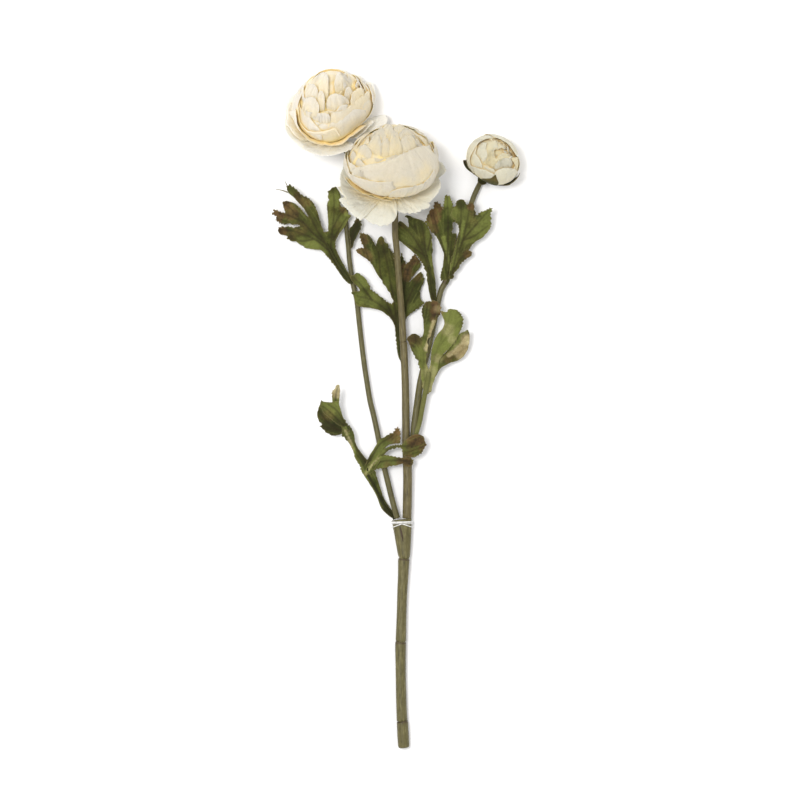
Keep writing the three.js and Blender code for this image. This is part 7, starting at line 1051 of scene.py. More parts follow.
    'flower_a_round_2': [{"rim": [[-51.9, 278.5], [-62.6, 275.7], [-71.2, 269.1], [-76.9, 260.1], [-79.8, 249.4], [-80.6, 239.6]], "span": (80, 240), "ruffle": 0.35, "freq": 1.5, "tilt": 0.3, "narrow": 0.75, "wave": 0.3, "crease": 0.3, "nu": 54, "nv": 34, "out": -0.2, "seed": 21}, {"rim": [[-79.4, 253.5], [-79.0, 243.7], [-76.9, 233.8], [-72.0, 226.5], [-65.9, 222.8], [-58.5, 220.7], [-48.7, 219.9], [-39.6, 220.7], [-32.3, 224.4], [-25.3, 230.6], [-21.6, 237.9]], "span": (150, 370), "ruffle": 0.3, "freq": 1.5, "tilt": 0.3, "narrow": 0.75, "wave": 0.5, "crease": 0.5, "nu": 84, "nv": 38, "out": 0.6, "curl": 2.6, "seed": 5, "fold": [[-0.5, 0.3, 0.06, 0.6], [-0.15, 0.2, 0.05, -0.6], [0.2, 0.1, 0.06, 0.6], [0.5, -0.1, 0.05, -0.6]]}, {"rim": [[-37.2, 219.9], [-27.3, 226.5], [-21.6, 235.5], [-18.3, 246.1], [-18.3, 256.8], [-20.0, 265.8], [-24.9, 273.2]], "span": (-60, 100), "ruffle": 0.3, "freq": 1.5, "tilt": 0.3, "narrow": 0.75, "wave": 0.3, "crease": 0.3, "nu": 54, "nv": 34, "out": 0.0, "seed": 23}, {"rim": [[-20.0, 260.1], [-23.2, 269.1], [-29.8, 274.4], [-38.8, 277.7], [-48.7, 278.9], [-58.5, 276.5]], "span": (10, 150), "ruffle": 0.4, "freq": 2.2, "tilt": 0.3, "narrow": 0.75, "wave": 0.3, "crease": 0.3, "nu": 54, "nv": 34, "out": -0.9, "seed": 24}, {"phi": 20.0, "half": 54, "out": -1.4, "reach": 1.2, "tilt": 0.5, "ruffle": 0.5, "freq": 2.4, "pleat": 0.4, "pf": 3.0, "nu": 40, "nv": 20, "narrow": 0.8, "crease": 0.2, "base": 0.35}, {"phi": 110.0, "half": 54, "out": -1.4, "reach": 1.2, "tilt": 0.5, "ruffle": 0.5, "freq": 2.4, "pleat": 0.4, "pf": 3.0, "nu": 40, "nv": 20, "narrow": 0.8, "crease": 0.2, "base": 0.35}, {"phi": 200.0, "half": 54, "out": -1.4, "reach": 1.2, "tilt": 0.5, "ruffle": 0.5, "freq": 2.4, "pleat": 0.4, "pf": 3.0, "nu": 40, "nv": 20, "narrow": 0.8, "crease": 0.2, "base": 0.35}, {"phi": 290.0, "half": 54, "out": -1.4, "reach": 1.2, "tilt": 0.5, "ruffle": 0.5, "freq": 2.4, "pleat": 0.4, "pf": 3.0, "nu": 40, "nv": 20, "narrow": 0.8, "crease": 0.2, "base": 0.35}, {"phi": 65.0, "half": 54, "out": -2.6, "reach": 1.165, "tilt": 0.5, "ruffle": 0.5, "freq": 2.4, "pleat": 0.4, "pf": 3.0, "nu": 40, "nv": 20, "narrow": 0.8, "crease": 0.2, "base": 0.35}, {"phi": 155.0, "half": 54, "out": -2.6, "reach": 1.165, "tilt": 0.5, "ruffle": 0.5, "freq": 2.4, "pleat": 0.4, "pf": 3.0, "nu": 40, "nv": 20, "narrow": 0.8, "crease": 0.2, "base": 0.35}, {"phi": 245.0, "half": 54, "out": -2.6, "reach": 1.165, "tilt": 0.5, "ruffle": 0.5, "freq": 2.4, "pleat": 0.4, "pf": 3.0, "nu": 40, "nv": 20, "narrow": 0.8, "crease": 0.2, "base": 0.35}, {"phi": 335.0, "half": 54, "out": -2.6, "reach": 1.165, "tilt": 0.5, "ruffle": 0.5, "freq": 2.4, "pleat": 0.4, "pf": 3.0, "nu": 40, "nv": 20, "narrow": 0.8, "crease": 0.2, "base": 0.35}],
    'flower_a_round_3': [{"deep": 0.32, "rim": [[-53.6, 275.7], [-62.6, 272.4], [-69.2, 266.6], [-74.1, 258.4], [-75.7, 249.4], [-75.7, 241.2]], "span": (80, 240), "ruffle": 0.35, "freq": 1.8, "tilt": 0.3, "narrow": 0.7, "wave": 0.3, "crease": 0.3, "nu": 54, "nv": 32, "out": -0.2, "seed": 26}, {"deep": 0.32, "rim": [[-75.3, 252.7], [-75.7, 245.3], [-74.5, 238.8], [-70.0, 234.2], [-62.6, 232.6], [-54.4, 233.8], [-47.0, 236.7]], "span": (150, 345), "ruffle": 0.3, "freq": 1.5, "tilt": 0.3, "narrow": 0.7, "wave": 0.3, "crease": 0.3, "nu": 54, "nv": 32, "out": 1.6, "curl": 2.8, "seed": 6}, {"deep": 0.32, "rim": [[-55.2, 243.7], [-50.3, 246.1], [-41.3, 249.0], [-34.7, 254.3], [-29.0, 258.4], [-24.1, 264.2]], "span": (215, 400), "ruffle": 0.35, "freq": 1.5, "tilt": 0.3, "narrow": 0.8, "wave": 0.3, "crease": 0.3, "nu": 54, "nv": 36, "out": 1.4, "curl": 1.2, "seed": 9}, {"deep": 0.32, "phi": 42, "half": 46, "reach": 1.0, "tilt": 0.6, "ruffle": 0.5, "pleat": 1.0, "pf": 2.4, "hshift": 4, "nu": 56}, {"deep": 0.32, "phi": 98, "half": 46, "reach": 0.84, "tilt": 0.6, "ruffle": 0.5, "pleat": 1.4, "pf": 2.6, "hshift": 7, "grow": 1.5, "nu": 60}, {"phi": 60.0, "half": 54, "out": -1.4, "reach": 1.14, "tilt": 0.5, "ruffle": 0.5, "freq": 2.4, "pleat": 0.4, "pf": 3.0, "nu": 40, "nv": 20, "narrow": 0.8, "crease": 0.2, "base": 0.35}, {"phi": 150.0, "half": 54, "out": -1.4, "reach": 1.14, "tilt": 0.5, "ruffle": 0.5, "freq": 2.4, "pleat": 0.4, "pf": 3.0, "nu": 40, "nv": 20, "narrow": 0.8, "crease": 0.2, "base": 0.35}, {"phi": 240.0, "half": 54, "out": -1.4, "reach": 1.14, "tilt": 0.5, "ruffle": 0.5, "freq": 2.4, "pleat": 0.4, "pf": 3.0, "nu": 40, "nv": 20, "narrow": 0.8, "crease": 0.2, "base": 0.35}, {"phi": 330.0, "half": 54, "out": -1.4, "reach": 1.14, "tilt": 0.5, "ruffle": 0.5, "freq": 2.4, "pleat": 0.4, "pf": 3.0, "nu": 40, "nv": 20, "narrow": 0.8, "crease": 0.2, "base": 0.35}, {"phi": 20.0, "half": 54, "out": -2.6, "reach": 1.06, "tilt": 0.5, "ruffle": 0.5, "freq": 2.4, "pleat": 0.4, "pf": 3.0, "nu": 40, "nv": 20, "narrow": 0.8, "crease": 0.2, "base": 0.35}, {"phi": 110.0, "half": 54, "out": -2.6, "reach": 1.06, "tilt": 0.5, "ruffle": 0.5, "freq": 2.4, "pleat": 0.4, "pf": 3.0, "nu": 40, "nv": 20, "narrow": 0.8, "crease": 0.2, "base": 0.35}, {"phi": 200.0, "half": 54, "out": -2.6, "reach": 1.06, "tilt": 0.5, "ruffle": 0.5, "freq": 2.4, "pleat": 0.4, "pf": 3.0, "nu": 40, "nv": 20, "narrow": 0.8, "crease": 0.2, "base": 0.35}, {"phi": 290.0, "half": 54, "out": -2.6, "reach": 1.06, "tilt": 0.5, "ruffle": 0.5, "freq": 2.4, "pleat": 0.4, "pf": 3.0, "nu": 40, "nv": 20, "narrow": 0.8, "crease": 0.2, "base": 0.35}],
    'flower_a_round_4': [{"deep": 0.1, "rim": [[-75.7, 243.7], [-75.9, 251.1], [-74.1, 256.4], [-70.0, 258.8], [-65.5, 257.6], [-62.6, 252.7], [-61.8, 247.0]], "ka": 1.1, "kb": 1.34, "ruffle": 0.3, "tilt": 0.5, "narrow": 0.88, "wave": 0.45, "crease": 0.5, "cup": -1.3, "nu": 40, "nv": 28, "base": 0.35, "tmax": 1.7, "fray": 0.3, "span": (130, 320), "seed": 70, "out": 0.4}, {"deep": 0.1, "rim": [[-74.5, 252.3], [-72.4, 248.2], [-67.5, 245.7], [-60.1, 245.7], [-53.6, 247.8]], "ka": 1.1, "kb": 1.34, "ruffle": 0.3, "tilt": 0.5, "narrow": 0.88, "wave": 0.45, "crease": 0.5, "nu": 40, "nv": 28, "base": 0.35, "tmax": 1.7, "fray": 0.3, "span": (160, 330), "seed": 71, "out": 0.8, "cup": 0.0}, {"deep": 0.1, "rim": [[-63.0, 238.8], [-62.2, 243.7], [-58.5, 246.1], [-54.4, 244.9], [-52.8, 239.6]], "ka": 1.1, "kb": 1.34, "ruffle": 0.3, "tilt": 0.5, "narrow": 0.88, "wave": 0.45, "crease": 0.5, "cup": -1.3, "nu": 40, "nv": 28, "base": 0.35, "tmax": 1.7, "fray": 0.3, "span": (180, 330), "seed": 72, "out": 1.4}, {"rim": [[-37.2, 252.7], [-35.5, 260.1], [-31.4, 265.0], [-26.5, 265.8], [-23.2, 261.7], [-21.6, 255.2]], "ka": 1.1, "kb": 1.34, "ruffle": 0.3, "tilt": 0.5, "narrow": 0.88, "wave": 0.45, "crease": 0.5, "cup": -1.3, "nu": 40, "nv": 28, "base": 0.35, "tmax": 1.7, "fray": 0.3, "span": (240, 420), "seed": 73, "deep": 0.2, "pleat": 0.4, "pf": 2}, {"phi": 48, "half": 42, "reach": 0.8, "ka": 1.1, "kb": 1.34, "tilt": 0.6, "ruffle": 0.5, "pleat": 0.8, "pf": 2.4, "nu": 48, "nv": 26, "narrow": 0.7, "base": 0.2, "seed": 600, "deep": 0.1}, {"phi": 96, "half": 42, "reach": 0.8300000000000001, "ka": 1.1, "kb": 1.34, "tilt": 0.6, "ruffle": 0.5, "pleat": 0.8, "pf": 2.4, "nu": 48, "nv": 26, "narrow": 0.7, "base": 0.2, "seed": 601, "deep": 0.1}, {"phi": 144, "half": 42, "reach": 0.8600000000000001, "ka": 1.1, "kb": 1.34, "tilt": 0.6, "ruffle": 0.5, "pleat": 0.8, "pf": 2.4, "nu": 48, "nv": 26, "narrow": 0.7, "base": 0.2, "seed": 602, "deep": 0.1}, {"phi": 190.0, "half": 54, "out": -1.4, "reach": 0.98, "tilt": 0.5, "ruffle": 0.5, "freq": 2.4, "pleat": 0.4, "pf": 3.0, "nu": 40, "nv": 20, "narrow": 0.8, "crease": 0.2, "base": 0.35, "ka": 1.1, "kb": 1.34}, {"phi": 280.0, "half": 54, "out": -1.4, "reach": 0.98, "tilt": 0.5, "ruffle": 0.5, "freq": 2.4, "pleat": 0.4, "pf": 3.0, "nu": 40, "nv": 20, "narrow": 0.8, "crease": 0.2, "base": 0.35, "ka": 1.1, "kb": 1.34}, {"phi": 370.0, "half": 54, "out": -1.4, "reach": 0.98, "tilt": 0.5, "ruffle": 0.5, "freq": 2.4, "pleat": 0.4, "pf": 3.0, "nu": 40, "nv": 20, "narrow": 0.8, "crease": 0.2, "base": 0.35, "ka": 1.1, "kb": 1.34}, {"phi": 460.0, "half": 54, "out": -1.4, "reach": 0.98, "tilt": 0.5, "ruffle": 0.5, "freq": 2.4, "pleat": 0.4, "pf": 3.0, "nu": 40, "nv": 20, "narrow": 0.8, "crease": 0.2, "base": 0.35, "ka": 1.1, "kb": 1.34}],
    'flower_a_round_5': [{"deep": 0.12, "rim": [[-56.5, 246.1], [-56.2, 255.2], [-53.6, 259.7], [-48.7, 261.3], [-43.3, 259.7], [-38.8, 255.2], [-36.4, 249.4]], "ka": 1.18, "kb": 1.5, "ruffle": 0.3, "tilt": 0.5, "narrow": 0.88, "wave": 0.45, "crease": 0.5, "cup": -1.3, "nu": 40, "nv": 28, "base": 0.35, "tmax": 1.7, "fray": 0.3, "span": (160, 380), "seed": 74, "out": 0.6}, {"deep": 0.12, "rim": [[-63.8, 249.4], [-63.8, 257.6], [-62.2, 262.5], [-59.7, 263.4], [-57.7, 259.3], [-57.7, 250.2]], "ka": 1.18, "kb": 1.5, "ruffle": 0.3, "tilt": 0.5, "narrow": 0.88, "wave": 0.45, "crease": 0.5, "cup": -1.3, "nu": 40, "nv": 28, "base": 0.35, "tmax": 1.7, "fray": 0.3, "span": (130, 330), "seed": 75, "out": 0.4}, {"rim": [[-75.3, 255.2], [-74.9, 262.5], [-72.0, 267.5], [-67.5, 269.5], [-63.8, 265.8], [-63.0, 257.6]], "ka": 1.18, "kb": 1.5, "ruffle": 0.3, "tilt": 0.5, "narrow": 0.88, "wave": 0.45, "crease": 0.5, "cup": -1.3, "nu": 40, "nv": 28, "base": 0.35, "tmax": 1.7, "fray": 0.3, "span": (100, 300), "seed": 76, "deep": 0.15}, {"deep": 0.12, "rim": [[-41.7, 256.0], [-41.3, 262.5], [-39.6, 266.6], [-37.2, 265.8], [-36.4, 260.1], [-36.4, 255.2]], "ka": 1.18, "kb": 1.5, "ruffle": 0.3, "tilt": 0.5, "narrow": 0.88, "wave": 0.45, "crease": 0.5, "cup": -1.3, "nu": 40, "nv": 28, "base": 0.35, "tmax": 1.7, "fray": 0.3, "span": (240, 420), "seed": 77}, {"rim": [[-23.2, 257.6], [-22.4, 264.2], [-24.1, 270.7], [-27.3, 274.8], [-31.4, 273.6], [-33.5, 266.6]], "ka": 1.18, "kb": 1.5, "ruffle": 0.3, "tilt": 0.5, "narrow": 0.88, "wave": 0.45, "crease": 0.5, "cup": -1.3, "nu": 40, "nv": 28, "base": 0.35, "tmax": 1.7, "fray": 0.3, "span": (-60, 140), "seed": 78, "deep": 0.2, "pleat": 0.4, "pf": 2}, {"phi": 70, "half": 44, "reach": 0.78, "ka": 1.18, "kb": 1.5, "tilt": 0.6, "ruffle": 0.5, "pleat": 0.8, "pf": 2.2, "nu": 48, "nv": 26, "narrow": 0.7, "base": 0.2, "seed": 610, "deep": 0.1}, {"phi": 120, "half": 44, "reach": 0.81, "ka": 1.18, "kb": 1.5, "tilt": 0.6, "ruffle": 0.5, "pleat": 0.8, "pf": 2.2, "nu": 48, "nv": 26, "narrow": 0.7, "base": 0.2, "seed": 611, "deep": 0.1}, {"phi": 270.0, "half": 70, "out": -1.4, "reach": 0.92, "tilt": 0.5, "ruffle": 0.5, "freq": 2.4, "pleat": 0.4, "pf": 3.0, "nu": 40, "nv": 20, "narrow": 0.8, "crease": 0.2, "base": 0.35, "ka": 1.18, "kb": 1.5}, {"phi": 390.0, "half": 70, "out": -1.4, "reach": 0.92, "tilt": 0.5, "ruffle": 0.5, "freq": 2.4, "pleat": 0.4, "pf": 3.0, "nu": 40, "nv": 20, "narrow": 0.8, "crease": 0.2, "base": 0.35, "ka": 1.18, "kb": 1.5}, {"phi": 510.0, "half": 70, "out": -1.4, "reach": 0.92, "tilt": 0.5, "ruffle": 0.5, "freq": 2.4, "pleat": 0.4, "pf": 3.0, "nu": 40, "nv": 20, "narrow": 0.8, "crease": 0.2, "base": 0.35, "ka": 1.18, "kb": 1.5}],
    'flower_a_round_6': [{"rim": [[-71.6, 264.2], [-71.2, 269.9], [-69.2, 274.8], [-65.9, 276.9], [-63.4, 274.0], [-63.0, 265.8]], "ka": 1.3, "kb": 1.62, "ruffle": 0.3, "tilt": 0.5, "narrow": 0.88, "wave": 0.45, "crease": 0.5, "cup": -1.3, "nu": 40, "nv": 28, "base": 0.35, "tmax": 1.7, "fray": 0.3, "span": (90, 300), "seed": 79, "deep": 0.1}, {"deep": 0.16, "rim": [[-63.4, 265.8], [-63.0, 273.2], [-61.0, 277.3], [-57.7, 278.5], [-55.2, 275.7], [-55.2, 269.1]], "ka": 1.3, "kb": 1.62, "ruffle": 0.3, "tilt": 0.5, "narrow": 0.88, "wave": 0.45, "crease": 0.5, "cup": -1.3, "nu": 40, "nv": 28, "base": 0.35, "tmax": 1.7, "fray": 0.3, "span": (90, 300), "seed": 82, "out": 0.4}, {"deep": 0.16, "rim": [[-49.9, 261.7], [-49.9, 270.7], [-48.7, 276.5], [-46.2, 278.9], [-44.1, 275.7], [-44.1, 264.2]], "ka": 1.3, "kb": 1.62, "ruffle": 0.3, "tilt": 0.5, "narrow": 0.88, "wave": 0.45, "crease": 0.5, "cup": -1.3, "nu": 40, "nv": 28, "base": 0.35, "tmax": 1.7, "fray": 0.3, "span": (100, 440), "seed": 80, "out": 0.5}, {"deep": 0.16, "rim": [[-44.6, 263.4], [-44.1, 271.6], [-42.9, 276.5], [-40.5, 278.1], [-38.8, 274.0], [-38.8, 263.4]], "ka": 1.3, "kb": 1.62, "ruffle": 0.3, "tilt": 0.5, "narrow": 0.88, "wave": 0.45, "crease": 0.5, "cup": -1.3, "nu": 40, "nv": 28, "base": 0.35, "tmax": 1.7, "fray": 0.3, "span": (100, 440), "seed": 81}, {"deep": 0.16, "rim": [[-38.8, 264.2], [-38.4, 270.7], [-36.4, 275.7], [-33.9, 275.2], [-32.3, 269.1]], "ka": 1.3, "kb": 1.62, "ruffle": 0.3, "tilt": 0.5, "narrow": 0.88, "wave": 0.45, "crease": 0.5, "cup": -1.3, "nu": 40, "nv": 28, "base": 0.35, "tmax": 1.7, "fray": 0.3, "span": (-60, 440), "seed": 83, "out": 0.4}, {"ka": 1.3, "kb": 1.62, "phi": 95, "half": 50, "reach": 0.86, "ruffle": 0.4, "pleat": 1.2, "pf": 2.2, "nu": 60, "nv": 30, "wave": 0.2, "tilt": 0.3}],
    'flower_a_heart': [{"phi": 100, "half": 80, "ka": 1.35, "kb": 1.6, "psi": 95, "ruffle": 0.3, "pleat": 0.7, "pf": 2.0, "tilt": 0.4, "nu": 48, "nv": 26, "crease": 0.2, "wave": 0.2, "dh": 0, "deep": 0.3}, {"phi": 200, "half": 40, "ka": 1.2, "kb": 1.5, "psi": 90, "ruffle": 0.3, "pleat": 0.4, "pf": 1.6, "tilt": 0.4, "nu": 40, "nv": 24, "crease": 0.2, "wave": 0.2, "dh": 0, "deep": 0.3}, {"phi": 330, "half": 50, "ka": 1.2, "kb": 1.5, "psi": 90, "ruffle": 0.3, "pleat": 0.4, "pf": 1.6, "tilt": 0.4, "nu": 40, "nv": 24, "crease": 0.2, "wave": 0.2, "dh": 0, "deep": 0.3}],
    'bud_round_1': [{"rim": [[72.7, 223.6], [67.4, 219.5], [63.7, 213.7], [61.6, 208.4], [62.0, 202.7], [65.7, 199.4]], "span": (110, 300), "ruffle": 0.2, "tilt": 0.2, "narrow": 0.75, "wave": 0.2, "crease": 0.2, "nu": 44, "nv": 30, "out": 0.2, "seed": 4}, {"rim": [[102.9, 196.9], [102.5, 205.1], [99.3, 211.3], [95.2, 216.6], [90.3, 221.1], [85.0, 224.4], [78.4, 225.2]], "span": (-60, 140), "ruffle": 0.2, "tilt": 0.2, "narrow": 0.75, "wave": 0.2, "crease": 0.2, "nu": 44, "nv": 30, "out": 0.2, "seed": 6}, {"rim": [[83.4, 224.8], [77.6, 224.8], [72.7, 223.6], [67.8, 220.3]], "span": (60, 190), "ruffle": 0.2, "tilt": 0.2, "narrow": 0.75, "wave": 0.2, "crease": 0.2, "nu": 44, "nv": 30, "out": -0.1, "seed": 41}, {"rim": [[99.3, 196.1], [98.8, 202.7], [96.5, 208.8], [92.0, 214.2], [86.2, 218.7], [80.1, 221.9], [72.7, 222.8]], "span": (-70, 150), "ruffle": 0.2, "tilt": 0.2, "narrow": 0.75, "wave": 0.2, "crease": 0.2, "nu": 44, "nv": 30, "out": -0.5, "seed": 5, "deep": 0.35}, {"rim": [[59.6, 206.0], [62.0, 202.3], [66.1, 200.6], [71.1, 199.4], [76.0, 197.8], [80.9, 194.9], [84.2, 192.0]], "span": (170, 340), "ruffle": 0.2, "tilt": 0.2, "narrow": 0.75, "wave": 0.2, "crease": 0.2, "nu": 44, "nv": 30, "out": 0.5, "seed": 7}, {"rim": [[80.1, 192.8], [83.0, 198.2], [88.3, 200.2], [93.2, 200.2], [97.3, 199.4], [100.6, 196.9]], "span": (220, 400), "ruffle": 0.2, "tilt": 0.2, "narrow": 0.75, "wave": 0.2, "crease": 0.2, "nu": 44, "nv": 30, "out": 0.8, "seed": 8}, {"phi": 30.0, "half": 54, "out": -1.0, "reach": 1.3, "tilt": 0.5, "ruffle": 0.2, "freq": 2.4, "pleat": 0.2, "pf": 3.0, "nu": 40, "nv": 20, "narrow": 0.8, "crease": 0.2, "base": 0.35}, {"phi": 120.0, "half": 54, "out": -1.0, "reach": 1.3, "tilt": 0.5, "ruffle": 0.2, "freq": 2.4, "pleat": 0.2, "pf": 3.0, "nu": 40, "nv": 20, "narrow": 0.8, "crease": 0.2, "base": 0.35}, {"phi": 210.0, "half": 54, "out": -1.0, "reach": 1.3, "tilt": 0.5, "ruffle": 0.2, "freq": 2.4, "pleat": 0.2, "pf": 3.0, "nu": 40, "nv": 20, "narrow": 0.8, "crease": 0.2, "base": 0.35}, {"phi": 300.0, "half": 54, "out": -1.0, "reach": 1.3, "tilt": 0.5, "ruffle": 0.2, "freq": 2.4, "pleat": 0.2, "pf": 3.0, "nu": 40, "nv": 20, "narrow": 0.8, "crease": 0.2, "base": 0.35}, {"phi": 75.0, "half": 54, "out": -2.0, "reach": 1.2650000000000001, "tilt": 0.5, "ruffle": 0.2, "freq": 2.4, "pleat": 0.2, "pf": 3.0, "nu": 40, "nv": 20, "narrow": 0.8, "crease": 0.2, "base": 0.35}, {"phi": 165.0, "half": 54, "out": -2.0, "reach": 1.2650000000000001, "tilt": 0.5, "ruffle": 0.2, "freq": 2.4, "pleat": 0.2, "pf": 3.0, "nu": 40, "nv": 20, "narrow": 0.8, "crease": 0.2, "base": 0.35}, {"phi": 255.0, "half": 54, "out": -2.0, "reach": 1.2650000000000001, "tilt": 0.5, "ruffle": 0.2, "freq": 2.4, "pleat": 0.2, "pf": 3.0, "nu": 40, "nv": 20, "narrow": 0.8, "crease": 0.2, "base": 0.35}, {"phi": 345.0, "half": 54, "out": -2.0, "reach": 1.2650000000000001, "tilt": 0.5, "ruffle": 0.2, "freq": 2.4, "pleat": 0.2, "pf": 3.0, "nu": 40, "nv": 20, "narrow": 0.8, "crease": 0.2, "base": 0.35}],
    'bud_round_2': [{"rim": [[63.3, 200.2], [62.0, 207.6], [63.3, 214.6], [67.0, 219.5], [71.1, 221.1], [75.2, 219.9], [76.0, 211.7], [74.3, 205.1]], "span": (60, 360), "ruffle": 0.2, "tilt": 0.2, "narrow": 0.75, "wave": 0.2, "crease": 0.2, "nu": 44, "nv": 30, "out": 0.9, "cup": -0.4, "seed": 9}, {"rim": [[73.5, 201.9], [74.3, 210.1], [75.2, 218.3], [78.4, 221.1], [82.1, 220.7], [84.2, 215.8], [84.2, 207.6]], "span": (60, 400), "ruffle": 0.2, "tilt": 0.2, "narrow": 0.75, "wave": 0.2, "crease": 0.2, "nu": 44, "nv": 30, "out": 0.2, "cup": -0.4, "deep": 0.2, "seed": 10}, {"rim": [[82.5, 203.5], [83.4, 208.4], [84.6, 215.0], [86.2, 217.8], [89.1, 217.0], [92.8, 213.7], [95.2, 208.4]], "span": (-90, 400), "ruffle": 0.2, "tilt": 0.2, "narrow": 0.75, "wave": 0.2, "crease": 0.2, "nu": 44, "nv": 30, "out": 0.0, "deep": 0.3, "pleat": 0.5, "pf": 3, "seed": 12}, {"rim": [[80.9, 201.9], [84.6, 206.4], [89.1, 208.4], [93.2, 208.0], [96.1, 205.1], [97.3, 201.0]], "span": (240, 420), "ruffle": 0.2, "tilt": 0.2, "narrow": 0.75, "wave": 0.2, "crease": 0.2, "nu": 44, "nv": 30, "out": 0.6, "seed": 11}, {"rim": [[83.4, 205.1], [84.2, 210.1], [87.5, 212.5], [91.6, 211.7], [94.8, 207.6]], "span": (200, 420), "ruffle": 0.2, "tilt": 0.2, "narrow": 0.75, "wave": 0.2, "crease": 0.2, "nu": 44, "nv": 30, "out": 0.25, "deep": 0.3, "seed": 13}, {"phi": 95, "half": 60, "reach": 1.3, "ruffle": 0.6, "freq": 2.6}, {"phi": 70.0, "half": 54, "out": -1.2, "reach": 1.25, "tilt": 0.5, "ruffle": 0.5, "freq": 2.4, "pleat": 0.4, "pf": 3.0, "nu": 40, "nv": 20, "narrow": 0.8, "crease": 0.2, "base": 0.35, "hshift": 1.5}, {"phi": 160.0, "half": 54, "out": -1.2, "reach": 1.25, "tilt": 0.5, "ruffle": 0.5, "freq": 2.4, "pleat": 0.4, "pf": 3.0, "nu": 40, "nv": 20, "narrow": 0.8, "crease": 0.2, "base": 0.35, "hshift": 1.5}, {"phi": 250.0, "half": 54, "out": -1.2, "reach": 1.25, "tilt": 0.5, "ruffle": 0.5, "freq": 2.4, "pleat": 0.4, "pf": 3.0, "nu": 40, "nv": 20, "narrow": 0.8, "crease": 0.2, "base": 0.35, "hshift": 1.5}, {"phi": 340.0, "half": 54, "out": -1.2, "reach": 1.25, "tilt": 0.5, "ruffle": 0.5, "freq": 2.4, "pleat": 0.4, "pf": 3.0, "nu": 40, "nv": 20, "narrow": 0.8, "crease": 0.2, "base": 0.35, "hshift": 1.5}],
    'bud_heart': [{"phi": 240.0, "half": 62, "ka": 1.12, "kb": 1.05, "dh": -0.2, "psi": 168, "ruffle": 0.5, "pleat": 0.9, "pf": 2.6, "tilt": 0.7, "nu": 40, "nv": 26, "hshift": 2}, {"phi": 330.0, "half": 62, "ka": 1.12, "kb": 1.05, "dh": -0.2, "psi": 168, "ruffle": 0.5, "pleat": 0.9, "pf": 2.6, "tilt": 0.7, "nu": 40, "nv": 26, "hshift": 2}, {"phi": 420.0, "half": 62, "ka": 1.12, "kb": 1.05, "dh": -0.2, "psi": 168, "ruffle": 0.5, "pleat": 0.9, "pf": 2.6, "tilt": 0.7, "nu": 40, "nv": 26, "hshift": 2}, {"phi": 510.0, "half": 62, "ka": 1.12, "kb": 1.05, "dh": -0.2, "psi": 168, "ruffle": 0.5, "pleat": 0.9, "pf": 2.6, "tilt": 0.7, "nu": 40, "nv": 26, "hshift": 2}, {"phi": 300.0, "half": 74, "ka": 0.75, "kb": 1.05, "psi": 172, "hshift": 1.5, "ruffle": 0.5, "freq": 2.6, "tilt": 0.7, "nu": 32, "nv": 20}, {"phi": 420.0, "half": 74, "ka": 0.75, "kb": 1.05, "psi": 172, "hshift": 1.5, "ruffle": 0.5, "freq": 2.6, "tilt": 0.7, "nu": 32, "nv": 20}, {"phi": 540.0, "half": 74, "ka": 0.75, "kb": 1.05, "psi": 172, "hshift": 1.5, "ruffle": 0.5, "freq": 2.6, "tilt": 0.7, "nu": 32, "nv": 20}],
}

SEPALS = [{"rim": [[68.6, 189.6], [72.7, 191.4], [77.6, 192.3], [81.9, 195.0], [83.4, 192.0], [85.0, 187.5]], "span": (180, 340), "tmax": 1.4, "seed": 90, "out": 0.9}, {"rim": [[93.2, 187.5], [97.3, 190.8], [103.0, 195.6], [102.2, 192.8], [98.1, 188.7]], "span": (250, 420), "tmax": 1.4, "seed": 91, "out": 2.6}, {"rim": [[68.6, 189.6], [62.0, 194.5], [57.5, 199.8], [56.0, 204.7], [57.9, 208.8]], "span": (120, 290), "tmax": 1.4, "seed": 92, "out": 0.9}]


HEADS["b"]["dents"] = (HEADS["b"].get("dents") or []) + [[8, 0.09, 36]]
HEADS["a"]["dents"] = (HEADS["a"].get("dents") or []) + [[32, -0.15, 44], [90, -0.05, 40]]
HEADS["bud"]["dents"] = (HEADS["bud"].get("dents") or []) + [[270, 0.245, 50], [90, 0.05, 60]]


GOLD_ANGLE = math.pi * (3 - math.sqrt(5))


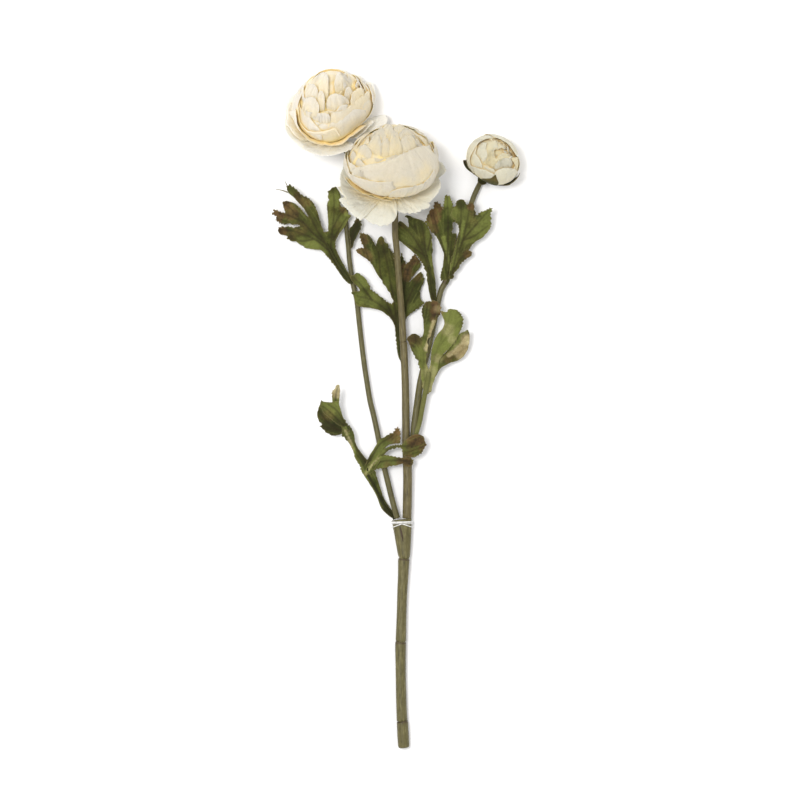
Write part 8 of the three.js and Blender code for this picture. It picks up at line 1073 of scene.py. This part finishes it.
def depth_of(bags, reach=11.0, rays=10):
    """How deep each point of the petals lies between the others: 0 in the open, 1 in a crevice."""
    from mathutils.bvhtree import BVHTree
    V = np.vstack([np.vstack(b.v) for b in bags])
    F, off = [], 0
    for b in bags:
        F += [tuple(i + off for i in f) for f in b.f]
        off += b.n
    tree = BVHTree.FromPolygons([tuple(v) for v in V], F, epsilon=0.0)
    N = np.zeros_like(V)
    for size in (3, 4):
        fs = np.array([f for f in F if len(f) == size])
        if len(fs):
            n = np.cross(V[fs[:, 1]] - V[fs[:, 0]], V[fs[:, 2]] - V[fs[:, 0]])
            for k in range(size):
                np.add.at(N, fs[:, k], n)
    N /= np.maximum(np.linalg.norm(N, axis=1, keepdims=True), 1e-9)
    a = np.where(np.abs(N[:, 2:3]) < 0.9, [[0.0, 0.0, 1.0]], [[1.0, 0.0, 0.0]])
    T = np.cross(N, a)
    T /= np.maximum(np.linalg.norm(T, axis=1, keepdims=True), 1e-9)
    B = np.cross(N, T)
    spin = _hash(np.arange(len(V)), np.arange(len(V)) * 7, np.zeros(len(V), int), 5) * 2 * math.pi
    occ = np.zeros(len(V))
    O = V + N * 0.3
    for k in range(rays):
        c2 = (k + 0.5) / rays
        st, ct = math.sqrt(c2), math.sqrt(1 - c2)
        f = spin + k * GOLD_ANGLE
        D = N * ct + (T * np.cos(f)[:, None] + B * np.sin(f)[:, None]) * st
        for i in range(len(V)):
            hit = tree.ray_cast(Vector(O[i]), Vector(D[i]), reach)
            if hit[3] is not None:
                occ[i] += 1 - 0.6 * hit[3] / reach
    occ /= rays
    # even out along the faces
    for _ in range(2):
        tot, cnt = occ.copy(), np.ones(len(V))
        for size in (3, 4):
            fs = np.array([f for f in F if len(f) == size])
            if len(fs):
                m = occ[fs].mean(1)
                for k in range(size):
                    np.add.at(tot, fs[:, k], m)
                    np.add.at(cnt, fs[:, k], 1)
        occ = tot / cnt
    out, off = [], 0
    for b in bags:
        out.append(occ[off:off + b.n])
        off += b.n
    return out


EGGS = {"b": {2: (1.0, 1.0), 3: (1.0, 1.0), 4: (1.1, 1.04), 5: (1.15, 1.14), 6: (1.08, 1.22), 7: (1.2, 1.32)},
        "a": {2: (1.0, 1.0), 3: (1.06, 1.0), 4: (1.14, 1.34), 5: (1.18, 1.5), 6: (1.3, 1.6)},
        "bud": {1: (1.03, 1.0), 2: (1.05, 1.0)}}


BACK = {("b", 2): 0.10, ("b", 3): 0.12, ("b", 4): 0.20, ("b", 5): 0.20, ("b", 6): 0.12, ("a", 2): 0.09, ("a", 3): 0.12, ("a", 4): 0.10, ("a", 5): 0.06, ("bud", 1): 0.12, ("bud", 2): 0.08}


def rounds(key, head, mat, slot, outer=None):
    made = []
    for L in head["rounds"]:
        bag = Bag()
        name = L["name"]
        h0 = L["h0"] if "h0" in L else L["side"][0][1]
        hub(bag, head, 6.0 if key != "bud" else 4.0, h0)
        for k, p in enumerate(PETALS[name]):
            q = dict(p)
            M = L
            if "ka" in q:
                M = dict(L, a=L["a"] * q.pop("ka"), b=L["b"] * q.pop("kb"), h0=L["h0"] + q.pop("dh", 0.0))
            petal(bag, head, M, seed=q.pop("seed", 11 + 7 * k + len(name) * 3 + int(name[-1]) * 31), **q)
        if "a" in L:
            i = int(name[-1])
            ka, kb = EGGS[key][i]
            egg(bag, head, dict(a=L["a"] * ka - 4.3, b=L["b"] * kb - 2.6, h0=L["h0"] + 2.2), 20 + i, 9 + i, 0.02, 0.6, BACK.get((key, i), 0.0))
        made.append((bag, name + "_petals", name, slot))
    c = head["heart"]
    bag = Bag()
    ka, kb, up = {"a": (0.9, 1.05, 15.0), "b": (1.2, 1.3, 0.0), "bud": (1.28, 1.17, 0.0)}[key]
    egg(bag, head, dict(c, a=c["a"] * ka, b=c["b"] * kb, h0=c["h0"] + up), 3, share=0.0 if key == "a" else 0.25)
    for k, p in enumerate(PETALS[c["name"]]):
        q = dict(p)
        L = dict(a=c["a"] * q.pop("ka"), b=c["b"] * q.pop("kb"), h0=c["h0"] + q.pop("dh", 0.4), psi=q.pop("psi"))
        petal(bag, head, L, seed=q.pop("seed", 5 + 11 * k), **q)
    made.append((bag, c["name"] + "_rolled", c["name"], "heart_fabric"))
    for (bag, obname, node, sl), occ in zip(made, depth_of([m[0] for m in made])):
        # painted crevice shade: the ray depth between the petals turned into a golden tint, weaker on the outer round
        share = 0.75 if node == head["rounds"][0]["name"] and key != "bud" else 1.0
        bag.a["warm"] = [smooth(0.28, 0.85, occ) * share]
        first = node == head["rounds"][0]["name"] and outer is not None
        bag.make(obname, outer if first else mat, replaces=(node,), slot="outer_fabric" if first else sl)


rounds("b", HEADS["b"], PETAL, "petal_fabric", OUTER)
rounds("a", HEADS["a"], PETAL2, "petal_fabric", OUTER2)
rounds("bud", HEADS["bud"], BUDMAT, "bud_fabric")


def calyx(head, mat, tipw):
    """Five pointed sepals on a small cup."""
    L = head["calyx"]
    bag = Bag()
    n = L["lobes"]
    hub(bag, head, 5.0, L["side"][0][1])
    for k in range(n):
        q = dict(head.get("sepals", {}))
        petal(bag, head, L, L["turn"] + 180.0 / n + 360.0 * k / n, 180.0 / n * 0.92, tilt=0.15, ruffle=0.25, notch=0.0, round_=0.75, power=0.9, crease=0.25, fray=0.3, seed=70 + k * 9, thick=0.45, narrow=0.8, nu=22, nv=20, **q)
    if L["name"] == "bud_calyx":
        for p in SEPALS:
            petal(bag, head, head["rounds"][0], tilt=0.1, ruffle=0.1, crease=0.1, wave=0.1, narrow=0.8, thick=0.45, nu=40, nv=26, fray=0.1, **p)
    at = bag.a
    k = bag.n
    v = np.concatenate(at["v"])
    bag.a["dark"] = [np.clip((0.3 if L["name"] == "bud_calyx" else 0.55) + 0 * v, 0, 1)]
    bag.a["brown"] = [0.5 * smooth(0.55, 1.0, v)]
    bag.a["vein"] = [0.25 * np.exp(-(np.concatenate(at["u"]) / 0.12) ** 2)]
    bag.make(L["name"] + "_sepals", mat, replaces=(L["name"],), slot="calyx_fabric")


for key in ("b", "a", "bud"):
    calyx(HEADS[key], LEAF, 0.3)


# ------------------------------------------------------------------ surface, camera, light
scene = bpy.context.scene
floor_me = bpy.data.meshes.new("surface")
s_ = 6.0
floor_me.from_pydata([(-s_, -s_, 0), (s_, -s_, 0), (s_, s_, 0), (-s_, s_, 0)], [], [(0, 1, 2, 3)])
floor = bpy.data.objects.new("surface", floor_me)
scene.collection.objects.link(floor)
fm, fnt, fb = new_mat("white_surface")
fb.inputs["Base Color"].default_value = (0.96, 0.96, 0.97, 1)
fb.inputs["Roughness"].default_value = 0.9
fb.inputs["Specular IOR Level"].default_value = 0.1
floor_me.materials.append(fm)

cam = bpy.data.cameras.new("camera")
cam.sensor_fit = "HORIZONTAL"
cam.sensor_width = 36.0
cam.lens = 36.0 * (CAM[2]) / (797 * 0.82)
cam.clip_start, cam.clip_end = 0.05, 50
co = bpy.data.objects.new("camera", cam)
co.location = (CAM[0] * MM, CAM[1] * MM, CAM[2] * MM)
co.rotation_euler = (0, 0, 0)
scene.collection.objects.link(co)
scene.camera = co

world = bpy.data.worlds.new("world")
scene.world = world
world.use_nodes = True
bg = world.node_tree.nodes["Background"]
bg.inputs[0].default_value = (1.0, 1.0, 1.0, 1)
bg.inputs[1].default_value = 0.85


def area(name, loc, target, size, power, color=(1, 1, 1)):
    d = bpy.data.lights.new(name, "AREA")
    d.shape = "DISK"
    d.size = size
    d.energy = power
    d.color = color
    ob = bpy.data.objects.new(name, d)
    ob.location = loc
    ob.rotation_euler = (Vector(target) - Vector(loc)).to_track_quat("-Z", "Y").to_euler()
    scene.collection.objects.link(ob)
    return ob


area("key", (-0.56, 0.23, 2.07), (0.0, 0.03, 0.02), 0.62, 23.6, (1.0, 0.985, 0.965))
area("side", (-0.2, 0.5, 2.2), (0.0, 0.05, 0.03), 1.4, 4.0, (1.0, 0.98, 0.95))
scene.view_settings.view_transform = "Standard"
scene.view_settings.look = "None"
scene.view_settings.exposure = 0.0
